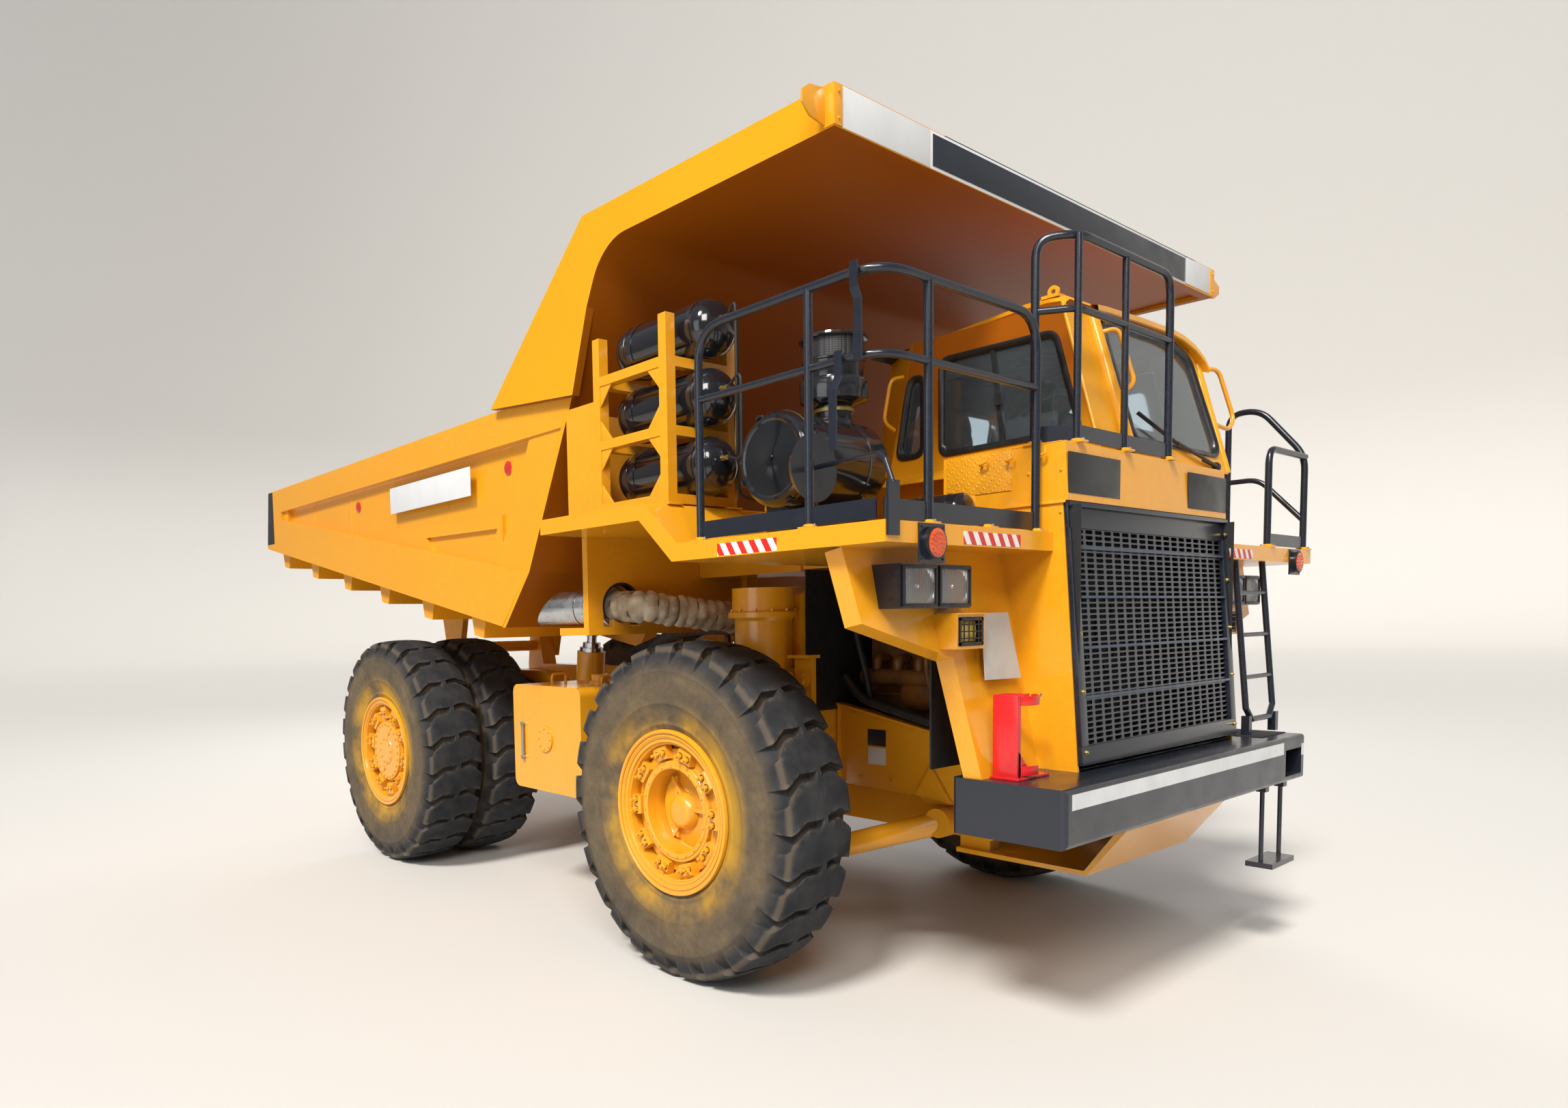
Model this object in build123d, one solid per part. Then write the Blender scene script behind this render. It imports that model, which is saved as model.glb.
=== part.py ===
from build123d import *
import os
from math import atan2, cos, degrees, hypot, pi, radians, sin, tan

# Rigid-frame mining dump truck.  Millimetres; X forward, Y to the left, Z up;
# the origin is on the ground under the middle of the overall box.

# ---------------------------------------------------------------- running gear
wheelbase = 3750
front_axle_x = 2180
front_track = 3150
rear_outer_track = 3150
twin_spacing = 560

tyre_radius = 930
tyre_width = 500
lug_count = 24
lug_depth = 36
groove_angle = 4.5
tread_half_width = 222
shoulder_radius = 905
sidewall_radius = 835
bulge_radius = 715
bead_half_width = 205
rim_radius = 455
rim_seat_radius = 430
rim_wall = 22
running_gap = 0.3

kingpin_y = 1050
strut_radius = 168
strut_rod_radius = 120
strut_top_z = 2150
strut_bottom_z = 1330
arm_tube_radius = 65
arm_pivot_x = 3095
arm_pivot_y = 590
arm_pivot_z = 840
ball_joint_z = 520
steer_arm_length = 230

# ---------------------------------------------------------------- chassis frame
rail_outer_y = 520
rail_width = 160
rail_bottom_z = 760
rail_top_z = 1130
rail_front_x = 3660
rail_kick_front_x = -300
rail_kick_rear_x = -1000
rail_kick_bottom_z = 1240
rail_kick_top_z = 1560
frame_rear_x = -2700
tow_pin_x = -2800
tow_bore_radius = 28
tow_lug_height = 60
dump_hinge_x = -2570
dump_hinge_z = 1750
hinge_pin_radius = 55

# ---------------------------------------------------------------- hoist cylinders
hoist_y = 680
hoist_foot_x = -200
hoist_foot_z = 600
hoist_head_x = -60
hoist_head_z = 1945
barrel_radius = 112
stage_one_radius = 92
stage_two_radius = 70
hoist_pin_radius = 38
hoist_eye_radius = 78
hoist_eye_width = 90
hoist_pocket = 95

# ---------------------------------------------------------------- dump bed
bed_half_width = 1830
bed_tail_x = -4200
bed_tail_bottom_z = 2805
bed_front_x = 560
bed_front_bottom_z = 1950
bed_top_z = 3365
bed_rail_depth = 225
bed_panel_setback = 62
bed_plate = 20
bed_side_wall = 16
bed_beam_depth = 400
bed_beam_tail_depth = 335
front_wall_knee_x = 875
front_wall_knee_z = 2300
canopy_bend = 330
cheek_rear_x = 538
cheek_front_x = 1477
cheek_low_z = 3287
cheek_rear_z = 3345
bed_post_width = 375
bed_wall_lap = 40
bed_pressing = 26
bed_pressing_rear_x = -1500
bed_pressing_z = 2700
bed_rib_count = 6
bed_beam_inset = 25
bed_rib_depth = 150
bed_rib_width = 210
front_wall_top_x = 1640
front_wall_top_z = 3742
canopy_inner_z = 4045
canopy_corner_x = 1615
canopy_corner_z = 4245
canopy_lip_x = 3440
canopy_lip_top_z = 4195
canopy_lip_depth = 178
canopy_half_width = 1880

# ---------------------------------------------------------------- decks and front
deck_half_width = 2100
deck_top_z = 2340
deck_edge = 85
deck_front_x = 3865
deck_break_x = 2640
deck_rear_z = 2560
deck_rear_x = 1440
deck_slope_run = 250
left_deck_front_x = 3970
left_deck_rear_x = 1700
left_deck_inner_y = -480

nose_half_width = 870
nose_top_z = 2750
nose_rear_x = 3280
grille_bottom_x = 4015
grille_top_x = 3933
grille_bottom_z = 1270
grille_top_z = 2475
grille_frame = 70
grille_depth = 24
grille_rows = 9
grille_columns = 5
nose_wall = 14

bumper_front_x = 4200
bumper_rear_x = 3660
bumper_half_width = 1360
bumper_top_z = 1240
bumper_bottom_z = 985
bumper_round = 25

# ---------------------------------------------------------------- cab
cab_rear_x = 2330
cab_right_y = -620
cab_left_y = 1180
cab_roof_z = 3650
cab_wall = 45
glass_thickness = 8
pillar = 45

# ---------------------------------------------------------------- small tubes
rail_tube_radius = 19
plate = 10

# ---------------------------------------------------------------- tread, rims and hubs
groove_draft = 0.6
rim_lip = 26
clamp_seat = 60
clamp_count = 10
clamp_size = 48
clamp_height = 44
hub_flange_radius = 330
hub_radius = 215
hub_bore = 120
hub_dish_y = 60
hub_inner_y = 150

# ---------------------------------------------------------------- hubs, uprights and steering arms
drum_radius = 205
rear_cap_radius = 240
rear_hub_back = -790
upright_radius = 130
steer_arm_offset = 150
steer_arm_z = 690
upright_low_z = 622
ball_pin_radius = 60
strut_flange = 14
collar_depth = 300

# ---------------------------------------------------------------- rear axle, engine and gearbox
axle_beam_radius = 150
axle_casing_radius = 300
rear_strut_x = -1900
rear_strut_radius = 75
engine_rear_x = 2400
engine_front_x = 3380
engine_half = 330
engine_low_z = 960
engine_top_z = 1880
gearbox_rear_x = 1300
gearbox_z = 1010

# ---------------------------------------------------------------- under-tray, steps and fenders
pocket_depth = 220
pocket_inner_y = 1060
skid_rear_x = 3150
skid_front_x = 3880
skid_bottom_z = 680
skid_plate = 24
skid_half_width = 560
step_inner_y = 960
step_outer_y = 1290
step_z = 500
ladder_foot_x = 3995
ladder_inner_y = 1060
ladder_outer_y = 1460
fender_top_x = 3600
fender_foot_x = 3800
fender_top_z = 2255
fender_half_width = 2040
fender_depth = 90

# ---------------------------------------------------------------- lamps
lamp_face_x = 3760
lamp_outer_y = 1865
lamp_inner_y = 1372
lamp_low_z = 2000
lamp_high_z = 2185
fog_face_x = 3770
fog_outer_y = 1489
fog_inner_y = 1276
fog_low_z = 1820
fog_high_z = 1974
signal_setback = 290

# ---------------------------------------------------------------- handrails, air cleaner, mirror and tank rack
rail_high_z = 3320
rail_mid_z = 2995
handrail_rear_x = 2760
left_rail_rear_x = 3490
left_rail_bend_x = 3680
left_rail_height = 930
left_rail_mid_height = 480
left_return_y = 1460
left_return_height = 590
cleaner_x = 2960
cleaner_y = -1460
cleaner_z = 2725
cleaner_radius = 214
mirror_x = 3322
mirror_z = 2619
mirror_radius = 148
mirror_setback = 200
rack_rear_x = 1784
rack_front_x = 2355
rack_outer_y = -1900
rack_inner_y = -1480
rack_height = 960
rack_post = 60
rack_levels = (60, 405, 750)
sheet_height = 640
vessel_radius = 145
half_vessel = 400

# ---------------------------------------------------------------- bulkhead and exhaust
bulkhead_x = 1450
bulkhead_outer_y = -1790
window_half = 140
exhaust_y = -1540
support_low_z = 1895
exhaust_z = 2065
exhaust_radius = 98
outlet_radius = 104
outlet_length = 440
outlet_turn = 20

# ---------------------------------------------------------------- side tanks
tank_rear_x = 80
tank_front_x = 930
tank_outer_y = 1500
tank_inner_y = 860
tank_low_z = 800
tank_high_z = 1540
tank_round = 60

# ---------------------------------------------------------------- cab corners, windows, door and seat
cab_front_x = 3880
cab_corner_x = 45
cab_corner_y = 60
cab_left_corner_x = 190
cab_left_corner_y = 220
screen_right_y = -130
screen_left_y = 900
cab_leg_x = 3690
cab_lean = 0.24
cab_window_z = (2810, 3300)
cab_window_rear_x = 3090
door_rear_x = 2760
door_front_x = 3560
door_gap = 6
seat_x = 2700
seat_y = 380

# ---------------------------------------------------------------- bed beams, hinge ears and hoist ears
bed_rear_beam_x = -2500
bed_main_beam = 220
tail_guard_x = -3750
hinge_side_gap = 8
hinge_ear_width = 60
hinge_pin_y = 600
hoist_ear_gap = 8
wall_thickness = 60

# ---------------------------------------------------------------- worked out from the above
rear_axle_x = front_axle_x - wheelbase
axle_z = tyre_radius * cos(radians(groove_angle / 2))
casing_front_x = rear_axle_x + 560
inner_deck_low_z = deck_top_z - deck_edge - 10
tow_z = rail_kick_bottom_z + 160
rear_strut_y = rear_outer_track / 2 + rear_hub_back - 155


# ================================================================ small helpers
def block(x, y, z):
    """A box from three (low, high) pairs."""
    return Pos((x[0] + x[1]) / 2, (y[0] + y[1]) / 2, (z[0] + z[1]) / 2) * Box(
        abs(x[1] - x[0]), abs(y[1] - y[0]), abs(z[1] - z[0])
    )


def side_prism(outline, y_low, y_high):
    """Extrude a closed (x, z) outline from y_low to y_high."""
    wire = Polyline(*[(x, y_low, z) for x, z in outline], close=True)
    return extrude(make_face(wire), y_high - y_low, dir=(0, 1, 0))


def front_prism(outline, x_low, x_high):
    """Extrude a closed (y, z) outline from x_low to x_high."""
    wire = Polyline(*[(x_low, y, z) for y, z in outline], close=True)
    return extrude(make_face(wire), x_high - x_low, dir=(1, 0, 0))


def plan_prism(outline, z_low, z_high):
    """Extrude a closed (x, y) outline from z_low to z_high."""
    wire = Polyline(*[(x, y, z_low) for x, y in outline], close=True)
    return extrude(make_face(wire), z_high - z_low, dir=(0, 0, 1))


def rod(start, end, radius):
    """A round bar between two points."""
    a, b = Vector(*start), Vector(*end)
    disc = Plane(origin=a, z_dir=b - a) * Circle(radius)
    return extrude(disc, (b - a).length, dir=b - a)


def bent_tube(points, radius, bend=0):
    """A round bar along straight runs; each corner is cut by a short mitred run."""
    path = [Vector(*p) for p in points]
    runs = [path[0]]
    for before, corner, after in zip(path, path[1:], path[2:]):
        if bend:
            runs.append(corner + (before - corner).normalized() * bend)
            runs.append(corner + (after - corner).normalized() * bend)
        else:
            runs.append(corner)
    runs.append(path[-1])
    disc = Plane(origin=runs[0], z_dir=runs[1] - runs[0]) * Circle(radius)
    return sweep(disc, path=Polyline(*runs), transition=Transition.RIGHT)


def turned(profile, x, y, z, axis=(0, 1, 0)):
    """Revolve (distance along the axis, radius) points about an axis through a point."""
    aside = Vector(1, 0, 0) if axis[2] else Vector(0, 0, 1)
    frame = Plane(origin=(x, y, z), x_dir=axis, z_dir=Vector(*axis).cross(aside))
    wire = Polyline(*[(along, radius) for along, radius in profile], close=True)
    return revolve(frame * make_face(wire), Axis((x, y, z), axis))


def both_sides(shape):
    return Part() + [shape, mirror(shape, about=Plane.XZ)]


def other_side(shape):
    return mirror(shape, about=Plane.XZ)


def save(name, shape):
    solids = shape.solids()
    body = solids[0] if len(solids) == 1 else Compound(solids)
    export_step(body, f"parts/{name}.step")


def save_solids(name, solids):
    """Save welded pieces of one node as solids that lie face to face."""
    export_step(Compound(solids), f"parts/{name}.step")


# ================================================================ wheels
def lug_corners(radius, shift):
    """A gear outline: flat lug tops with narrow grooves between them."""
    pitch = 360 / lug_count
    half = (pitch - groove_angle) / 2
    floor = 1 - lug_depth / tyre_radius
    corners = []
    for i in range(lug_count):
        middle = -90 + shift + i * pitch
        for turn, scale in (
            (-half, 1), (half, 1), (half + groove_draft, floor), (pitch - half - groove_draft, floor)
        ):
            angle = radians(middle + turn)
            corners.append((radius * scale * cos(angle), radius * scale * sin(angle)))
    return corners


def facet_corners(radius):
    steps = (2 * pi * (i + 0.5) / lug_count for i in range(lug_count))
    return [(radius * cos(a), radius * sin(a)) for a in steps]


def ring_face(corners, y):
    return make_face(Polyline(*[(x, y, z) for x, z in corners], close=True))


def tyre():
    """A tyre about the Y axis: staggered lugs, bulged walls and an open middle."""
    half_pitch = 180 / lug_count
    solid = None
    for side, shift in ((-1, half_pitch), (1, 0)):
        middle = ring_face(lug_corners(tyre_radius, shift), 0)
        edge = ring_face(lug_corners(shoulder_radius, shift), side * tread_half_width)
        tread = loft([middle, edge], ruled=True)
        solid = tread if solid is None else solid + tread
    bead_radius = (rim_radius + running_gap) / cos(pi / lug_count)
    walls = (
        # offset from the middle, radius
        (tread_half_width, sidewall_radius),
        (tyre_width / 2, bulge_radius),
        (bead_half_width, bead_radius),
    )
    for side in (-1, 1):
        (y0, r0), (y1, r1), (y2, r2) = ((side * y, r) for y, r in walls)
        solid += loft([ring_face(facet_corners(r0), y0), ring_face(facet_corners(r1), y1)], ruled=True)
        solid -= loft([ring_face(facet_corners(r2), y2), ring_face(facet_corners(r1), y1)], ruled=True)
    return solid - Rot(90, 0, 0) * Cylinder(rim_seat_radius + running_gap, 2 * tyre_width)


def front_rim(side):
    """Deep front rim with its hub drum; the dish opens outwards."""
    y = side * front_track / 2
    half = bead_half_width
    profile = (
        # distance outwards from the tyre's middle, radius
        (-half - rim_lip, rim_seat_radius - rim_wall),
        (-half - rim_lip, rim_radius),
        (-half, rim_radius),
        (-half, rim_seat_radius),
        (half, rim_seat_radius),
        (half, rim_radius),
        (half + rim_lip, rim_radius),
        (half + rim_lip, rim_seat_radius - rim_wall),
        (half - clamp_seat, rim_seat_radius - rim_wall),
        (half - clamp_seat, hub_flange_radius),
        (half - 20, hub_flange_radius - 30),
        (half - 20, hub_radius),
        (hub_dish_y, hub_radius - 15),
        (hub_dish_y, hub_bore),
        (-hub_inner_y, hub_bore),
        (-hub_inner_y, hub_radius),
        (half - clamp_seat - 70, hub_radius + 20),
        (half - clamp_seat - 70, rim_seat_radius - rim_wall),
    )
    ring = turned([(side * a, r) for a, r in profile], front_axle_x, y, axle_z)
    return ring + rim_clamps(side, front_axle_x, y + side * (half - clamp_seat), hub_flange_radius + 25)


def rim_clamps(side, x, y, radius):
    """Wedge clamps round the rim, each a small block standing on the flange."""
    blocks = []
    for i in range(clamp_count):
        turn = 360 * (i + 0.5) / clamp_count
        shape = Pos(radius, side * clamp_height / 2, 0) * Box(clamp_size, clamp_height, clamp_size)
        blocks.append(Pos(x, y, axle_z) * Rot(0, turn, 0) * shape)
    return Part() + blocks


def rear_rim(side):
    """Both rear rims on one wheel hub, with the bolted cap of the hub reduction."""
    outer = side * rear_outer_track / 2
    half = bead_half_width
    inner_shift = -twin_spacing
    profile = (
        (inner_shift - half - rim_lip, rim_seat_radius - rim_wall),
        (inner_shift - half - rim_lip, rim_radius),
        (inner_shift - half, rim_radius),
        (inner_shift - half, rim_seat_radius),
        (inner_shift + half, rim_seat_radius),
        (inner_shift + half, rim_radius),
        (-half, rim_radius),
        (-half, rim_seat_radius),
        (half, rim_seat_radius),
        (half, rim_radius),
        (half + rim_lip, rim_radius),
        (half + rim_lip, rim_seat_radius - rim_wall),
        (half - clamp_seat, rim_seat_radius - rim_wall),
        (half - clamp_seat, rear_cap_radius),
        (half - 10, rear_cap_radius - 12),
        (half - 10, 0),
        (rear_hub_back, 0),
        (rear_hub_back, rear_cap_radius),
        (inner_shift - half - rim_lip, rear_cap_radius + 60),
    )
    ring = turned([(side * a, r) for a, r in profile], rear_axle_x, outer, axle_z)
    return ring + rim_clamps(side, rear_axle_x, outer + side * (half - clamp_seat), rear_cap_radius + 45)


def make_wheels():
    one = tyre()
    for name, side in (("right", -1), ("left", 1)):
        save(f"tyre_front_{name}", Pos(front_axle_x, side * front_track / 2, axle_z) * one)
        save(f"rim_front_{name}", front_rim(side))
        offsets = (rear_outer_track / 2, rear_outer_track / 2 - twin_spacing)
        twins = [Pos(rear_axle_x, side * y, axle_z) * one for y in offsets]
        save(f"tyres_rear_{name}", Part() + twins)
        save(f"rim_rear_{name}", rear_rim(side))


# ================================================================ front suspension
def make_knuckle(name, side):
    """Steering knuckle: strut rod, upright, stub axle and steering arm."""
    y = side * kingpin_y
    hub_y = side * (front_track / 2 - hub_inner_y)
    shape = rod(
        (front_axle_x, y, strut_bottom_z - 260), (front_axle_x, y, strut_bottom_z + 200), strut_rod_radius
    )
    shape += rod((front_axle_x, y, upright_low_z), (front_axle_x, y, axle_z), ball_pin_radius)
    shape += rod(
        (front_axle_x, y, upright_low_z + 78), (front_axle_x, y, strut_bottom_z - 240), upright_radius
    )
    shape += rod((front_axle_x, y, axle_z), (front_axle_x, hub_y - side * 12, axle_z), drum_radius)
    shape += rod(
        (front_axle_x, y, axle_z),
        (front_axle_x, hub_y + side * hub_inner_y, axle_z),
        hub_bore - running_gap,
    )
    arm_y = y - side * steer_arm_offset
    arm_z = (upright_low_z + 8, steer_arm_z)
    arm = block((front_axle_x - steer_arm_length - 45, front_axle_x), (arm_y - 45, arm_y + 45), arm_z)
    root = block((front_axle_x - 90, front_axle_x), (min(y, arm_y), max(y, arm_y)), arm_z)
    save(f"knuckle_{name}", shape + arm + root)


def make_suspension_struts():
    """Flanged front strut housings, and short cylinders over the rear axle beam."""
    pieces = []
    bore = strut_rod_radius + running_gap
    front = (
        # height, radius
        (strut_bottom_z, bore),
        (strut_bottom_z, strut_radius),
        (strut_top_z - 190, strut_radius),
        (strut_top_z - 170, strut_radius + strut_flange),
        (strut_top_z, strut_radius + strut_flange),
        (strut_top_z, 0),
        (strut_bottom_z + 260, 0),
        (strut_bottom_z + 260, bore),
    )
    for s in (-1, 1):
        pieces.append(turned(front, front_axle_x, s * kingpin_y, 0, (0, 0, 1)))
        y = s * rear_strut_y
        leg = rod((rear_strut_x, y, axle_z + 110), (rear_strut_x, y, axle_z + 330), rear_strut_radius - 18)
        leg += rod(
            (rear_strut_x, y, axle_z + 250), (rear_strut_x, y, rail_kick_top_z - 40), rear_strut_radius
        )
        leg += block(
            (rear_strut_x - 60, rear_strut_x + 60),
            (s * rail_outer_y, s * (rear_strut_y + 20)),
            (rail_kick_top_z - 170, rail_kick_top_z - 40),
        )
        pieces.append(leg)
    save("suspension_struts", Part() + pieces)


def make_tie_rod():
    """Track rod lying on the two steering arms, with an eye over each arm end."""
    x = front_axle_x - steer_arm_length
    y = kingpin_y - steer_arm_offset
    z = steer_arm_z + running_gap + 30
    eyes = [Pos(x, s * y, z) * Cylinder(42, 60) for s in (-1, 1)]
    save("tie_rod", Part() + eyes + [rod((x, -y, z), (x, y, z), 26)])


def make_lower_arms():
    """A tube arm each side from the pivot behind the bumper back to the ball joint."""
    pieces = []
    for side in (-1, 1):
        ball = (front_axle_x, side * kingpin_y, ball_joint_z)
        pivot = (arm_pivot_x, side * arm_pivot_y, arm_pivot_z)
        pieces.append(rod(ball, pivot, arm_tube_radius))
        pieces.append(Pos(front_axle_x, side * kingpin_y, ball_joint_z + 18) * Cylinder(75, 162))
        pieces.append(Pos(*pivot) * Rot(90, 0, 0) * Cylinder(80, 2 * (arm_pivot_y - rail_outer_y)))
    save("lower_arms", Part() + pieces)


# ================================================================ frame
def make_frame():
    rail = side_prism(
        [
            (rail_front_x, rail_bottom_z + 230),
            (rail_front_x, rail_top_z),
            (rail_kick_front_x, rail_top_z),
            (rail_kick_rear_x, rail_kick_top_z),
            (dump_hinge_x + 160, rail_kick_top_z),
            (dump_hinge_x + 90, dump_hinge_z + 95),
            (dump_hinge_x - 90, dump_hinge_z + 95),
            (frame_rear_x, rail_kick_top_z),
            (frame_rear_x, rail_kick_bottom_z),
            (rail_kick_rear_x - 60, rail_kick_bottom_z),
            (rail_kick_front_x - 120, rail_bottom_z),
            (rail_front_x - 320, rail_bottom_z),
        ],
        rail_outer_y - rail_width,
        rail_outer_y,
    )
    rails = both_sides(rail)
    inner = rail_outer_y - rail_width
    welded = [
        # cross tubes between the rails, the rearmost with the tow lug
        rod((frame_rear_x + 130, -inner, tow_z), (frame_rear_x + 130, inner, tow_z), 110) + tow_lug(),
        rod((-700, -inner, 1180), (-700, inner, 1180), 95),
        rod((hoist_foot_x, -inner, rail_bottom_z + 62), (hoist_foot_x, inner, rail_bottom_z + 62), 60),
        block((rail_front_x - 260, rail_front_x), (-inner, inner), (rail_top_z - 240, rail_top_z)),
        hinge_pin() - rails,
    ]
    welded += [foot - rails for foot in hoist_feet()]
    solids = rails.solids()
    for piece in welded:
        solids += piece.solids()
    save_solids("frame", solids)
    save("strut_arch", strut_collar() + deck_brackets() - rails)


def tow_lug():
    """A flat lug with an upright bore, standing out behind the rear cross tube."""
    lug = block(
        (tow_pin_x, frame_rear_x + 130), (-75, 75), (tow_z - tow_lug_height / 2, tow_z + tow_lug_height / 2)
    )
    lug += Pos(tow_pin_x, 0, tow_z) * Cylinder(75, tow_lug_height)
    return lug - Pos(tow_pin_x, 0, tow_z) * Cylinder(tow_bore_radius, 2 * tow_lug_height)


def hinge_pin():
    return rod(
        (dump_hinge_x, -hinge_pin_y, dump_hinge_z),
        (dump_hinge_x, hinge_pin_y, dump_hinge_z),
        hinge_pin_radius,
    )


def hoist_feet():
    """A stub pin each side of the frame that carries the hoist barrel's eye."""
    reach = hoist_y + hoist_eye_width / 2
    feet = []
    for s in (-1, 1):
        x, z = hoist_foot_x, hoist_foot_z
        foot = block(
            (x - 110, x + 110), (s * (rail_outer_y - 100), s * rail_outer_y), (z - 100, rail_bottom_z)
        )
        feet.append(foot + rod((x, s * (rail_outer_y - 60), z), (x, s * (reach + 20), z), hoist_pin_radius))
    return feet


def strut_collar():
    """The arch across the frame that carries both front struts."""
    outer = kingpin_y - strut_radius + 20
    outline = [
        (-outer, strut_bottom_z + 40),
        (-outer, strut_top_z - 40),
        (-outer + 220, strut_top_z + 20),
        (outer - 220, strut_top_z + 20),
        (outer, strut_top_z - 40),
        (outer, strut_bottom_z + 40),
        (rail_outer_y + 40, rail_top_z - 60),
        (rail_outer_y - 60, rail_top_z - 60),
        (rail_outer_y - 60, strut_top_z - 200),
        (-rail_outer_y + 60, strut_top_z - 200),
        (-rail_outer_y + 60, rail_top_z - 60),
        (-rail_outer_y - 40, rail_top_z - 60),
    ]
    arch = front_prism(outline, front_axle_x - collar_depth / 2, front_axle_x + collar_depth / 2)
    for s in (-1, 1):
        bore = Cylinder(strut_radius + running_gap, 2 * strut_top_z + 200)
        relief = Pos(0, 0, strut_top_z) * Cylinder(strut_radius + strut_flange + running_gap, 2 * 195)
        arch -= Pos(front_axle_x, s * kingpin_y, 0) * bore
        arch -= Pos(front_axle_x, s * kingpin_y, 0) * relief
    return arch


def deck_brackets():
    """Posts from the arch up to the decks."""
    x = (front_axle_x - 60, front_axle_x + 60)
    right = block(x, (-rail_outer_y - 100, -rail_outer_y + 20), (strut_top_z, inner_deck_low_z))
    left = block(x, (rail_outer_y - 20, rail_outer_y + 100), (strut_top_z, deck_top_z - deck_edge))
    return [right, left]


# ================================================================ rear axle and drive
def make_rear_axle():
    """Axle beam with its drive casing, stopping inside the wheel hubs."""
    reach = rear_outer_track / 2 + rear_hub_back - running_gap
    beam = rod((rear_axle_x, -reach, axle_z), (rear_axle_x, reach, axle_z), axle_beam_radius)
    casing = (
        # along X from the axle, radius
        (-axle_casing_radius, 0),
        (-axle_casing_radius, 150),
        (-axle_casing_radius + 90, 270),
        (90, axle_casing_radius),
        (260, 230),
        (480, 130),
        (560, 130),
        (560, 0),
    )
    beam += turned(casing, rear_axle_x, 0, axle_z, (1, 0, 0))
    for s in (-1, 1):
        beam += block(
            (rear_strut_x - 90, rear_axle_x + 60),
            (s * (rear_strut_y - 60), s * (rear_strut_y + 60)),
            (axle_z - 60, axle_z + 110),
        )
    save("rear_axle", beam)


def make_drive():
    """Engine and gearbox blocks with the propeller shaft to the rear axle."""
    inner = rail_outer_y - rail_width
    engine = block(
        (engine_rear_x, engine_front_x), (-engine_half, engine_half), (engine_low_z, engine_top_z)
    )
    for x in (engine_rear_x + 120, engine_front_x - 240):
        engine += block((x, x + 120), (-inner, inner), (rail_top_z - 150, rail_top_z - 60))
    save("engine", engine)
    box = rod((engine_rear_x, 0, gearbox_z), (engine_rear_x - 260, 0, gearbox_z), 300)
    box += rod((engine_rear_x - 240, 0, gearbox_z), (gearbox_rear_x, 0, gearbox_z), 225)
    box += block(
        (gearbox_rear_x + 80, gearbox_rear_x + 200), (-inner, inner), (gearbox_z - 60, gearbox_z + 60)
    )
    shaft = rod((gearbox_rear_x + 40, 0, gearbox_z), (casing_front_x - 40, 0, axle_z), 62)
    box += shaft & block((casing_front_x, engine_rear_x), (-100, 100), (0, engine_top_z))
    save("gearbox", box)
    radiator = block(
        (rail_front_x - 130, rail_front_x - 10),
        (-nose_half_width + 110, nose_half_width - 110),
        (rail_top_z, grille_top_z - 60),
    )
    save("radiator", radiator)


def make_access_steps():
    """The ladder up to the left deck and the tread hung under the bumper."""
    x = bumper_front_x - 90
    shape = block((x - 70, x + 70), (step_inner_y, step_outer_y), (step_z, step_z + 30))
    for y in (step_inner_y + 30, step_outer_y - 30):
        shape += rod((x, y, step_z + 15), (x, y, bumper_bottom_z), 12)
        shape += block((x - 25, x + 25), (y - 25, y + 25), (bumper_bottom_z - 50, bumper_bottom_z))
    low = deck_top_z - deck_edge
    top = (left_deck_front_x - 60, low + 60)
    foot = (ladder_foot_x, bumper_top_z + 90)
    y0, y1 = ladder_inner_y, ladder_outer_y
    path = [(top[0], y0, top[1]), (foot[0], y0, foot[1]), (foot[0], y1, foot[1]), (top[0], y1, top[1])]
    ladder = bent_tube(path, 17, 70)
    rungs = 4
    for i in range(1, rungs):
        t = i / rungs
        rung_x = top[0] + (foot[0] - top[0]) * t
        z = top[1] + (foot[1] - top[1]) * t
        ladder += rod((rung_x, y0, z), (rung_x, y1, z), 13)
    for y in (y0, y1):
        ladder += block((foot[0] - 21, foot[0] + 21), (y - 21, y + 21), (bumper_top_z, foot[1] + 25))
    ladder -= block((left_deck_front_x - 200, foot[0] + 100), (y0 - 50, y1 + 50), (low, deck_top_z))
    save("access_steps", shape + ladder)


def fender_plane():
    """Local frame of the leaning front panels: X forwards out of them, Z up along them."""
    lean = degrees(atan2(fender_foot_x - fender_top_x, fender_top_z - bumper_top_z))
    return Pos(fender_top_x, 0, fender_top_z) * Rot(0, -lean, 0)


# ================================================================ bumper and nose
def make_bumper():
    shell = block(
        (bumper_rear_x, bumper_front_x), (-bumper_half_width, bumper_half_width),
        (bumper_bottom_z, bumper_top_z),
    )
    front = shell.edges().filter_by(Axis.Y).group_by(Axis.X)[-1]
    ends = shell.edges().filter_by(Axis.Z)
    shell = fillet(front + ends, bumper_round)
    pocket = block(
        (bumper_front_x - pocket_depth, bumper_front_x + 10),
        (pocket_inner_y, bumper_half_width - 60),
        (bumper_bottom_z + 35, bumper_top_z - 70),
    )
    save("bumper", shell - pocket)


def make_skid_guard():
    outline = [
        (skid_rear_x, skid_bottom_z + skid_plate),
        (skid_rear_x, skid_bottom_z),
        (skid_front_x, skid_bottom_z),
        (bumper_front_x - 110, bumper_bottom_z - 3 * plate),
        (bumper_front_x - 110, bumper_bottom_z),
        (bumper_front_x - 130, bumper_bottom_z),
        (skid_front_x - 12, skid_bottom_z + skid_plate),
    ]
    guard = side_prism(outline, -skid_half_width, skid_half_width)
    for s in (-1, 1):
        guard += block(
            (skid_rear_x, rail_front_x - 330), (s * (rail_outer_y - 90), s * rail_outer_y),
            (skid_bottom_z, rail_bottom_z),
        )
    save("skid_guard", guard)


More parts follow.
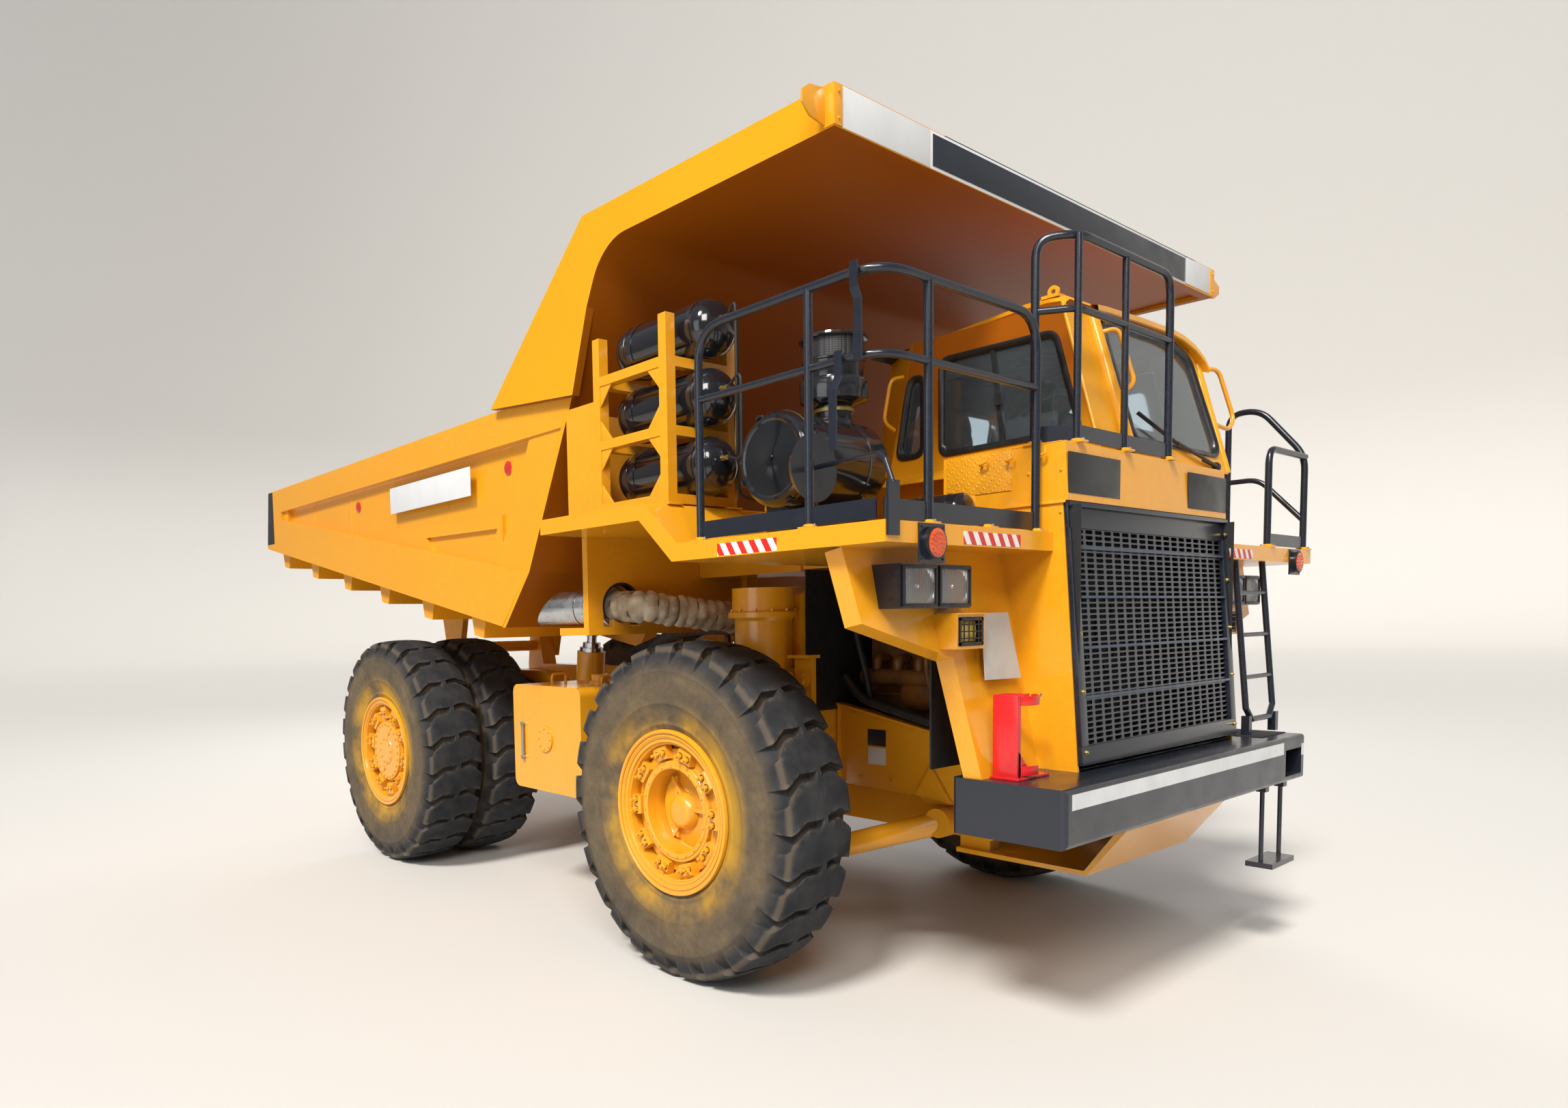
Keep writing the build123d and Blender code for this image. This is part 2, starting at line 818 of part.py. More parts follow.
def grille_plane():
    """Local frame of the raked grille: X forwards out of it, Z up along it."""
    rake = degrees(atan2(grille_bottom_x - grille_top_x, grille_top_z - grille_bottom_z))
    return Pos(grille_bottom_x, 0, grille_bottom_z) * Rot(0, -rake, 0)


def make_grille():
    height = hypot(grille_bottom_x - grille_top_x, grille_top_z - grille_bottom_z)
    half = nose_half_width - 5
    sheet = block((-grille_depth, -plate), (-half, half), (0, height))
    cell_w = 2 * (half - grille_frame) / grille_columns
    cell_h = (height - 2 * grille_frame) / grille_rows
    slots = []
    for row in range(grille_rows):
        for column in range(grille_columns):
            y = -half + grille_frame + (column + 0.5) * cell_w
            z = grille_frame + (row + 0.5) * cell_h
            slots.append(Pos(-grille_depth / 2, y, z) * Box(2 * grille_depth, cell_w - 34, cell_h - 34))
    save("grille", grille_plane() * (sheet - slots))


def grille_back_x(z):
    """Plane just behind the raked grille at height z."""
    rake = atan2(grille_bottom_x - grille_top_x, grille_top_z - grille_bottom_z)
    return grille_bottom_x - (z - grille_bottom_z) * tan(rake) - grille_depth / cos(rake) - running_gap


def make_nose():
    """Sheet housing round the radiator, open behind, below and at the grille."""
    outline = [
        (nose_rear_x, bumper_top_z),
        (grille_back_x(bumper_top_z), bumper_top_z),
        (grille_back_x(grille_top_z + 6), grille_top_z + 6),
        (grille_top_x, grille_top_z + 6),
        (grille_top_x - 14, nose_top_z),
        (nose_rear_x, nose_top_z),
    ]
    outer = side_prism(outline, -nose_half_width, nose_half_width)
    wall = nose_wall
    hollow = side_prism(
        [
            (nose_rear_x - 10, bumper_top_z - 10),
            (grille_bottom_x + 10, bumper_top_z - 10),
            (grille_bottom_x + 10, grille_top_z + 6),
            (grille_top_x - wall, grille_top_z + 6),
            (grille_top_x - wall - 14, nose_top_z - wall),
            (nose_rear_x - 10, nose_top_z - wall),
        ],
        -nose_half_width + wall,
        nose_half_width - wall,
    )
    save("nose", outer - hollow)


def make_fenders():
    """Leaning panels from the nose out under the decks, with a boxed outer edge."""
    place = fender_plane()
    drop = hypot(fender_foot_x - fender_top_x, fender_top_z - bumper_top_z)
    outline = [
        (-nose_half_width, 0),
        (-fender_half_width, 0),
        (-fender_half_width + 50, -320),
        (-1400, -485),
        (-bumper_half_width + 20, -drop),
        (-nose_half_width, -drop),
    ]
    panel = front_prism(outline, -fender_depth, 0)
    recess = front_prism(
        [
            (-nose_half_width, -30),
            (-fender_half_width + 90, -30),
            (-fender_half_width + 130, -290),
            (-1340, -500),
            (-1250, -drop + 10),
            (-nose_half_width, -drop + 10),
        ],
        -fender_depth - 1,
        -plate,
    )
    right = place * (panel - recess)
    right &= block((0, bumper_front_x), (-deck_half_width, -nose_half_width), (bumper_top_z, fender_top_z))
    save("fender_panels", both_sides(right))


def make_lamps():
    """Twin headlamps, caged fog lamps and direction lamps in their housings."""
    ahead = fender_plane() * block((0, 700), (-deck_half_width, deck_half_width), (-1300, 0))
    heads, fogs, signals = [], [], []
    for s in (-1, 1):
        case = block(
            (lamp_face_x - 200, lamp_face_x),
            (s * lamp_outer_y, s * lamp_inner_y),
            (lamp_low_z, lamp_high_z),
        )
        width = (lamp_outer_y - lamp_inner_y) / 2
        for i in (0, 1):
            y = lamp_inner_y + (i + 0.5) * width
            case -= block(
                (lamp_face_x - 22, lamp_face_x + 5),
                (s * (y - width / 2 + 22), s * (y + width / 2 - 22)),
                (lamp_low_z + 20, lamp_high_z - 20),
            )
        heads.append(case & ahead)
        case = block(
            (fog_face_x - 200, fog_face_x), (s * fog_outer_y, s * fog_inner_y), (fog_low_z, fog_high_z)
        )
        case -= block(
            (fog_face_x - 45, fog_face_x + 5),
            (s * (fog_outer_y - 14), s * (fog_inner_y + 14)),
            (fog_low_z + 14, fog_high_z - 14),
        )
        fogs.append(case & ahead)
        back = deck_front_x if s < 0 else left_deck_front_x
        y, z = deck_half_width - signal_setback, deck_top_z - 82
        lamp = block((back, back + 8), (s * (y + 85), s * (y - 85)), (z - 78, z + 78))
        lamp += rod((back + 8, s * y, z), (back + 30, s * y, z), 62)
        signals.append(lamp)
    save("headlamps", Part() + heads)
    save("fog_lamps", Part() + fogs)
    save("direction_lamps", Part() + signals)


# ================================================================ decks and rails
def make_decks():
    low = deck_top_z - deck_edge
    right = side_prism(
        [
            (deck_front_x, deck_top_z),
            (deck_break_x, deck_top_z),
            (deck_break_x - deck_slope_run, deck_rear_z),
            (deck_rear_x, deck_rear_z),
            (deck_rear_x, deck_rear_z - deck_edge),
            (deck_break_x - deck_slope_run - 40, deck_rear_z - deck_edge),
            (deck_break_x - 40, low),
            (deck_front_x, low),
        ],
        -deck_half_width,
        -nose_half_width,
    )
    right += block(
        (deck_rear_x, cab_rear_x - 10), (-nose_half_width, left_deck_inner_y - 20),
        (inner_deck_low_z, inner_deck_low_z + 120),
    )
    right += block(
        (deck_rear_x, cab_rear_x - 10), (-nose_half_width - plate, -nose_half_width),
        (inner_deck_low_z, deck_rear_z),
    )
    save("deck_right", right)
    left = block(
        (left_deck_rear_x, left_deck_front_x), (nose_half_width, deck_half_width), (low, deck_top_z)
    )
    left += block((left_deck_rear_x, nose_rear_x), (left_deck_inner_y, nose_half_width), (low, deck_top_z))
    left += block((cab_rear_x, nose_rear_x), (-nose_half_width, left_deck_inner_y), (low, deck_top_z))
    save("deck_left", left)


def make_handrail_right():
    y = -deck_half_width + 50
    x = deck_front_x - 60
    z = deck_top_z
    rear, end_y = handrail_rear_x, -920
    bend = 90
    top = [
        (rear, y, z), (rear, y, rail_high_z), (x, y, rail_high_z), (x, end_y, rail_high_z), (x, end_y, z)
    ]
    shape = bent_tube(top, rail_tube_radius, bend)
    shape += bent_tube(
        [(rear, y, rail_mid_z), (x, y, rail_mid_z), (x, end_y, rail_mid_z)], rail_tube_radius - 3, bend
    )
    for px, py in ((3440, y), (x, -1740)):
        shape += rod((px, py, z), (px, py, rail_high_z), rail_tube_radius)
    shape += block((rear, x), (y - 4, y + 4), (z + 12, z + 92))
    shape += block((x - 4, x + 4), (y, end_y), (z + 12, z + 92))
    save("handrail_right", shape)


def make_handrail_front():
    """Guard rail on the nose in front of the windscreen."""
    x = cab_front_x + 26
    z = nose_top_z
    start = (x - 150, -nose_half_width + 20)
    corner = (x, -745)
    end_y = 190
    high = z + 940
    mid = z + 610
    path = [(*start, z), (*start, high), (*corner, high), (x, end_y, high), (x, end_y, z)]
    shape = bent_tube(path, rail_tube_radius, 70)
    shape += bent_tube([(*start, mid), (*corner, mid), (x, end_y, mid)], rail_tube_radius - 3, 0)
    for y in (corner[1], -290):
        shape += rod((x, y, z), (x, y, high), rail_tube_radius - 3)
    shape += block((x - 4, x + 4), (corner[1], end_y), (z + 12, z + 80))
    save("handrail_front", shape)


def make_handrail_left():
    y = deck_half_width - 50
    x = left_deck_front_x - 30
    z = deck_top_z
    rear, bend_x, end_y = left_rail_rear_x, left_rail_bend_x, left_return_y
    high = z + left_rail_height
    mid = z + left_rail_mid_height
    turn = z + left_return_height
    path = [(rear, y, z), (rear, y, high), (bend_x, y, high), (x, y, turn + 10), (x, y, z)]
    shape = bent_tube(path, rail_tube_radius, 60)
    shape += bent_tube([(rear, y, mid), (bend_x, y, mid), (x, y, z + 190)], rail_tube_radius - 3, 0)
    shape += bent_tube([(x, y, turn), (x, end_y, turn), (x, end_y, z)], rail_tube_radius, 60)
    shape += block((x - 4, x + 4), (end_y, y), (z + 12, z + 80))
    save("handrail_left", shape)


# ================================================================ deck equipment
def make_deck_equipment():
    drum = (
        # along Y from the middle, radius
        (-330, 0),
        (-330, 190),
        (-310, cleaner_radius + 8),
        (-270, cleaner_radius + 8),
        (-270, cleaner_radius),
        (300, cleaner_radius),
        (330, cleaner_radius - 40),
        (330, 0),
    )
    shape = turned(drum, cleaner_x, cleaner_y, cleaner_z)
    for y in (cleaner_y - 180, cleaner_y + 180):
        shape += block(
            (cleaner_x - 150, cleaner_x + 150),
            (y - 20, y + 20),
            (deck_top_z, cleaner_z - cleaner_radius + 60),
        )
    crown = cleaner_z + cleaner_radius
    bowl = (
        # height, radius
        (crown - 30, 0),
        (crown - 30, 95),
        (crown + 70, 95),
        (crown + 90, 168),
        (crown + 200, 172),
        (crown + 215, 150),
        (crown + 400, 150),
        (crown + 405, 168),
        (crown + 425, 160),
        (crown + 425, 0),
    )
    shape += turned(bowl, cleaner_x, cleaner_y + 130, 0, (0, 0, 1))
    save("air_cleaner", shape)
    arm_y = -deck_half_width + 41
    arm_z = deck_top_z + 150
    mirror = (mirror_x, -deck_half_width + mirror_setback, mirror_z)
    shape = block((deck_front_x, deck_front_x + 12), (arm_y - 35, arm_y + 35), (deck_top_z - 60, arm_z))
    arm = [(deck_front_x + 6, arm_y, arm_z - 10), (deck_front_x - 40, arm_y, mirror_z - 20), mirror]
    shape += bent_tube(arm, 11, 30)
    shape += turned(
        ((-14, 0), (-14, mirror_radius), (14, mirror_radius - 15), (14, 0)), *mirror, (-1, 0, 0)
    )
    save("round_mirror", shape)


def make_tank_rack():
    """Gusseted rack of posts and shelves carrying the three pressure vessels."""
    z = deck_rear_z
    half = rack_post / 2
    rack = Part()
    for x in (rack_rear_x, rack_front_x):
        for y in (rack_outer_y, rack_inner_y):
            rack += block((x - half, x + half), (y - half, y + half), (z, z + rack_height))
    for level in rack_levels:
        top = z + level
        for x in (rack_rear_x, rack_front_x):
            rack += block((x - half, x + half), (rack_outer_y, rack_inner_y), (top - 50, top))
        for y in (rack_outer_y, rack_inner_y):
            rack += block((rack_rear_x, rack_front_x), (y - half, y + half), (top - 50, top))
    rack += block(
        (deck_rear_x, rack_rear_x - half), (rack_outer_y, rack_outer_y + plate), (z, z + sheet_height)
    )
    rack += block(
        (deck_rear_x, deck_rear_x + plate), (rack_outer_y, -nose_half_width - 300), (z, z + sheet_height)
    )
    save("tank_rack", rack)
    profile = (
        # along X from the middle, radius
        (-half_vessel, 0),
        (-half_vessel, 60),
        (-half_vessel + 60, vessel_radius - 12),
        (-half_vessel + 110, vessel_radius),
        (half_vessel - 110, vessel_radius),
        (half_vessel - 60, vessel_radius - 12),
        (half_vessel, 60),
        (half_vessel, 0),
    )
    tanks = []
    x = (rack_rear_x + rack_front_x) / 2 + 100
    for level in rack_levels:
        tanks.append(
            turned(profile, x, (rack_outer_y + rack_inner_y) / 2, z + level + vessel_radius, (1, 0, 0))
        )
    x = 3380
    small = turned(
        ((-185, 0), (-185, 40), (-150, 96), (150, 96), (185, 40), (185, 0)),
        x,
        -1080,
        deck_top_z + 110,
        (1, 0, 0),
    )
    for foot in (x - 120, x + 120):
        small += block((foot - 20, foot + 20), (-1140, -1020), (deck_top_z, deck_top_z + 60))
    save("air_tanks", Part() + tanks + [small])


# ================================================================ exhaust, tanks
def make_exhaust():
    """Bulkhead under the rear platform, the pipe through its window and the outlet."""
    x, y = bulkhead_x, exhaust_y
    top = deck_rear_z - deck_edge
    outer, inner = bulkhead_outer_y, -nose_half_width - 30
    wall = block((x, x + plate), (outer, inner), (support_low_z, top))
    wall += block((x - 40, x), (outer, outer + 60), (support_low_z, top))
    wall += block((x - 300, x), (outer, outer + plate), (support_low_z, support_low_z + 45))
    wall += block((x - 40, x), (outer, inner), (support_low_z, support_low_z + 30))
    wall -= block((x - 5, x + 50), (y - window_half, y + window_half), (exhaust_z - 120, exhaust_z))
    wall -= Pos(x, y, exhaust_z) * Rot(0, 90, 0) * Cylinder(window_half, 100)
    saddle = block((x - 40, x + plate), (y - 60, y + 60), (exhaust_z - window_half, exhaust_z - 50))
    wall += saddle - Pos(x, y, exhaust_z) * Rot(0, 90, 0) * Cylinder(exhaust_radius + running_gap, 200)
    wall += block(
        (x - 40, x + plate), (inner, -rail_outer_y + 20), (inner_deck_low_z - 140, inner_deck_low_z)
    )
    wall += block((x - 40, x + 60), (-rail_outer_y, -rail_outer_y + 100), (rail_top_z, inner_deck_low_z))
    save("exhaust_support", wall)
    start_x = front_axle_x - 350
    path = [
        (start_x, -480, exhaust_z - 120),
        (start_x, -1000, exhaust_z - 80),
        (x + 150, y, exhaust_z),
        (x - 60, y, exhaust_z),
    ]
    save("exhaust_pipe", bent_tube(path, exhaust_radius, 100))
    save("muffler", exhaust_outlet(x - 60, y))


def exhaust_outlet(x, y):
    """Flap valve housing with its box above, and the open slanted outlet."""
    housing = turned(
        ((0, 0), (0, 118), (-120, 118), (-150, 90), (-190, 90), (-190, 0)), x, y, exhaust_z, (1, 0, 0)
    )
    housing += block((x - 110, x - 20), (y - 55, y + 55), (exhaust_z + 90, exhaust_z + 230))
    bore = outlet_radius - 12
    profile = (
        # along the outlet, radius
        (0, 0),
        (0, outlet_radius),
        (60, outlet_radius),
        (60, outlet_radius + 9),
        (84, outlet_radius + 9),
        (84, outlet_radius),
        (outlet_length, outlet_radius),
        (outlet_length, bore),
        (outlet_length / 2, bore),
        (outlet_length / 2, 0),
    )
    turn = radians(outlet_turn)
    outlet = turned(profile, x - 130, y, exhaust_z, (-cos(turn), -sin(turn), 0))
    mouth = (x - 130 - outlet_length * cos(turn), y - outlet_length * sin(turn), exhaust_z)
    slant = Pos(*mouth) * Rot(0, 0, outlet_turn) * Rot(0, 35, 0) * Box(200, 600, 600)
    return housing + (outlet - slant)


def make_side_tanks():
    tanks = []
    for s in (-1, 1):
        shape = block(
            (tank_rear_x, tank_front_x), (s * tank_outer_y, s * tank_inner_y), (tank_low_z, tank_high_z)
        )
        shape = fillet(shape.edges().filter_by(Axis.Y), tank_round)
        for x in (tank_rear_x + 25, tank_front_x - 190):
            shape += block(
                (x, x + 60),
                (s * rail_outer_y, s * (tank_inner_y + 10)),
                (rail_bottom_z + 60, rail_bottom_z + 260),
            )
        tanks.append(shape)
    save("side_tanks", Part() + tanks)


# ================================================================ cab
def cab_outline(inset=0.0, back=0.0):
    """Plan of the upper cab: square behind, both front corners cut back."""
    front = cab_front_x - back - inset
    return [
        (cab_rear_x + inset, cab_right_y + inset),
        (front - cab_corner_x, cab_right_y + inset),
        (front, cab_right_y + cab_corner_y + inset * 0.4),
        (front, cab_left_y - cab_left_corner_y - inset * 0.4),
        (front - cab_left_corner_x, cab_left_y - inset),
        (cab_rear_x + inset, cab_left_y - inset),
    ]


def cab_foot_outline(inset=0.0):
    """Plan of the lower cab, which steps round the corner of the nose."""
    return [
        (cab_rear_x + inset, cab_right_y + inset),
        (nose_rear_x - inset, cab_right_y + inset),
        (nose_rear_x - inset, nose_half_width + inset),
        (cab_leg_x - inset, nose_half_width + inset),
        (cab_leg_x - inset, cab_left_y - inset),
        (cab_rear_x + inset, cab_left_y - inset),
    ]


def cab_body(inset, low, high):
    """Upright beside the nose, leaning back above it."""
    split = nose_top_z + inset
    lower = plan_prism(cab_foot_outline(inset), low, split)
    faces = []
    for z in (split, high):
        outline = cab_outline(inset, (z - nose_top_z) * cab_lean)
        faces.append(make_face(Polyline(*[(x, y, z) for x, y in outline], close=True)))
    return lower + loft(faces, ruled=True)


def window_side(z_low, z_high, rear, front_low, front_high):
    return [(rear, z_low), (front_low, z_low), (front_high, z_high), (rear, z_high)]


def make_cab():
    outer = cab_body(0, deck_top_z, cab_roof_z)
    inner = cab_body(cab_wall, deck_top_z + cab_wall, cab_roof_z - cab_wall)
    shell = outer - inner
    low, high = cab_window_z
    cut = 3 * cab_wall
    side_low = cab_front_x - cab_corner_x - pillar - (low - nose_top_z) * cab_lean
    side_high = side_low - (high - low) * cab_lean
    right_window = window_side(low, high, cab_window_rear_x, side_low, side_high)
    shell -= side_prism(right_window, cab_right_y - cut, cab_right_y + cut)
    small_window = window_side(
        low + 60, high - 60, cab_rear_x + 160, cab_window_rear_x - 120, cab_window_rear_x - 150
    )
    shell -= side_prism(small_window, cab_right_y - cut, cab_right_y + cut)
    screen = (screen_right_y, screen_left_y)
    shell -= block((cab_front_x - 500, cab_front_x + 50), screen, (low + 30, high + 60)) & cab_front_slab()
    back_window = (cab_right_y + 250, cab_left_y - 250)
    shell -= block((cab_rear_x - 50, cab_rear_x + cut), back_window, (low, high))
    shell -= side_prism(door_outline(door_gap), cab_left_y - cut, cab_left_y + cut)
    roof = block(
        (cab_rear_x - 30, cab_front_x - 150),
        (cab_right_y - 20, cab_left_y + 20),
        (cab_roof_z, cab_roof_z + 40),
    )
    save("cab_shell", shell + roof)
    make_cab_glass((right_window, small_window), screen, back_window)


def cab_front_slab():
    """A thick slab that follows the leaning windscreen."""
    z0, z1 = nose_top_z - 200, cab_roof_z + 200
    lean0, lean1 = (z0 - nose_top_z) * cab_lean, (z1 - nose_top_z) * cab_lean
    outline = [
        (cab_front_x - lean0 - 120, z0),
        (cab_front_x - lean0 + 60, z0),
        (cab_front_x - lean1 + 60, z1),
        (cab_front_x - lean1 - 120, z1),
    ]
    return side_prism(outline, cab_right_y, cab_left_y)


def make_cab_glass(side_windows, screen, back_window):
    low, high = cab_window_z
    mid = cab_wall / 2
    pane = glass_thickness / 2
    panes = [
        side_prism(window, cab_right_y + mid - pane, cab_right_y + mid + pane) for window in side_windows
    ]
    z0, z1 = low + 30, high + 60
    x0 = cab_front_x - mid - (z0 - nose_top_z) * cab_lean
    x1 = cab_front_x - mid - (z1 - nose_top_z) * cab_lean
    panes.append(side_prism([(x0 - pane, z0), (x0 + pane, z0), (x1 + pane, z1), (x1 - pane, z1)], *screen))
    panes.append(block((cab_rear_x + mid - pane, cab_rear_x + mid + pane), back_window, (low, high)))
    save("cab_glass", Part() + panes)


def door_outline(grow=0.0):
    low, high = deck_top_z + 60, cab_roof_z - 110
    front = door_front_x + grow
    return [
        (door_rear_x - grow, low - grow),
        (front, low - grow),
        (front, nose_top_z),
        (front - (high + grow - nose_top_z) * cab_lean, high + grow),
        (door_rear_x - grow, high + grow),
    ]


def make_door():
    y = cab_left_y
    panel = side_prism(door_outline(), y - cab_wall, y)
    low, high = cab_window_z
    front = door_front_x - 70 - (low - nose_top_z) * cab_lean
    window = window_side(low, high, door_rear_x + 70, front, front - (high - low) * cab_lean)
    panel -= side_prism(window, y - 2 * cab_wall, y + cab_wall)
    for z in (deck_top_z + 180, nose_top_z - 60):
        panel += rod((door_front_x + 22, y + 14, z), (door_front_x + 22, y + 14, z + 80), 14)
        panel += block((door_front_x - 40, door_front_x + 22), (y, y + 14), (z, z + 80))
    save("cab_door", panel)
    mid = y - cab_wall / 2
    save("door_glass", side_prism(window, mid - glass_thickness / 2, mid + glass_thickness / 2))


def make_cab_inside():
    x, y, z = seat_x, seat_y, deck_top_z + cab_wall
    seat = block((x - 150, x + 150), (y - 150, y + 150), (z, z + 260))
    seat += block((x - 250, x + 250), (y - 250, y + 250), (z + 260, z + 390))
    back = side_prism(
        [(x - 250, z + 380), (x - 130, z + 380), (x - 200, z + 980), (x - 300, z + 980)], y - 230, y + 230
    )
    save("driver_seat", seat + back)
    desk_x = nose_rear_x
    desk_z = nose_top_z + cab_wall
    desk = block((desk_x - 20, desk_x + 330), (cab_right_y + 250, cab_left_y - 250), (desk_z, desk_z + 200))
    desk += block((desk_x - 110, desk_x), (y - 260, y + 260), (desk_z + 90, desk_z + 200))
    wheel = (desk_x - 190, y, desk_z + 330)
    column = rod((desk_x - 60, y, desk_z + 150), wheel, 38)
    tilt = Pos(*wheel) * Rot(0, -40, 0)
    column += tilt * turned(((-13, 187), (-13, 213), (13, 213), (13, 187)), 0, 0, 0, (0, 0, 1))
    for turn in (0, 120, 240):
        a = radians(turn)
        column += tilt * rod((0, 0, 0), (195 * cos(a), 195 * sin(a), 0), 10)
    save("steering_console", desk + column)


# ================================================================ dump bed
def floor_z(x):
    """Height of the underside of the bed floor plate at x."""
    rise = bed_tail_bottom_z - bed_front_bottom_z
    return bed_front_bottom_z + (bed_front_x - x) * rise / (bed_front_x - bed_tail_x)


def wall_x(z):
    """Position of the outer face of the leaning front wall at height z."""
    x0, z0, x1, z1 = front_wall_knee_x, front_wall_knee_z, front_wall_top_x, front_wall_top_z
    if z < front_wall_knee_z:
        x0, z0, x1, z1 = bed_front_x, bed_front_bottom_z, front_wall_knee_x, front_wall_knee_z
    return x0 + (z - z0) * (x1 - x0) / (z1 - z0)


def make_bed_floor():
    """Floor plate on two long beams, with cross ribs between and outside the beams."""
    inner = bed_half_width - bed_panel_setback - bed_side_wall
    x0, x1 = bed_tail_x, bed_front_x
    plate_outline = [
        (x0, floor_z(x0)), (x1, floor_z(x1)), (x1, floor_z(x1) + bed_plate), (x0, floor_z(x0) + bed_plate)
    ]
    plate_shape = side_prism(plate_outline, -inner, inner) - front_wall_side()
    beam_outer, beam_inner = rail_outer_y - bed_beam_inset, rail_outer_y - rail_width + bed_beam_inset
    beam = [
        (bed_rear_beam_x, floor_z(bed_rear_beam_x) - bed_main_beam),
        (x1 - 260, floor_z(x1 - 260) - bed_main_beam),
        (x1 - 110, floor_z(x1 - 110)),
        (bed_rear_beam_x - 300, floor_z(bed_rear_beam_x - 300)),
    ]
    beams = both_sides(side_prism(beam, -beam_outer, -beam_inner))
    bays = Part()
    first, last = bed_tail_x + 330, bed_front_x - 500
    for i in range(bed_rib_count):
        x = first + (last - first) * i / (bed_rib_count - 1)
        half = bed_rib_width / 2
        rib = [
            (x - half, floor_z(x - half)),
            (x - half + 40, floor_z(x - half + 40) - bed_rib_depth),
            (x + half - 40, floor_z(x + half - 40) - bed_rib_depth),
            (x + half, floor_z(x + half)),
        ]
        bays += side_prism(rib, -inner, inner)
    for s in (-1, 1):
        x, y = hoist_head_x, s * hoist_y
        pocket = [(x - 300, 0), (x + 300, 0), (x + 300, floor_z(x + 300)), (x - 300, floor_z(x - 300))]
        bays -= side_prism(pocket, y - hoist_pocket, y + hoist_pocket)
    ears = hinge_ears() + hoist_ears()
    bays -= beams
    bays -= ears
    solids = plate_shape.solids() + beams.solids() + bays.solids()
    for ear in ears:
        solids += ear.solids()
    save_solids("bed_floor", solids)


def hinge_ears():
    """Plates outside the frame rails that turn on the rear hinge pin."""
    ears = []
    for s in (-1, 1):
        y0, y1 = s * (rail_outer_y + hinge_side_gap), s * (rail_outer_y + hinge_side_gap + hinge_ear_width)
        outline = [
            (dump_hinge_x - 110, dump_hinge_z - 110),
            (dump_hinge_x + 110, dump_hinge_z - 110),
            (dump_hinge_x + 330, floor_z(dump_hinge_x + 330)),
            (dump_hinge_x - 330, floor_z(dump_hinge_x - 330)),
        ]
        ear = side_prism(outline, min(y0, y1), max(y0, y1))
        pin = Cylinder(hinge_pin_radius + running_gap, 4 * rail_outer_y)
        bore = Pos(dump_hinge_x, 0, dump_hinge_z) * Rot(90, 0, 0) * pin
        ears.append(ear - bore)
    return ears


def hoist_ears():
    """Two pairs of ears under the floor, one each side of a hoist rod's eye."""
    ears = []
    for s in (-1, 1):
        for side in (-1, 1):
            y0 = s * hoist_y + side * (hoist_eye_width / 2 + hoist_ear_gap)
            y1 = y0 + side * 22
            outline = [
                (hoist_head_x - 70, hoist_head_z - 50),
                (hoist_head_x + 70, hoist_head_z - 50),
                (hoist_head_x + 130, floor_z(hoist_head_x + 130)),
                (hoist_head_x - 130, floor_z(hoist_head_x - 130)),
            ]
            ears.append(side_prism(outline, min(y0, y1), max(y0, y1)))
    return ears


def beam_top_z(x):
    """Upper edge of the side's lower beam, which is deeper in front."""
    share = (bed_front_x - x) / (bed_front_x - tail_guard_x)
    return floor_z(x) + bed_beam_depth + (bed_beam_tail_depth - bed_beam_depth) * share


def bed_side():
    """One side wall: recessed panel, top rail, lower beam, posts and tail guard."""
    y = -bed_half_width
    face = y + bed_panel_setback
    inner = face + bed_side_wall
    x0, x1 = tail_guard_x, bed_front_x
    knee_x, knee_z = front_wall_knee_x - bed_wall_lap, front_wall_knee_z
    top = bed_top_z
    z_high = top - bed_rail_depth
    front_top = (wall_x(top) - bed_wall_lap, top)
    front_foot = (x1 - bed_wall_lap, floor_z(x1 - bed_wall_lap))
    side = side_prism([(x0, floor_z(x0)), front_foot, (knee_x, knee_z), front_top, (x0, top)], face, inner)
    rail = [(x0, z_high), (wall_x(z_high) - bed_wall_lap, z_high), front_top, (x0, top)]
    side += side_prism(rail, y, inner)
    beam_top = beam_top_z(knee_x)
    beam = [
        (x0, floor_z(x0)),
        front_foot,
        (knee_x, knee_z),
        (wall_x(beam_top) - bed_wall_lap, beam_top),
        (x0, beam_top_z(x0)),
    ]
    side += side_prism(beam, y, inner)
    post_foot = beam_top_z(knee_x - bed_post_width)
    post = [
        (wall_x(z) - bed_wall_lap - back, z)
        for z, back in ((z_high, bed_post_width), (z_high, 0), (beam_top, 0))
    ]
    side += side_prism(post + [(knee_x - bed_post_width, post_foot)], y + 12, inner)
    rear_post = [(x0, floor_z(x0) + 200), (x0 + 130, floor_z(x0) + 200), (x0 + 130, z_high), (x0, z_high)]
    side += side_prism(rear_post, y + 25, inner)
    side += bed_pressings(face)
    guard = [(bed_tail_x, floor_z(bed_tail_x)), (x0, floor_z(x0)), (x0, top), (bed_tail_x + 90, top)]
    return side + side_prism(guard, y, inner)


def bed_pressings(face):
    """Raised lower panel and the long pressed channel in front of it."""
    depth = bed_pressing
    panel = [(x, beam_top_z(x) - 10) for x in (bed_pressing_rear_x, bed_front_x - 60)]
    panel += [(bed_front_x - 60, bed_pressing_z), (bed_pressing_rear_x + 380, bed_pressing_z + 30)]
    channel = [
        (bed_front_x - 1190, bed_pressing_z - 65),
        (bed_front_x - 130, bed_pressing_z - 85),
        (bed_front_x - 190, bed_pressing_z - 205),
        (bed_front_x - 1090, bed_pressing_z - 185),
    ]
    return side_prism(panel, face - depth, face + 1) - side_prism(channel, face - depth - 1, face)


def make_bed_sides():
    right = bed_side()
    save("bed_side_right", right)
    save("bed_side_left", other_side(right))


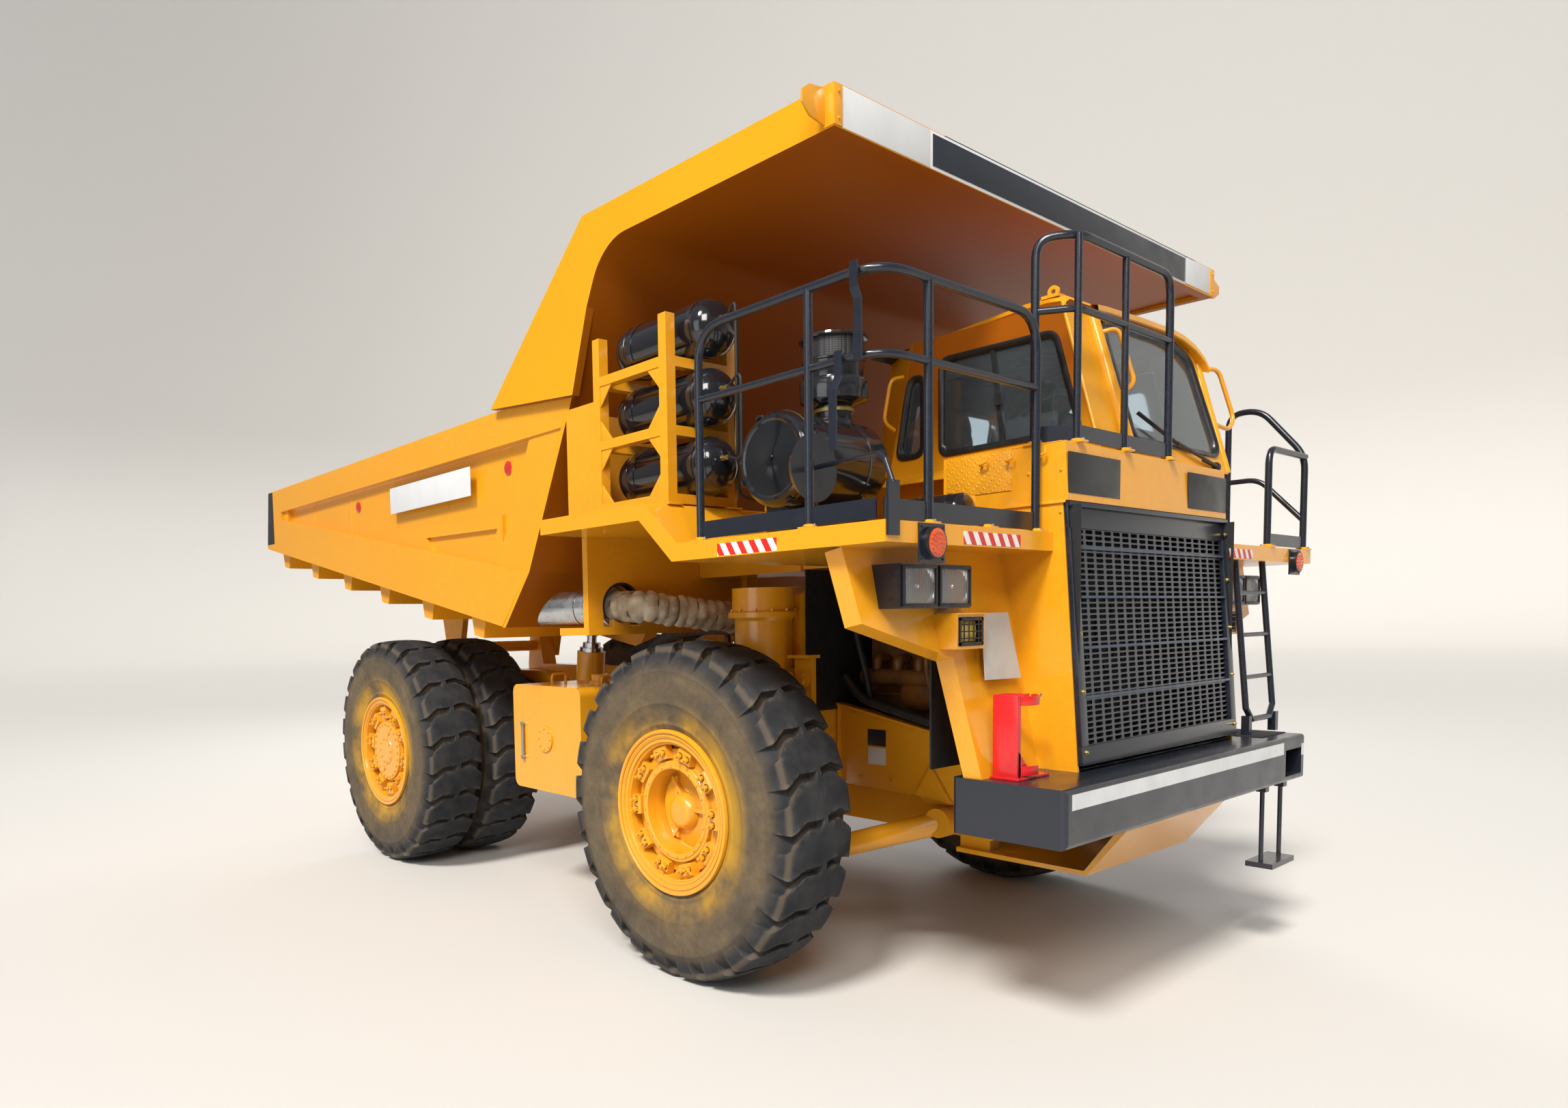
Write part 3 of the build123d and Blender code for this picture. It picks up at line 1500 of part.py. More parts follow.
def front_wall_line(offset):
    """Foot, knee, bend start, bend middle and bend end of the front wall's (x, z) line."""
    low_lean = atan2(front_wall_knee_x - bed_front_x, front_wall_knee_z - bed_front_bottom_z)
    lean = atan2(front_wall_top_x - front_wall_knee_x, front_wall_top_z - front_wall_knee_z)
    roof = canopy_inner_z
    radius = canopy_bend
    centre_z = roof - radius
    centre_x = wall_x(centre_z + radius * sin(lean)) + radius * cos(lean)
    middle = lean + (pi / 2 - lean) / 2
    reach = radius + offset
    start = (centre_x - reach * cos(lean), centre_z + reach * sin(lean))
    bend = (centre_x - reach * cos(middle), centre_z + reach * sin(middle))
    foot = (bed_front_x - offset / cos(low_lean), bed_front_bottom_z)
    half = (low_lean - lean) / 2
    turn = low_lean - half
    knee = (
        front_wall_knee_x - offset * cos(turn) / cos(half),
        front_wall_knee_z + offset * sin(turn) / cos(half),
    )
    return foot, knee, start, bend, (centre_x, centre_z + reach)


def front_wall_side():
    """The space in front of the wall's inner face, down to the ground."""
    foot, knee = front_wall_line(wall_thickness)[:2]
    slope = (knee[0] - foot[0]) / (knee[1] - foot[1])
    ground = (foot[0] - foot[1] * slope, 0)
    return side_prism(
        [ground, knee, (front_wall_top_x, knee[1]), (front_wall_top_x, 0)], -bed_half_width, bed_half_width
    )


def make_bed_front():
    """Front wall bent over into the canopy, with a lip box and side plates."""
    low, high = front_wall_line(0), front_wall_line(wall_thickness)
    y = -bed_half_width
    lip_x, roof = canopy_lip_x, canopy_inner_z

    def at(point):
        return (point[0], y, point[1])

    edge = [
        Polyline(*[at(p) for p in low[:3]]),
        ThreePointArc(*[at(p) for p in low[2:]]),
        Polyline(at(low[4]), (lip_x, y, roof), (lip_x, y, roof + wall_thickness), at(high[4])),
        ThreePointArc(*[at(p) for p in reversed(high[2:])]),
        Polyline(at(high[2]), at(high[1]), at(high[0]), at(low[0])),
    ]
    sheet = extrude(make_face(edge), 2 * bed_half_width, dir=(0, 1, 0))
    inner = bed_half_width - bed_panel_setback - bed_side_wall
    for s in (-1, 1):
        above_wall = block((0, wall_x(bed_top_z) + 10), (s * inner, s * 2 * inner), (0, bed_top_z))
        sheet -= above_wall - bed_front_lap()
    sheet += block((lip_x - 60, lip_x), (y, -y), (canopy_lip_top_z - canopy_lip_depth, canopy_lip_top_z))

    def out(x, z):
        return (x, -canopy_half_width, z)

    side = [
        Polyline(
            out(cheek_front_x, cheek_low_z),
            out(cheek_rear_x, cheek_rear_z + 25),
            out(canopy_corner_x, canopy_corner_z),
            out(lip_x, canopy_lip_top_z),
            out(lip_x, canopy_lip_top_z - canopy_lip_depth),
            out(lip_x - 60, canopy_lip_top_z - canopy_lip_depth),
            out(*low[4]),
        ),
        ThreePointArc(out(*low[4]), out(*low[3]), out(*low[2])),
        Polyline(out(*low[2]), out(front_wall_top_x, front_wall_top_z), out(cheek_front_x, cheek_low_z)),
    ]
    cheek = extrude(make_face(side), canopy_half_width - bed_half_width, dir=(0, 1, 0))
    save_solids("bed_front", (sheet + [cheek, other_side(cheek)]).solids())


def bed_front_lap():
    """The strip of front wall that covers the ends of both sides."""
    outline = [
        (x, z) for x, z in ((bed_front_x, bed_front_bottom_z), (front_wall_knee_x, front_wall_knee_z))
    ]
    top = (wall_x(bed_top_z), bed_top_z)
    back = [(x - bed_wall_lap, z) for x, z in (top, outline[1], outline[0])]
    return side_prism(outline + [top] + back, -bed_half_width, bed_half_width)


# ================================================================ hoist cylinders
def hoist_place(side):
    """Local frame at the barrel's foot pin with Z along the cylinder."""
    lean = degrees(atan2(hoist_head_x - hoist_foot_x, hoist_head_z - hoist_foot_z))
    return Pos(hoist_foot_x, side * hoist_y, hoist_foot_z) * Rot(0, lean, 0)


def make_hoists():
    """Two three-stage cylinders: barrel, middle stage and rod with its eye."""
    length = hypot(hoist_head_x - hoist_foot_x, hoist_head_z - hoist_foot_z)
    eye = Rot(90, 0, 0) * Cylinder(hoist_eye_radius, hoist_eye_width)
    bore = Rot(90, 0, 0) * Cylinder(hoist_pin_radius + running_gap, 2 * hoist_eye_width)
    top = length - hoist_eye_radius - 60
    low = hoist_eye_radius + 60

    def tube(start, end, radius):
        return Pos(0, 0, (start + end) / 2) * Cylinder(radius, end - start)

    for name, side in (("right", -1), ("left", 1)):
        place = hoist_place(side)
        barrel = tube(hoist_eye_radius - 20, top - 60, barrel_radius)
        barrel -= tube(low, length, stage_one_radius + running_gap)
        save(f"hoist_barrel_{name}", place * (barrel + eye - bore))
        stage = tube(low + 5, top - 30, stage_one_radius)
        stage -= tube(low + 25, length, stage_two_radius + running_gap)
        save(f"hoist_stage_{name}", place * stage)
        inner_rod = tube(low + 30, length - 130, stage_two_radius)
        inner_rod += tube(length - 140, length - 40, hoist_pin_radius)
        inner_rod += Pos(0, 0, length) * (eye - bore)
        save(f"hoist_rod_{name}", place * inner_rod)


def main():
    os.makedirs("parts", exist_ok=True)
    make_wheels()
    make_knuckle("right", -1)
    make_knuckle("left", 1)
    make_tie_rod()
    make_suspension_struts()
    make_lower_arms()
    make_frame()
    make_rear_axle()
    make_drive()
    make_bumper()
    make_skid_guard()
    make_access_steps()
    make_grille()
    make_nose()
    make_fenders()
    make_lamps()
    make_decks()
    make_handrail_right()
    make_handrail_front()
    make_handrail_left()
    make_deck_equipment()
    make_tank_rack()
    make_exhaust()
    make_side_tanks()
    make_cab()
    make_door()
    make_cab_inside()
    make_bed_floor()
    make_bed_sides()
    make_bed_front()
    make_hoists()


main()
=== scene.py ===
from math import atan2, cos, pi, radians, sin, sqrt

import bmesh
import bpy
from mathutils import Matrix, Vector


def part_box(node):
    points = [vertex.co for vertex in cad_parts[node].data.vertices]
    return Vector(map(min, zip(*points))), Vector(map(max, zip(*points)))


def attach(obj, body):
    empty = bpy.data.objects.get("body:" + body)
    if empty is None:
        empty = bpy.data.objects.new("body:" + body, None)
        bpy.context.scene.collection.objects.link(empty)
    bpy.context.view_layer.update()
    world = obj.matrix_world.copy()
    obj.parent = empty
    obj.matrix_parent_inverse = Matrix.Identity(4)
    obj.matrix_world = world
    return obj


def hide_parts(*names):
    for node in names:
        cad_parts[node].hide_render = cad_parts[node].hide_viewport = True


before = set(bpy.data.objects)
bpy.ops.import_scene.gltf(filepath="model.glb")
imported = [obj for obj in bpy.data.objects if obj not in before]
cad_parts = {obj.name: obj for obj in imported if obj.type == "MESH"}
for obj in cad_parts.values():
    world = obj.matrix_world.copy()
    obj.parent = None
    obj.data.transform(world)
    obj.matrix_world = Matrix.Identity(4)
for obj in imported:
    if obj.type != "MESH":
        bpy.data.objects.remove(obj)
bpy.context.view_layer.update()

bl_info = {
    "name": "Mining Dump Truck Dressing",
    "version": (1, 0, 0),
    "blender": (4, 5, 0),
    "location": "View3D > Sidebar > Dump Truck",
    "description": "Dresses the solid model of a mining dump truck with its finishes and fine parts",
    "category": "Object",
}

# Places, lengths in metres and tape colours shared by several operators
AXLE_Z = (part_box("rim_front_right")[0][2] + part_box("rim_front_right")[1][2]) / 2
FRONT_X = (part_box("rim_front_right")[0][0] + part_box("rim_front_right")[1][0]) / 2
REAR_X = (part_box("rim_rear_right")[0][0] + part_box("rim_rear_right")[1][0]) / 2
SIDES = (("right", -1), ("left", 1))
SHARP_ANGLE = radians(40)
DUST_TOP = 1.7
DECK_TOP = 2.34
RACK_FLOOR = 2.56
RACK_POSTS_X = (1.784, 2.355)
RACK_LEVELS = (0.06, 0.405, 0.75)
TAPE_COLOURS = ((0.6, 0.012, 0.012), (0.74, 0.73, 0.7))
TAPE_PITCH = 0.074
TAPE_SLOPE = 0.6


# ------------------------------------------------------------------ settings
class TruckPaintSettings(bpy.types.PropertyGroup):
    """Colours of the large painted surfaces"""

    body: bpy.props.FloatVectorProperty(
        name="Body Paint",
        description="Golden yellow of the bed, cab, decks and frame",
        subtype="COLOR",
        size=3,
        min=0,
        max=1,
        default=(0.72, 0.312, 0.01),
    )
    dark: bpy.props.FloatVectorProperty(
        name="Dark Paint",
        description="Blue-black of the rails, grille, bumper and tanks",
        subtype="COLOR",
        size=3,
        min=0,
        max=1,
        default=(0.01, 0.013, 0.022),
    )
    dust: bpy.props.FloatProperty(
        name="Dust",
        description="Share of the low surfaces that pale dust covers",
        subtype="FACTOR",
        min=0,
        max=1,
        default=0.12,
    )


class TruckTyreSettings(bpy.types.PropertyGroup):
    """Tread of the six tyres"""

    lugs: bpy.props.IntProperty(
        name="Lugs",
        description="Tread blocks round each tyre",
        min=12,
        max=40,
        default=25,
    )
    depth: bpy.props.FloatProperty(
        name="Groove Depth",
        description="Depth of the grooves between the tread blocks",
        subtype="DISTANCE",
        unit="LENGTH",
        min=0.01,
        max=0.08,
        default=0.044,
    )


class TruckFrontSettings(bpy.types.PropertyGroup):
    """Grille and guard rails"""

    columns: bpy.props.IntProperty(
        name="Grille Columns",
        description="Slots across the radiator grille",
        min=6,
        max=30,
        default=18,
    )
    rows: bpy.props.IntProperty(
        name="Grille Rows",
        description="Slots up the radiator grille",
        min=10,
        max=60,
        default=38,
    )
    rail: bpy.props.FloatProperty(
        name="Rail Radius",
        description="Radius of the guard rail tubes",
        subtype="DISTANCE",
        unit="LENGTH",
        min=0.01,
        max=0.03,
        default=0.0195,
    )


# ------------------------------------------------------------------ mesh helpers
def finish_mesh(bm, name, smooth_angle, bevel=0.0):
    """Turn a bmesh into a mesh, smooth but for sharp edges, which may be rounded first."""
    bmesh.ops.recalc_face_normals(bm, faces=bm.faces)
    if bevel:
        sharp = [e for e in bm.edges if len(e.link_faces) == 2 and e.calc_face_angle(0) > SHARP_ANGLE]
        bmesh.ops.bevel(bm, geom=sharp, offset=bevel, segments=2, profile=0.6, affect="EDGES", clamp_overlap=True)
    mesh = bpy.data.meshes.new(name)
    bm.to_mesh(mesh)
    bm.free()
    mesh.shade_smooth()
    mesh.set_sharp_from_angle(angle=radians(smooth_angle))
    return mesh


def piece(name, bm, material, body="chassis", bevel=0.0, smooth_angle=35, location=(0, 0, 0)):
    """Finish a bmesh and put it into the scene as a piece that moves with a body."""
    mesh = finish_mesh(bm, name, smooth_angle, bevel)
    mesh.materials.append(material)
    obj = bpy.data.objects.new(name, mesh)
    obj.location = location
    bpy.context.scene.collection.objects.link(obj)
    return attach(obj, body)


def add_prism(bm, outline, direction, place=Matrix()):
    """Push a closed outline of 3-D points along a direction."""
    base = [bm.verts.new(place @ Vector(p)) for p in outline]
    top = [bm.verts.new(place @ (Vector(p) + Vector(direction))) for p in outline]
    bm.faces.new(base[::-1])
    bm.faces.new(top)
    count = len(outline)
    for i in range(count):
        j = (i + 1) % count
        bm.faces.new((base[i], base[j], top[j], top[i]))


def add_box(bm, low, high, place=Matrix()):
    corners = [(x, y, z) for x in (low[0], high[0]) for y in (low[1], high[1]) for z in (low[2], high[2])]
    verts = [bm.verts.new(place @ Vector(c)) for c in corners]
    for a, b, c, d in ((0, 1, 3, 2), (4, 6, 7, 5), (0, 4, 5, 1), (2, 3, 7, 6), (0, 2, 6, 4), (1, 5, 7, 3)):
        bm.faces.new((verts[a], verts[b], verts[c], verts[d]))


def add_lathe(bm, profile, place, steps, closed=False):
    """Turn (along, radius) points about the local X axis of a place matrix."""
    rings = []
    for along, radius in profile:
        if radius < 1e-6:
            rings.append([bm.verts.new(place @ Vector((along, 0, 0)))])
            continue
        ring = []
        for i in range(steps):
            a = 2 * pi * i / steps
            ring.append(bm.verts.new(place @ Vector((along, radius * cos(a), radius * sin(a)))))
        rings.append(ring)
    pairs = list(zip(rings, rings[1:]))
    if closed:
        pairs.append((rings[-1], rings[0]))
    for first, second in pairs:
        for i in range(steps):
            j = (i + 1) % steps
            loop = [first[i % len(first)], first[j % len(first)], second[j % len(second)], second[i % len(second)]]
            corners = []
            for vert in loop:
                if vert not in corners:
                    corners.append(vert)
            if len(corners) > 2:
                bm.faces.new(corners)


def along(start, end):
    """A place whose local X axis runs from start towards end."""
    a, b = Vector(start), Vector(end)
    return Matrix.Translation(a) @ (b - a).to_track_quat("X", "Z").to_matrix().to_4x4()


def add_bar(bm, start, end, radius, steps=16):
    length = (Vector(end) - Vector(start)).length
    add_lathe(bm, ((0, 0), (0, radius), (length, radius), (length, 0)), along(start, end), steps)


def add_bolt(bm, point, normal, size, height):
    """A hexagon head on a washer."""
    place = along(point, Vector(point) + Vector(normal))
    add_lathe(bm, ((0, size * 0.85), (height * 0.25, size * 0.85), (height * 0.25, 0)), place, 20)
    add_lathe(bm, ((height * 0.25, size * 0.58), (height, size * 0.58), (height, 0)), place, 6)


def around(count, radius, shift=0.0):
    """Cosine and sine parts of evenly spaced points on a circle."""
    for k in range(count):
        a = 2 * pi * (k + shift) / count
        yield radius * cos(a), radius * sin(a)


def smooth_path(points, bend, steps=6):
    """Points of a path whose corners are rounded to a bend radius."""
    path = [Vector(p) for p in points]
    result = [path[0]]
    for before, corner, after in zip(path, path[1:], path[2:]):
        into, out = (before - corner), (after - corner)
        reach = min(bend, into.length * 0.49, out.length * 0.49)
        first, last = corner + into.normalized() * reach, corner + out.normalized() * reach
        for i in range(steps + 1):
            t = i / steps
            result.append(first * (1 - t) ** 2 + corner * 2 * t * (1 - t) + last * t**2)
    result.append(path[-1])
    return result


def add_tube(bm, points, radius, bend=0.05, steps=12):
    """A round tube with closed ends along a path with rounded corners."""
    path = smooth_path(points, bend) if len(points) > 2 else [Vector(p) for p in points]
    tangent = (path[1] - path[0]).normalized()
    side = tangent.orthogonal().normalized()
    rings = []
    for i, point in enumerate(path):
        before = path[max(i - 1, 0)]
        after = path[min(i + 1, len(path) - 1)]
        direction = (after - before).normalized()
        side = (side - direction * side.dot(direction)).normalized()
        up = direction.cross(side)
        ring = []
        for k in range(steps):
            a = 2 * pi * k / steps
            ring.append(bm.verts.new(point + side * radius * cos(a) + up * radius * sin(a)))
        rings.append(ring)
    for first, second in zip(rings, rings[1:]):
        for k in range(steps):
            n = (k + 1) % steps
            bm.faces.new((first[k], first[n], second[n], second[k]))
    bm.faces.new(rings[0][::-1])
    bm.faces.new(rings[-1])


def add_grid(bm, rows, wrap=False, place=Matrix()):
    """Faces between neighbouring rows of points; wrap joins the last row to the first."""
    grid = [[bm.verts.new(place @ point) for point in row] for row in rows]
    pairs = list(zip(grid, grid[1:]))
    if wrap:
        pairs.append((grid[-1], grid[0]))
    for first, second in pairs:
        for a, b, c, d in zip(first, first[1:], second[1:], second):
            bm.faces.new((a, b, c, d))


def add_band(bm, start, span, steps, section):
    """A band that turns through a span in degrees; section gives its row of points at an angle."""
    add_grid(bm, [section(radians(start + span * k / steps)) for k in range(steps + 1)])


def add_dish(bm, steps, point):
    """A square surface of points given by shares from -1 to 1 across and up it."""
    shares = [-1 + 2 * k / steps for k in range(steps + 1)]
    add_grid(bm, [[point(u, v) for v in shares] for u in shares])


# ------------------------------------------------------------------ shader effects
def new_group(name, inputs, outputs):
    group = bpy.data.node_groups.new(name, "ShaderNodeTree")
    for label, kind, default in inputs:
        socket = group.interface.new_socket(label, in_out="INPUT", socket_type=kind)
        socket.default_value = default
    for label, kind in outputs:
        group.interface.new_socket(label, in_out="OUTPUT", socket_type=kind)
    return group, group.nodes.new("NodeGroupInput"), group.nodes.new("NodeGroupOutput")


def noise(tree, scale, detail, rough, vector):
    node = tree.nodes.new("ShaderNodeTexNoise")
    node.inputs["Scale"].default_value = scale
    node.inputs["Detail"].default_value = detail
    node.inputs["Roughness"].default_value = rough
    tree.links.new(vector, node.inputs["Vector"])
    return node.outputs["Fac"]


def ramp(tree, value, low, high):
    node = tree.nodes.new("ShaderNodeMapRange")
    node.interpolation_type = "SMOOTHSTEP"
    node.inputs["From Min"].default_value = low
    node.inputs["From Max"].default_value = high
    tree.links.new(value, node.inputs["Value"])
    return node.outputs["Result"]


def math_node(tree, operation, a, b=0.5):
    node = tree.nodes.new("ShaderNodeMath")
    node.operation = operation
    for i, value in enumerate((a, b)):
        if isinstance(value, (int, float)):
            node.inputs[i].default_value = value
        else:
            tree.links.new(value, node.inputs[i])
    return node.outputs[0]


def times(tree, a, b):
    return math_node(tree, "MULTIPLY", a, b)


def plus(tree, a, b):
    return math_node(tree, "ADD", a, b)


def object_coords(tree):
    return tree.nodes.new("ShaderNodeTexCoord").outputs["Object"]


def split_axes(tree, vector):
    split = tree.nodes.new("ShaderNodeSeparateXYZ")
    tree.links.new(vector, split.inputs[0])
    return split.outputs


def object_split(tree):
    """The object's own coordinates, whole and split."""
    coords = object_coords(tree)
    return coords, split_axes(tree, coords)


def normal_axes(tree):
    """The surface's own direction, split."""
    return split_axes(tree, tree.nodes.new("ShaderNodeNewGeometry").outputs["Normal"])


def mix_colour(tree, factor, a, b, blend="MIX"):
    node = tree.nodes.new("ShaderNodeMix")
    node.data_type = "RGBA"
    node.blend_type = blend
    for value, index in ((factor, 0), (a, 6), (b, 7)):
        if isinstance(value, (int, float)):
            node.inputs[index].default_value = value
        elif isinstance(value, (tuple, list)):
            node.inputs[index].default_value = (*value, 1)
        else:
            tree.links.new(value, node.inputs[index])
    return node.outputs[2]


def dust_group():
    """Pale dust that lies on level faces and gathers low on the truck."""
    group, given, out = new_group(
        "Settled Dust",
        (
            ("Color", "NodeSocketColor", (0.5, 0.5, 0.5, 1)), ("Amount", "NodeSocketFloat", 0.3),
            ("Top", "NodeSocketFloat", 1.6),
        ),
        (("Color", "NodeSocketColor"), ("Mask", "NodeSocketFloat")),
    )
    coords = object_coords(group)
    upward = ramp(group, normal_axes(group)["Z"], 0.35, 0.95)
    height = math_node(group, "DIVIDE", split_axes(group, coords)["Z"], given.outputs["Top"])
    lowness = math_node(group, "SUBTRACT", 1.0, height)
    lowness = math_node(group, "MAXIMUM", lowness, 0.0)
    patches = ramp(group, noise(group, 3.5, 6, 0.65, coords), 0.38, 0.68)
    fine = ramp(group, noise(group, 60, 3, 0.6, coords), 0.3, 0.7)
    spread = plus(group, times(group, upward, 0.7), lowness)
    spread = times(group, spread, patches)
    spread = times(group, spread, plus(group, times(group, fine, 0.5), 0.5))
    mask = times(group, spread, given.outputs["Amount"])
    mask = math_node(group, "MINIMUM", mask, 0.85)
    colour = mix_colour(group, mask, given.outputs["Color"], (0.33, 0.25, 0.16))
    group.links.new(colour, out.inputs["Color"])
    group.links.new(mask, out.inputs["Mask"])
    return group


def shade_group():
    """Slow drift of a colour between two tints, with fine specks."""
    group, given, out = new_group(
        "Uneven Colour",
        (
            ("Color", "NodeSocketColor", (0.5, 0.5, 0.5, 1)),
            ("Tint", "NodeSocketColor", (0.4, 0.4, 0.4, 1)),
            ("Scale", "NodeSocketFloat", 2.0),
            ("Strength", "NodeSocketFloat", 0.5),
        ),
        (("Color", "NodeSocketColor"), ("Value", "NodeSocketFloat")),
    )
    coords = object_coords(group)
    node = group.nodes.new("ShaderNodeTexNoise")
    node.inputs["Detail"].default_value = 5
    group.links.new(coords, node.inputs["Vector"])
    group.links.new(given.outputs["Scale"], node.inputs["Scale"])
    value = ramp(group, node.outputs["Fac"], 0.3, 0.75)
    factor = times(group, value, given.outputs["Strength"])
    colour = mix_colour(group, factor, given.outputs["Color"], given.outputs["Tint"])
    group.links.new(colour, out.inputs["Color"])
    group.links.new(value, out.inputs["Value"])
    return group


def wear_group():
    """Edges rubbed lighter, from the curvature of the mesh broken by noise."""
    group, given, out = new_group(
        "Edge Wear",
        (
            ("Color", "NodeSocketColor", (0.5, 0.5, 0.5, 1)), ("Worn", "NodeSocketColor", (0.6, 0.6, 0.6, 1)),
            ("Amount", "NodeSocketFloat", 0.4),
        ),
        (("Color", "NodeSocketColor"), ("Mask", "NodeSocketFloat")),
    )
    geometry = group.nodes.new("ShaderNodeNewGeometry")
    coords = object_coords(group)
    edge = ramp(group, geometry.outputs["Pointiness"], 0.51, 0.56)
    broken = ramp(group, noise(group, 22, 5, 0.7, coords), 0.42, 0.62)
    mask = times(group, edge, broken)
    mask = times(group, mask, given.outputs["Amount"])
    colour = mix_colour(group, mask, given.outputs["Color"], given.outputs["Worn"])
    group.links.new(colour, out.inputs["Color"])
    group.links.new(mask, out.inputs["Mask"])
    return group


def effect(name):
    builders = {"Settled Dust": dust_group, "Uneven Colour": shade_group, "Edge Wear": wear_group}
    return bpy.data.node_groups.get(name) or builders[name]()


def place_effect(tree, name, **values):
    node = tree.nodes.new("ShaderNodeGroup")
    node.node_tree = effect(name)
    for label, value in values.items():
        socket = node.inputs[label]
        if isinstance(value, (int, float)):
            socket.default_value = value
        elif isinstance(value, (tuple, list)):
            socket.default_value = (*value, 1)
        else:
            tree.links.new(value, socket)
    return node.outputs


def start_material(name, roughness, metallic=0.0, coat=0.0, specular=0.5):
    material = bpy.data.materials.new(name)
    material.use_nodes = True
    tree = material.node_tree
    shader = tree.nodes["Principled BSDF"]
    shader.inputs["Roughness"].default_value = roughness
    shader.inputs["Metallic"].default_value = metallic
    shader.inputs["Coat Weight"].default_value = coat
    shader.inputs["Coat Roughness"].default_value = 0.12
    shader.inputs["Specular IOR Level"].default_value = specular
    return material, tree, shader


def built_once(name):
    """Keep the material that a function builds, and give it back at each later call."""

    def keep(build):
        def get():
            return bpy.data.materials.get(name) or build(name)

        return get

    return keep


def colour_from(tree, shader, output):
    tree.links.new(output, shader.inputs["Base Color"])


def add_bump(tree, shader, height, strength, distance):
    bump = tree.nodes.new("ShaderNodeBump")
    bump.inputs["Strength"].default_value = strength
    bump.inputs["Distance"].default_value = distance
    tree.links.new(height, bump.inputs["Height"])
    tree.links.new(bump.outputs["Normal"], shader.inputs["Normal"])


def rough_from(tree, shader, value, low, high):
    node = tree.nodes.new("ShaderNodeMapRange")
    node.inputs["To Min"].default_value = low
    node.inputs["To Max"].default_value = high
    tree.links.new(value, node.inputs["Value"])
    tree.links.new(node.outputs["Result"], shader.inputs["Roughness"])


def painted(name, colour, tint, worn, dust, roughness, wear, coat=0.35):
    """Sprayed enamel: slow tint drift, rubbed edges, dust, and slight orange peel."""
    if name in bpy.data.materials:
        return bpy.data.materials[name]
    material, tree, shader = start_material(name, roughness[0], coat=coat)
    drift = place_effect(tree, "Uneven Colour", Color=colour, Tint=tint, Scale=1.1, Strength=0.35)
    edges = place_effect(tree, "Edge Wear", Color=drift["Color"], Worn=worn, Amount=wear)
    dusted = place_effect(tree, "Settled Dust", Color=edges["Color"], Amount=dust, Top=DUST_TOP)
    colour_from(tree, shader, dusted["Color"])
    rough_from(tree, shader, dusted["Mask"], roughness[0], roughness[1])
    coords = object_coords(tree)
    add_bump(tree, shader, noise(tree, 260, 2, 0.5, coords), 0.05, 0.001)
    return material


def body_colour():
    return tuple(bpy.context.scene.truck_paint.body)


def yellow_paint():
    colour = body_colour()
    tint = (colour[0] * 0.94, colour[1] * 0.88, colour[2] * 0.8)
    worn = (min(1, colour[0] * 1.08), min(1, colour[1] * 1.15), colour[2] * 2)
    return painted("Golden Enamel", colour, tint, worn, bpy.context.scene.truck_paint.dust, (0.24, 0.5), 0.3)


def dark_paint():
    colour = tuple(bpy.context.scene.truck_paint.dark)
    tint = tuple(c * 1.25 for c in colour)
    return painted("Blue Black Enamel", colour, tint, (0.04, 0.045, 0.06), 0.08, (0.26, 0.45), 0.1, 0.2)


def plain(
    name, colour, roughness=0.5, metallic=0.0, tint=None, scale=18.0, strength=0.5, bump=0.12, coat=0.0, specular=0.5
):
    """A finish with a fine drift of colour and grain, for small parts."""
    if name in bpy.data.materials:
        return bpy.data.materials[name]
    material, tree, shader = start_material(name, roughness, metallic, coat, specular)
    tint = tint or tuple(c * 0.65 for c in colour)
    drift = place_effect(tree, "Uneven Colour", Color=colour, Tint=tint, Scale=scale, Strength=strength)
    colour_from(tree, shader, drift["Color"])
    rough_from(tree, shader, drift["Value"], roughness * 0.8, min(1, roughness * 1.25))
    coords = object_coords(tree)
    add_bump(tree, shader, noise(tree, 180, 3, 0.6, coords), bump, 0.001)
    return material


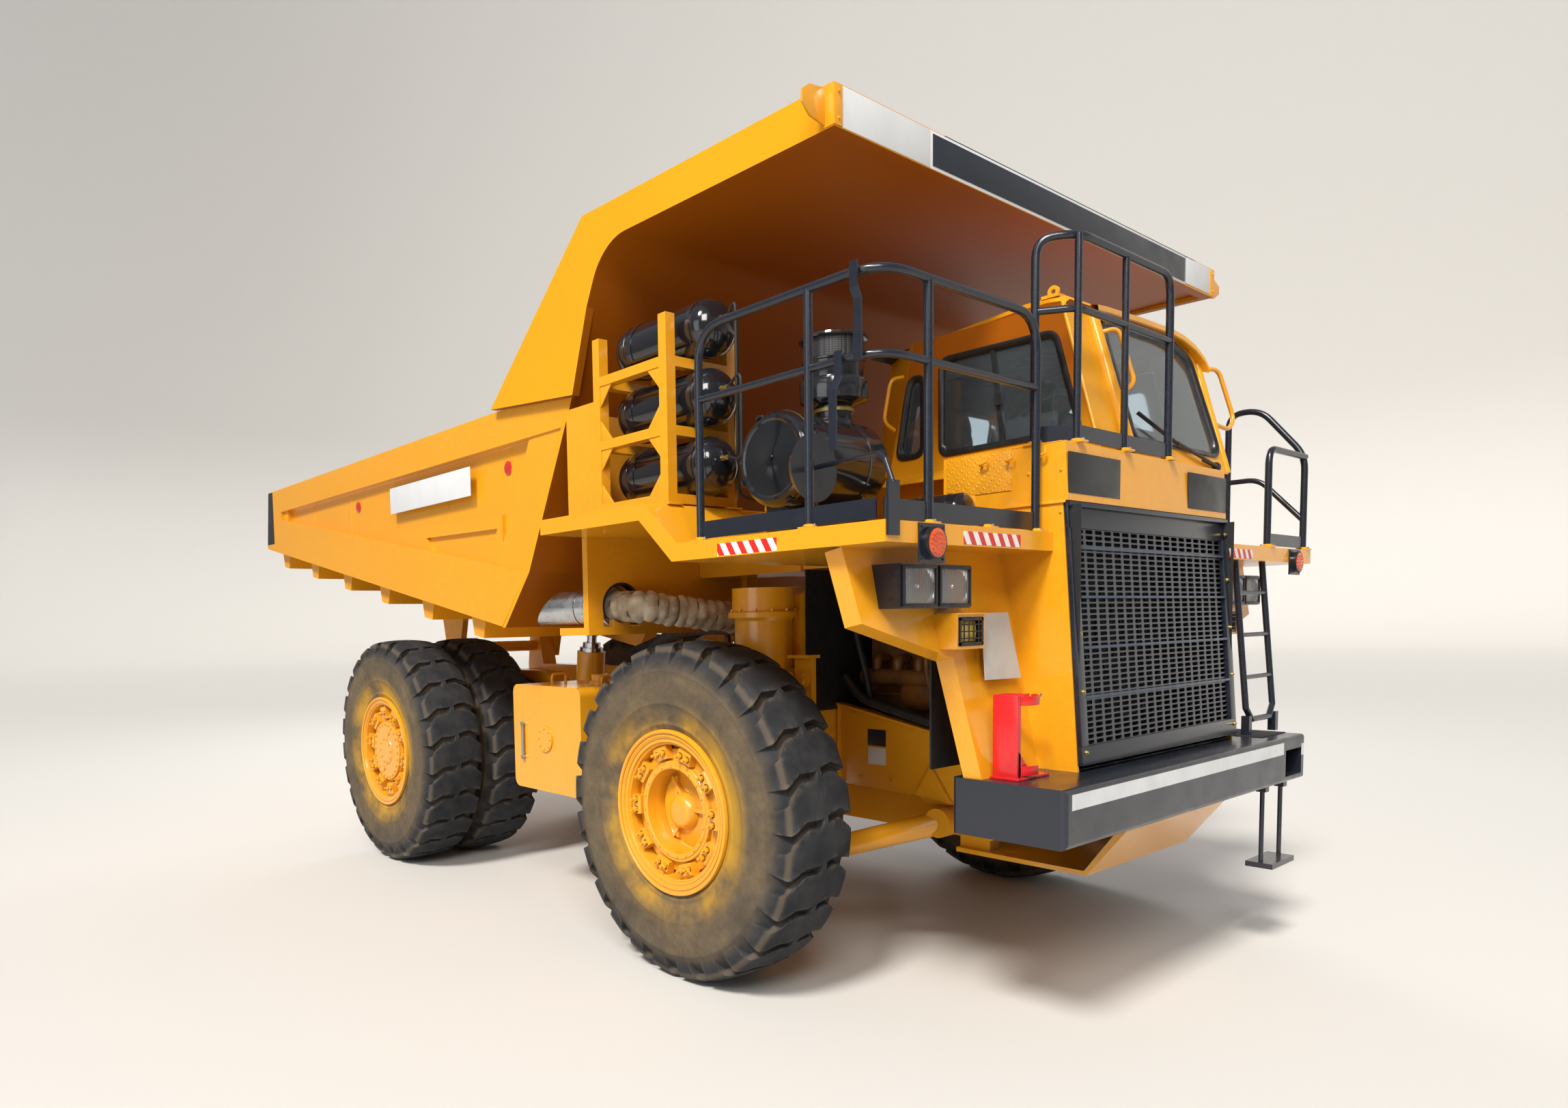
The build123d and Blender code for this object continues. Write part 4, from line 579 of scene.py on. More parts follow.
# Small finishes: colour, roughness, metal, then what differs from plain paint
FINISHES = {
    "Brushed Outlet Steel": ((0.55, 0.54, 0.51), 0.32, 1.0, {"bump": 0.2}),
    "Lagging Cloth": ((0.52, 0.44, 0.31), 0.9, 0.0, {"bump": 0.6}),
    "Cushion Cloth": ((0.03, 0.03, 0.034), 0.9, 0.0, {"bump": 0.5}),
    "Console Plastic": ((0.05, 0.05, 0.055), 0.55, 0.0, {}),
    "Oily Engine Paint": (
        (0.2, 0.075, 0.012), 0.5, 0.0, {"tint": (0.055, 0.028, 0.01), "scale": 7.0, "strength": 0.9, "bump": 0.5}
    ),
    "Hard Chrome": ((0.6, 0.6, 0.62), 0.15, 1.0, {"bump": 0.02}),
    "Worn Blue Steel": ((0.06, 0.085, 0.13), 0.35, 0.3, {}),
    "Yellow Zinc": ((0.5, 0.36, 0.12), 0.4, 0.8, {}),
    "Matt Black Panel": ((0.012, 0.013, 0.016), 0.35, 0.0, {"scale": 6.0}),
    "Soot Black Steel": ((0.01, 0.011, 0.014), 0.6, 0.0, {}),
    "Grip Pad": ((0.014, 0.015, 0.019), 0.8, 0.0, {"bump": 0.9, "scale": 90.0}),
    "Signal Red Enamel": ((0.62, 0.01, 0.012), 0.3, 0.0, {"coat": 0.4, "tint": (0.42, 0.006, 0.01)}),
    "Bright Zinc": ((0.45, 0.45, 0.46), 0.35, 1.0, {}),
    "Blank Chart Plate": ((0.42, 0.43, 0.42), 0.35, 0.0, {"tint": (0.33, 0.33, 0.32), "scale": 7.0, "bump": 0.02}),
    "Lamp Moulding": ((0.01, 0.01, 0.012), 0.42, 0.0, {}),
    "Bright Reflector": ((0.8, 0.81, 0.82), 0.12, 1.0, {"bump": 0.0}),
    "Amber Fog Glass": ((0.72, 0.5, 0.03), 0.12, 0.0, {"coat": 0.5, "scale": 30.0, "bump": 0.2}),
    "Amber Signal Lens": (
        (0.62, 0.075, 0.008), 0.25, 0.0, {"coat": 0.6, "tint": (0.35, 0.03, 0.004), "scale": 40.0, "bump": 0.4}
    ),
    "Blank Grey Label": ((0.42, 0.43, 0.43), 0.4, 0.0, {"bump": 0.02}),
    "Dull Brass": ((0.42, 0.28, 0.09), 0.35, 0.9, {}),
    "Braided Black Hose": ((0.012, 0.012, 0.013), 0.55, 0.0, {"scale": 200.0, "bump": 0.5}),
    "Tarnished Wire": ((0.16, 0.14, 0.12), 0.5, 0.8, {}),
    "Galvanised Steel": ((0.56, 0.57, 0.57), 0.3, 1.0, {"tint": (0.33, 0.33, 0.34), "scale": 24.0}),
    "Black Edge Trim": ((0.01, 0.01, 0.011), 0.6, 0.0, {}),
    "Board White": (
        (0.62, 0.64, 0.66), 0.4, 0.0, {"tint": (0.5, 0.51, 0.52), "scale": 5.0, "strength": 0.4, "bump": 0.03}
    ),
    "Board Black": ((0.012, 0.016, 0.026), 0.35, 0.0, {"tint": (0.02, 0.026, 0.04), "scale": 6.0, "bump": 0.03}),
    "Red Reflector": ((0.55, 0.02, 0.015), 0.15, 0.0, {"coat": 0.6, "scale": 90.0, "bump": 0.6}),
    "Tail Black": ((0.012, 0.013, 0.017), 0.5, 0.0, {"tint": (0.03, 0.03, 0.032), "scale": 4.0}),
    "Cab Lining": ((0.022, 0.023, 0.026), 0.75, 0.0, {"tint": (0.035, 0.036, 0.04), "bump": 0.4}),
    "Wiper Black": ((0.01, 0.01, 0.011), 0.45, 0.0, {}),
    "Window Rubber": ((0.009, 0.009, 0.01), 0.38, 0.0, {"tint": (0.016, 0.016, 0.018), "coat": 0.15}),
    "Bellows Rubber": ((0.012, 0.012, 0.013), 0.7, 0.0, {}),
    "Dull Black Hose": ((0.011, 0.012, 0.013), 0.55, 0.0, {"scale": 30.0, "bump": 0.25}),
}


def finish(name):
    colour, roughness, metallic, more = FINISHES[name]
    return plain(name, colour, roughness, metallic, **more)


@built_once("Tinted Window Glass")
def window_glass(name):
    material, _, shader = start_material(name, 0.04)
    shader.inputs["Base Color"].default_value = (0.76, 0.88, 0.96, 1)
    shader.inputs["Transmission Weight"].default_value = 0.97
    shader.inputs["IOR"].default_value = 1.45
    return material


@built_once("Dusty Tyre Rubber")
def tyre_rubber(name):
    """Tread rubber with scuffs, tan dust on the walls and stray yellow spray round the rim."""
    material, tree, shader = start_material(name, 0.82, specular=0.28)
    coords, axes = object_split(tree)
    square = plus(tree, times(tree, axes["X"], axes["X"]), times(tree, axes["Z"], axes["Z"]))
    radius = math_node(tree, "SQRT", square)
    drift = place_effect(
        tree, "Uneven Colour", Color=(0.016, 0.018, 0.022), Tint=(0.04, 0.041, 0.044), Scale=9.0, Strength=0.75
    )
    scuffed = place_effect(tree, "Edge Wear", Color=drift["Color"], Worn=(0.1, 0.094, 0.085), Amount=0.6)
    patches = ramp(tree, noise(tree, 3.2, 6, 0.68, coords), 0.26, 0.72)
    streaks = ramp(tree, noise(tree, 16.0, 7, 0.75, coords), 0.2, 0.85)
    wall = ramp(tree, radius, 0.862, 0.74)
    mask = times(tree, wall, plus(tree, times(tree, patches, 0.55), 0.38))
    mask = times(tree, mask, plus(tree, times(tree, streaks, 0.55), 0.45))
    dusty = mix_colour(tree, mask, scuffed["Color"], (0.19, 0.135, 0.07))
    floor = times(tree, ramp(tree, radius, 0.912, 0.896), ramp(tree, radius, 0.865, 0.885))
    dusty = mix_colour(tree, times(tree, floor, 0.5), dusty, (0.13, 0.098, 0.065))
    ring = times(tree, ramp(tree, radius, 0.665, 0.5), ramp(tree, noise(tree, 2.2, 5, 0.6, coords), 0.34, 0.62))
    ring = times(tree, ring, 0.85)
    sprayed = mix_colour(tree, ring, dusty, (0.5, 0.27, 0.015))
    colour_from(tree, shader, sprayed)
    rough_from(tree, shader, patches, 0.72, 0.92)
    grain = plus(tree, noise(tree, 85, 6, 0.7, coords), times(tree, streaks, 0.8))
    add_bump(tree, shader, grain, 0.5, 0.004)
    return material


def striped(name, first, second, pitch, slope, roughness=0.45):
    """Diagonal stripes across an upright plate."""
    if name in bpy.data.materials:
        return bpy.data.materials[name]
    material, tree, shader = start_material(name, roughness)
    coords, axes = object_split(tree)
    run = plus(tree, axes["X"], axes["Y"])
    run = plus(tree, run, times(tree, axes["Z"], slope))
    phase = math_node(tree, "FRACT", math_node(tree, "DIVIDE", run, pitch))
    band = math_node(tree, "GREATER_THAN", phase, 0.5)
    colour = mix_colour(tree, band, first, second)
    drift = place_effect(tree, "Uneven Colour", Color=colour, Tint=(0.28, 0.22, 0.17), Scale=22.0, Strength=0.22)
    colour_from(tree, shader, drift["Color"])
    add_bump(tree, shader, noise(tree, 120, 3, 0.6, coords), 0.08, 0.001)
    return material


@built_once("Yellow Tread Plate")
def chequer_plate(name):
    """Yellow tread plate with raised slanting bars."""
    colour = body_colour()
    material, tree, shader = start_material(name, 0.32, coat=0.3)
    axes = object_split(tree)[1]
    drift = place_effect(
        tree, "Uneven Colour", Color=colour, Tint=tuple(c * 0.8 for c in colour), Scale=6.0, Strength=0.5
    )
    colour_from(tree, shader, drift["Color"])
    frequency = 110.0
    bars = []
    for slope in (1.0, -1.0):
        run = plus(tree, axes["X"], times(tree, axes["Z"], slope))
        across = math_node(tree, "SUBTRACT", axes["X"], times(tree, axes["Z"], slope))
        a = math_node(tree, "SINE", times(tree, run, frequency))
        b = math_node(tree, "SINE", times(tree, across, frequency * 2))
        bars.append(times(tree, ramp(tree, a, 0.1, 0.9), ramp(tree, b, 0.4, 0.9)))
    height = math_node(tree, "MAXIMUM", bars[0], bars[1])
    add_bump(tree, shader, height, 0.6, 0.003)
    return material


@built_once("Fluted Lamp Glass")
def lamp_lens(name):
    material, tree, shader = start_material(name, 0.08)
    shader.inputs["Transmission Weight"].default_value = 0.85
    axes = object_split(tree)[1]
    flutes = math_node(tree, "SINE", times(tree, axes["Y"], 420.0))
    colour = mix_colour(tree, ramp(tree, flutes, -1.0, 1.0), (0.8, 0.84, 0.86), (0.95, 0.97, 0.98))
    colour_from(tree, shader, colour)
    add_bump(tree, shader, flutes, 0.35, 0.002)
    return material


def mesh_screen(name, colour, cell):
    """Fine punched sheet, drawn as dark holes in a painted face; the near-black of the holes is painted shade of the
    inside seen through them.
    """
    if name in bpy.data.materials:
        return bpy.data.materials[name]
    material, tree, shader = start_material(name, 0.5)
    axes = object_split(tree)[1]
    wave = [math_node(tree, "COSINE", times(tree, axes[axis], 2 * pi / cell)) for axis in "XYZ"]
    total = plus(tree, plus(tree, wave[0], wave[1]), wave[2])
    holes = ramp(tree, total, -0.2, 0.5)
    # Painted shade: the holes take a near-black colour for the dark inside behind the screen.
    colour_from(tree, shader, mix_colour(tree, holes, (0.004, 0.004, 0.005), colour))
    add_bump(tree, shader, holes, 0.8, 0.003)
    return material


@built_once("Stained Lagging")
def lagging(name):
    """Cream quilted lagging, stained where the ties pinch it."""
    material, tree, shader = start_material(name, 0.85)
    coords = object_coords(tree)
    drift = place_effect(
        tree, "Uneven Colour", Color=(0.58, 0.5, 0.36), Tint=(0.27, 0.2, 0.12), Scale=9.0, Strength=0.9
    )
    edges = place_effect(tree, "Edge Wear", Color=drift["Color"], Worn=(0.72, 0.66, 0.52), Amount=0.5)
    colour_from(tree, shader, edges["Color"])
    creases = noise(tree, 26, 7, 0.7, coords)
    add_bump(tree, shader, creases, 0.8, 0.012)
    return material


def gloss_black():
    return painted(
        "Gloss Black Enamel", (0.008, 0.009, 0.012), (0.012, 0.013, 0.016), (0.05, 0.05, 0.06), 0.05, (0.12, 0.32),
        0.25, 0.5,
    )


def within(tree, value, low, high):
    """1 where a value lies between two limits."""
    above = math_node(tree, "GREATER_THAN", value, low)
    return times(tree, above, math_node(tree, "LESS_THAN", value, high))


@built_once("Deep Orange Enamel")
def painted_shade_enamel(name):
    """Body enamel with painted shade: the faces that look down or sideways are a deeper orange that stands in for the
    shade under the canopy.
    """
    colour = body_colour()
    # deep is painted shade: a darker, more orange copy of the body colour.
    deep = (colour[0] * 0.4, colour[1] * 0.24, colour[2] * 0.12)
    material, tree, shader = start_material(name, 0.34, coat=0.0, specular=0.16)
    normal = normal_axes(tree)
    coords, axes = object_split(tree)
    # Painted shade: faces that look down, and upright side faces above about 2.7 m within 1.3 m of the middle, take
    # the deeper orange of the shade under the canopy.
    down = ramp(tree, normal["Z"], 0.05, -0.45)
    side = ramp(tree, math_node(tree, "ABSOLUTE", normal["Y"]), 0.75, 0.97)
    side = times(tree, side, ramp(tree, axes["Z"], 2.7, 3.15))
    side = times(tree, side, within(tree, axes["Y"], -1.3, 1.3))
    factor = math_node(tree, "MAXIMUM", down, side)
    drift = place_effect(
        tree, "Uneven Colour", Color=colour, Tint=tuple(c * 0.9 for c in colour), Scale=1.1, Strength=0.3
    )
    base = mix_colour(tree, factor, drift["Color"], deep)
    dusted = place_effect(tree, "Settled Dust", Color=base, Amount=0.05, Top=DUST_TOP)
    colour_from(tree, shader, dusted["Color"])
    rough_from(tree, shader, factor, 0.26, 0.42)
    add_bump(tree, shader, noise(tree, 260, 2, 0.5, coords), 0.04, 0.001)
    return material


@built_once("Banded Bumper Enamel")
def banded_bumper(name):
    """Dark enamel with a plain white band across the front face."""
    colour = tuple(bpy.context.scene.truck_paint.dark)
    material, tree, shader = start_material(name, 0.3, coat=0.3)
    coords, axes = object_split(tree)
    band = times(tree, within(tree, axes["Z"], 1.15, 1.217), within(tree, axes["Y"], -1.31, 1.03))
    end = times(tree, within(tree, axes["Z"], 1.122, 1.19), within(tree, axes["Y"], 1.3, 1.359))
    front = math_node(tree, "GREATER_THAN", axes["X"], 4.197)
    white = times(tree, plus(tree, band, end), front)
    base = mix_colour(tree, white, colour, (0.66, 0.68, 0.7))
    drift = place_effect(tree, "Uneven Colour", Color=base, Tint=(0.02, 0.022, 0.03), Scale=6.0, Strength=0.12)
    colour_from(tree, shader, drift["Color"])
    rough_from(tree, shader, drift["Value"], 0.26, 0.42)
    add_bump(tree, shader, noise(tree, 220, 2, 0.5, coords), 0.05, 0.001)
    return material


@built_once("Taped Deck Enamel")
def striped_deck(name):
    """Body enamel with red and white tape along the outer edge of the right deck."""
    colour = body_colour()
    material, tree, shader = start_material(name, 0.26, coat=0.35)
    coords, axes = object_split(tree)
    run = plus(tree, axes["X"], times(tree, axes["Z"], TAPE_SLOPE))
    phase = math_node(tree, "FRACT", math_node(tree, "DIVIDE", run, TAPE_PITCH))
    tape = mix_colour(tree, math_node(tree, "GREATER_THAN", phase, 0.5), *TAPE_COLOURS)
    patch = times(tree, within(tree, axes["X"], 2.924, 3.297), within(tree, axes["Z"], 2.26, 2.316))
    patch = times(tree, patch, math_node(tree, "LESS_THAN", axes["Y"], -2.096))
    base = mix_colour(tree, patch, colour, tape)
    drift = place_effect(
        tree, "Uneven Colour", Color=base, Tint=tuple(c * 0.9 for c in colour), Scale=1.4, Strength=0.2
    )
    dusted = place_effect(tree, "Settled Dust", Color=drift["Color"], Amount=0.1, Top=DUST_TOP)
    colour_from(tree, shader, dusted["Color"])
    rough_from(tree, shader, dusted["Mask"], 0.24, 0.45)
    add_bump(tree, shader, noise(tree, 260, 2, 0.5, coords), 0.05, 0.001)
    return material


CAD_FINISHES = {
    "dark": (
        "grille", "access_steps", "handrail_right", "handrail_front", "handrail_left", "air_cleaner",
        "round_mirror", "air_tanks", "radiator", "headlamps", "direction_lamps",
    ),
    "glass": ("cab_glass", "door_glass"),
    "rubber": ("tyre_front_right", "tyre_front_left", "tyres_rear_right", "tyres_rear_left"),
}


def build_solid_finishes():
    special = {
        "muffler": finish("Brushed Outlet Steel"),
        "exhaust_pipe": finish("Lagging Cloth"),
        "driver_seat": finish("Cushion Cloth"),
        "steering_console": finish("Console Plastic"),
        "bumper": banded_bumper(),
        "deck_right": striped_deck(),
        "bed_front": painted_shade_enamel(),
        "engine": finish("Oily Engine Paint"),
    }
    for stage in ("hoist_stage", "hoist_rod"):
        for side, _ in SIDES:
            special[f"{stage}_{side}"] = finish("Hard Chrome")
    for name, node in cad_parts.items():
        if name in CAD_FINISHES["dark"]:
            material = dark_paint()
        elif name in CAD_FINISHES["glass"]:
            material = window_glass()
        elif name in CAD_FINISHES["rubber"]:
            material = tyre_rubber()
        else:
            material = special.get(name) or yellow_paint()
        node.data.materials.clear()
        node.data.materials.append(material)
        if name in CAD_FINISHES["glass"] or name in CAD_FINISHES["rubber"]:
            continue
        bevel = node.modifiers.new("Rounded Edges", "BEVEL")
        bevel.width = 0.004
        bevel.segments = 2
        bevel.limit_method = "ANGLE"
        bevel.angle_limit = SHARP_ANGLE
        bevel.harden_normals = True


class TRUCK_OT_solid_finishes(bpy.types.Operator):
    """Give every solid of the model its finish and slightly rounded edges"""

    bl_idname = "truck.solid_finishes"
    bl_label = "Finish Solids"

    def execute(self, context):
        build_solid_finishes()
        return {"FINISHED"}


# ------------------------------------------------------------------ wheels
def clamp(value):
    return max(0.0, min(1.0, value))


def groove_shift(across):
    """Turn of a groove, in lug pitches, at a distance across the tread."""
    knots = (
        (-0.26, -0.42), (-0.215, -0.34), (-0.125, 0.0), (-0.04, 0.0), (0.04, 0.1), (0.105, 0.16), (0.215, -0.1),
        (0.26, -0.16),
    )
    for (y0, s0), (y1, s1) in zip(knots, knots[1:]):
        if across <= y1:
            return s0 + (s1 - s0) * (across - y0) / (y1 - y0)
    return knots[-1][1]


TYRE_WALL = (
    # distance from the tyre's middle, radius
    (0.0, 0.929), (0.014, 0.929), (0.026, 0.9288), (0.036, 0.9286), (0.055, 0.928), (0.08, 0.9268),
    (0.105, 0.925), (0.13, 0.9228), (0.155, 0.92), (0.178, 0.9165), (0.196, 0.912), (0.208, 0.906),
    (0.2165, 0.898), (0.2225, 0.887), (0.2275, 0.872), (0.2325, 0.855), (0.237, 0.838), (0.241, 0.82),
    (0.244, 0.8), (0.2462, 0.7825), (0.2484, 0.78), (0.2488, 0.772), (0.2478, 0.768), (0.2495, 0.74),
    (0.2498, 0.705), (0.2488, 0.67), (0.2462, 0.635), (0.243, 0.608), (0.2446, 0.604), (0.244, 0.596),
    (0.2408, 0.592), (0.236, 0.565), (0.2285, 0.535), (0.221, 0.51), (0.2165, 0.495), (0.2185, 0.49),
    (0.2175, 0.481), (0.2115, 0.474), (0.207, 0.462), (0.205, 0.456),
)


def tyre_rows(lugs, depth):
    """Grid rows round a tyre about the Y axis; each row runs across from bead to bead."""
    across = [(-y, r) for y, r in reversed(TYRE_WALL[1:])] + list(TYRE_WALL)
    # a groove's depth at its edges, walls and middle; its walls' share of the pitch; rows between grooves
    cuts, wall, bare = (0.0, 0.93, 1.0, 0.93, 0.0), 0.022, 7
    rows = []
    for lug in range(lugs):
        for step in range(len(cuts) + bare):
            row = []
            for index, (y, r) in enumerate(across):
                reach = abs(y)
                half = 0.072 + 0.095 * clamp((reach - 0.1) / 0.13) + 0.06 * max(0.0, (0.905 - r) / 0.1)
                half = min(half, 0.24)
                edges = (-half - wall, -half, 0.0, half, half + wall)
                if step < len(cuts):
                    turn, cut = edges[step], cuts[step]
                else:
                    free = 1 - 2 * (half + wall)
                    turn = half + wall + free * (step - len(cuts) + 1) / (bare + 1)
                    cut = 0.0
                inner = clamp((reach - 0.022) / 0.012)
                fade = clamp((r - 0.795) / 0.085)
                sink = depth * cut * inner * fade
                previous = across[max(index - 1, 0)]
                following = across[min(index + 1, len(across) - 1)]
                dy, dr = following[0] - previous[0], following[1] - previous[1]
                length = sqrt(dy * dy + dr * dr)
                ny, nr = -dr / length, dy / length
                angle = 2 * pi * (lug + turn + groove_shift(y)) / lugs
                radius = r - sink * abs(nr)
                side = y - sink * ny * 0.8
                row.append(Vector((radius * cos(angle), side, radius * sin(angle))))
            rows.append(row)
    return rows


def build_tyres(context):
    settings = context.scene.truck_tyres
    rows = tyre_rows(settings.lugs, settings.depth)
    for side, sign in SIDES:
        for axle, offsets in (("front", (0.0,)), ("rear", (0.28, -0.28))):
            tyre_node = f"tyre_front_{side}" if axle == "front" else f"tyres_rear_{side}"
            low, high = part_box(tyre_node)
            centre = Vector(((low[0] + high[0]) / 2, (low[1] + high[1]) / 2, AXLE_Z))
            bm = bmesh.new()
            for number, offset in enumerate(offsets):
                turn = Matrix.Rotation(0.13 * number + 0.05 * sign, 4, "Y")
                flip = Matrix.Scale(-1, 4, (0, 1, 0)) if sign > 0 else Matrix()
                add_grid(bm, rows, True, Matrix.Translation((0, offset, 0)) @ flip @ turn)
            body = f"wheel_front_{side}" if axle == "front" else f"wheels_rear_{side}"
            tyre = piece(f"moulded_tyre_{axle}_{side}", bm, tyre_rubber(), body, 0.0, 50, centre)
            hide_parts(tyre_node)


class TRUCK_OT_tyres(bpy.types.Operator):
    """Mould the tyres: kinked grooves from both shoulders, bulged walls and bead rings"""

    bl_idname = "truck.tyres"
    bl_label = "Tyres"

    def execute(self, context):
        build_tyres(context)
        return {"FINISHED"}


FRONT_RIM = (
    # distance outwards from the tyre's middle, radius
    (-0.15, 0.121), (-0.15, 0.215), (-0.1, 0.235), (-0.02, 0.236), (-0.02, 0.408), (-0.225, 0.408),
    (-0.231, 0.416), (-0.231, 0.449), (-0.226, 0.455), (-0.206, 0.4555), (-0.204, 0.43), (0.203, 0.43),
    (0.206, 0.4545), (0.22, 0.4555), (0.228, 0.453), (0.231, 0.446), (0.2305, 0.438), (0.226, 0.433),
    (0.217, 0.4315), (0.2165, 0.426), (0.222, 0.424), (0.2225, 0.416), (0.2185, 0.414), (0.2175, 0.408),
    (0.21, 0.406), (0.2095, 0.398), (0.213, 0.396), (0.213, 0.386), (0.208, 0.383), (0.199, 0.38),
    (0.199, 0.371), (0.19, 0.369), (0.155, 0.367), (0.12, 0.362), (0.118, 0.345), (0.146, 0.342),
    (0.148, 0.338), (0.148, 0.285), (0.152, 0.28), (0.176, 0.279), (0.18, 0.275), (0.18, 0.262), (0.186, 0.258),
    (0.187, 0.24), (0.183, 0.234), (0.06, 0.226), (0.052, 0.218), (0.05, 0.15), (0.05, 0.121),
)
INNER_REAR_RIM = (
    (-0.79, 0.0), (-0.79, 0.235), (-0.785, 0.24), (-0.765, 0.3), (-0.765, 0.408), (-0.785, 0.412), (-0.791, 0.42),
    (-0.791, 0.449), (-0.786, 0.455), (-0.766, 0.4555), (-0.764, 0.43), (-0.356, 0.43), (-0.354, 0.4545),
    (-0.206, 0.4545), (-0.204, 0.43),
)
REAR_RIM = (
    (0.203, 0.43), (0.206, 0.4545), (0.22, 0.4555), (0.228, 0.453), (0.231, 0.446), (0.2305, 0.438),
    (0.226, 0.433), (0.217, 0.4315), (0.2165, 0.426), (0.222, 0.424), (0.2225, 0.416), (0.2185, 0.414),
    (0.2175, 0.405), (0.209, 0.402), (0.2085, 0.392), (0.2, 0.389), (0.15, 0.385), (0.098, 0.38),
    (0.096, 0.345), (0.144, 0.342), (0.146, 0.338), (0.146, 0.268), (0.15, 0.262), (0.168, 0.258), (0.17, 0.25),
    (0.19, 0.247), (0.194, 0.243), (0.194, 0.118), (0.2, 0.114), (0.2, 0.0),
)


def add_clamp(bm, place, seat, low, high):
    """A wedge clamp over two studs; X runs outwards, Z away from the hub."""
    outline = (
        (seat - 0.012, low), (seat + 0.04, low + 0.004), (seat + 0.046, low + 0.022), (seat + 0.046, high - 0.022),
        (seat + 0.026, high), (seat - 0.004, high),
    )
    add_prism(bm, [(x, -0.052, z) for x, z in outline], (0, 0.104, 0), place)
    middle = low + (high - low) * 0.42
    for t in (-0.029, 0.029):
        stud = place @ Matrix.Translation((seat + 0.04, t, middle))
        add_lathe(bm, ((0, 0.02), (0.006, 0.02), (0.006, 0.0)), stud, 20)
        add_lathe(bm, ((0.006, 0.0165), (0.024, 0.0165), (0.026, 0.013), (0.026, 0.0)), stud, 6)
        add_lathe(bm, ((0.026, 0.0085), (0.044, 0.0085), (0.046, 0.006), (0.046, 0.0)), stud, 12)


def outward(sign):
    """Local X outwards from the truck's side, Z up."""
    return Matrix.Rotation(radians(90 * sign), 4, "Z")


def build_front_rims():
    for side, sign in SIDES:
        tyre_low, tyre_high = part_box(f"tyre_front_{side}")
        centre = Vector((FRONT_X, (tyre_low[1] + tyre_high[1]) / 2, AXLE_Z))
        place = outward(sign)
        bm = bmesh.new()
        add_lathe(bm, FRONT_RIM, place, 96, True)
        for i in range(10):
            turn = Matrix.Rotation(2 * pi * (i + 0.5) / 10, 4, "X")
            add_clamp(bm, place @ turn, 0.15, 0.284, 0.372)
        for y, z in around(20, 0.249, 0.25):
            add_bolt(bm, place @ Vector((0.187, y, z)), place.to_3x3() @ Vector((1, 0, 0)), 0.008, 0.006)
        floor = 0.05
        add_lathe(
            bm,
            (
                (floor - 0.004, 0.0), (floor - 0.004, 0.21), (floor + 0.004, 0.212), (floor + 0.008, 0.205),
                (floor + 0.008, 0.0),
            ),
            place, 64,
        )
        boss = place @ Matrix.Translation((0, 0.045 * sign, -0.02))
        add_lathe(
            bm,
            (
                (floor, 0.112), (floor + 0.018, 0.108), (floor + 0.052, 0.088), (floor + 0.062, 0.078),
                (floor + 0.066, 0.062), (floor + 0.066, 0.0),
            ),
            boss, 48,
        )
        for angle in (38, 142, 270):
            rib = place @ Matrix.Rotation(radians(angle), 4, "X")
            add_box(bm, (floor, -0.01, 0.05), (floor + 0.036, 0.01, 0.212), rib)
        half_moon = []
        for x in (floor + 0.006, floor + 0.03):
            arc = [radians(-62 + 124 * k / 18) for k in range(19)]
            half_moon.append([bm.verts.new(place @ Vector((x, 0.2 * cos(a) * sign, 0.2 * sin(a)))) for a in arc])
        bm.faces.new(half_moon[0][::-1])
        bm.faces.new(half_moon[1])
        for k in range(19):
            n = (k + 1) % 19
            bm.faces.new((half_moon[0][k], half_moon[0][n], half_moon[1][n], half_moon[1][k]))
        valve = place @ Matrix.Rotation(radians(205), 4, "X")
        add_tube(bm, [valve @ Vector(p) for p in ((0.12, 0, 0.35), (0.2, 0, 0.358), (0.215, 0, 0.3))], 0.006, 0.02)
        rim = piece(f"deep_rim_{side}", bm, yellow_paint(), f"wheel_front_{side}", 0.0, 32, centre)
        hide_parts(f"rim_front_{side}")


class TRUCK_OT_front_rims(bpy.types.Operator):
    """Build the deep front rims with lock rings, clamps on paired studs and the dished hub"""

    bl_idname = "truck.front_rims"
    bl_label = "Front Rims"

    def execute(self, context):
        build_front_rims()
        return {"FINISHED"}


def build_rear_rims():
    for side, sign in SIDES:
        low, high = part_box(f"tyres_rear_{side}")
        outer = high[1] - 0.25 if sign > 0 else low[1] + 0.25
        place = outward(sign)
        bm = bmesh.new()
        add_lathe(bm, INNER_REAR_RIM + REAR_RIM, place, 96)
        for i in range(10):
            turn = Matrix.Rotation(2 * pi * (i + 0.2) / 10, 4, "X")
            add_clamp(bm, place @ turn, 0.148, 0.268, 0.386)
        out = place.to_3x3() @ Vector((1, 0, 0))
        for x, count, radius, size in ((0.194, 24, 0.224, 0.0125), (0.2, 10, 0.098, 0.01)):
            for y, z in around(count, radius):
                add_bolt(bm, place @ Vector((x, y, z)), out, size, 0.012)
        for a in (radians(70), radians(250)):
            point = place @ Vector((0.194, 0.165 * cos(a), 0.165 * sin(a)))
            add_lathe(bm, ((0, 0.02), (0.01, 0.02), (0.012, 0.016), (0.012, 0.0)), along(point, point + out), 24)
        rim = piece(f"capped_rim_{side}", bm, yellow_paint(), f"wheels_rear_{side}", 0.0, 32, (REAR_X, outer, AXLE_Z))
        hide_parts(f"rim_rear_{side}")


class TRUCK_OT_rear_rims(bpy.types.Operator):
    """Dress the rear rims with lock rings, clamps and the bolted cap of the hub reduction"""

    bl_idname = "truck.rear_rims"
    bl_label = "Rear Rims"

    def execute(self, context):
        build_rear_rims()
        return {"FINISHED"}


# ------------------------------------------------------------------ radiator housing and bumper
GRILLE_HEIGHT = 1.2078
GRILLE_HALF = 0.865


def grille_place():
    """Local frame of the raked grille: X out of it, Y to the left, Z up along it."""
    return Matrix.Translation((4.015, 0, 1.27)) @ Matrix.Rotation(-atan2(0.082, 1.205), 4, "Y")


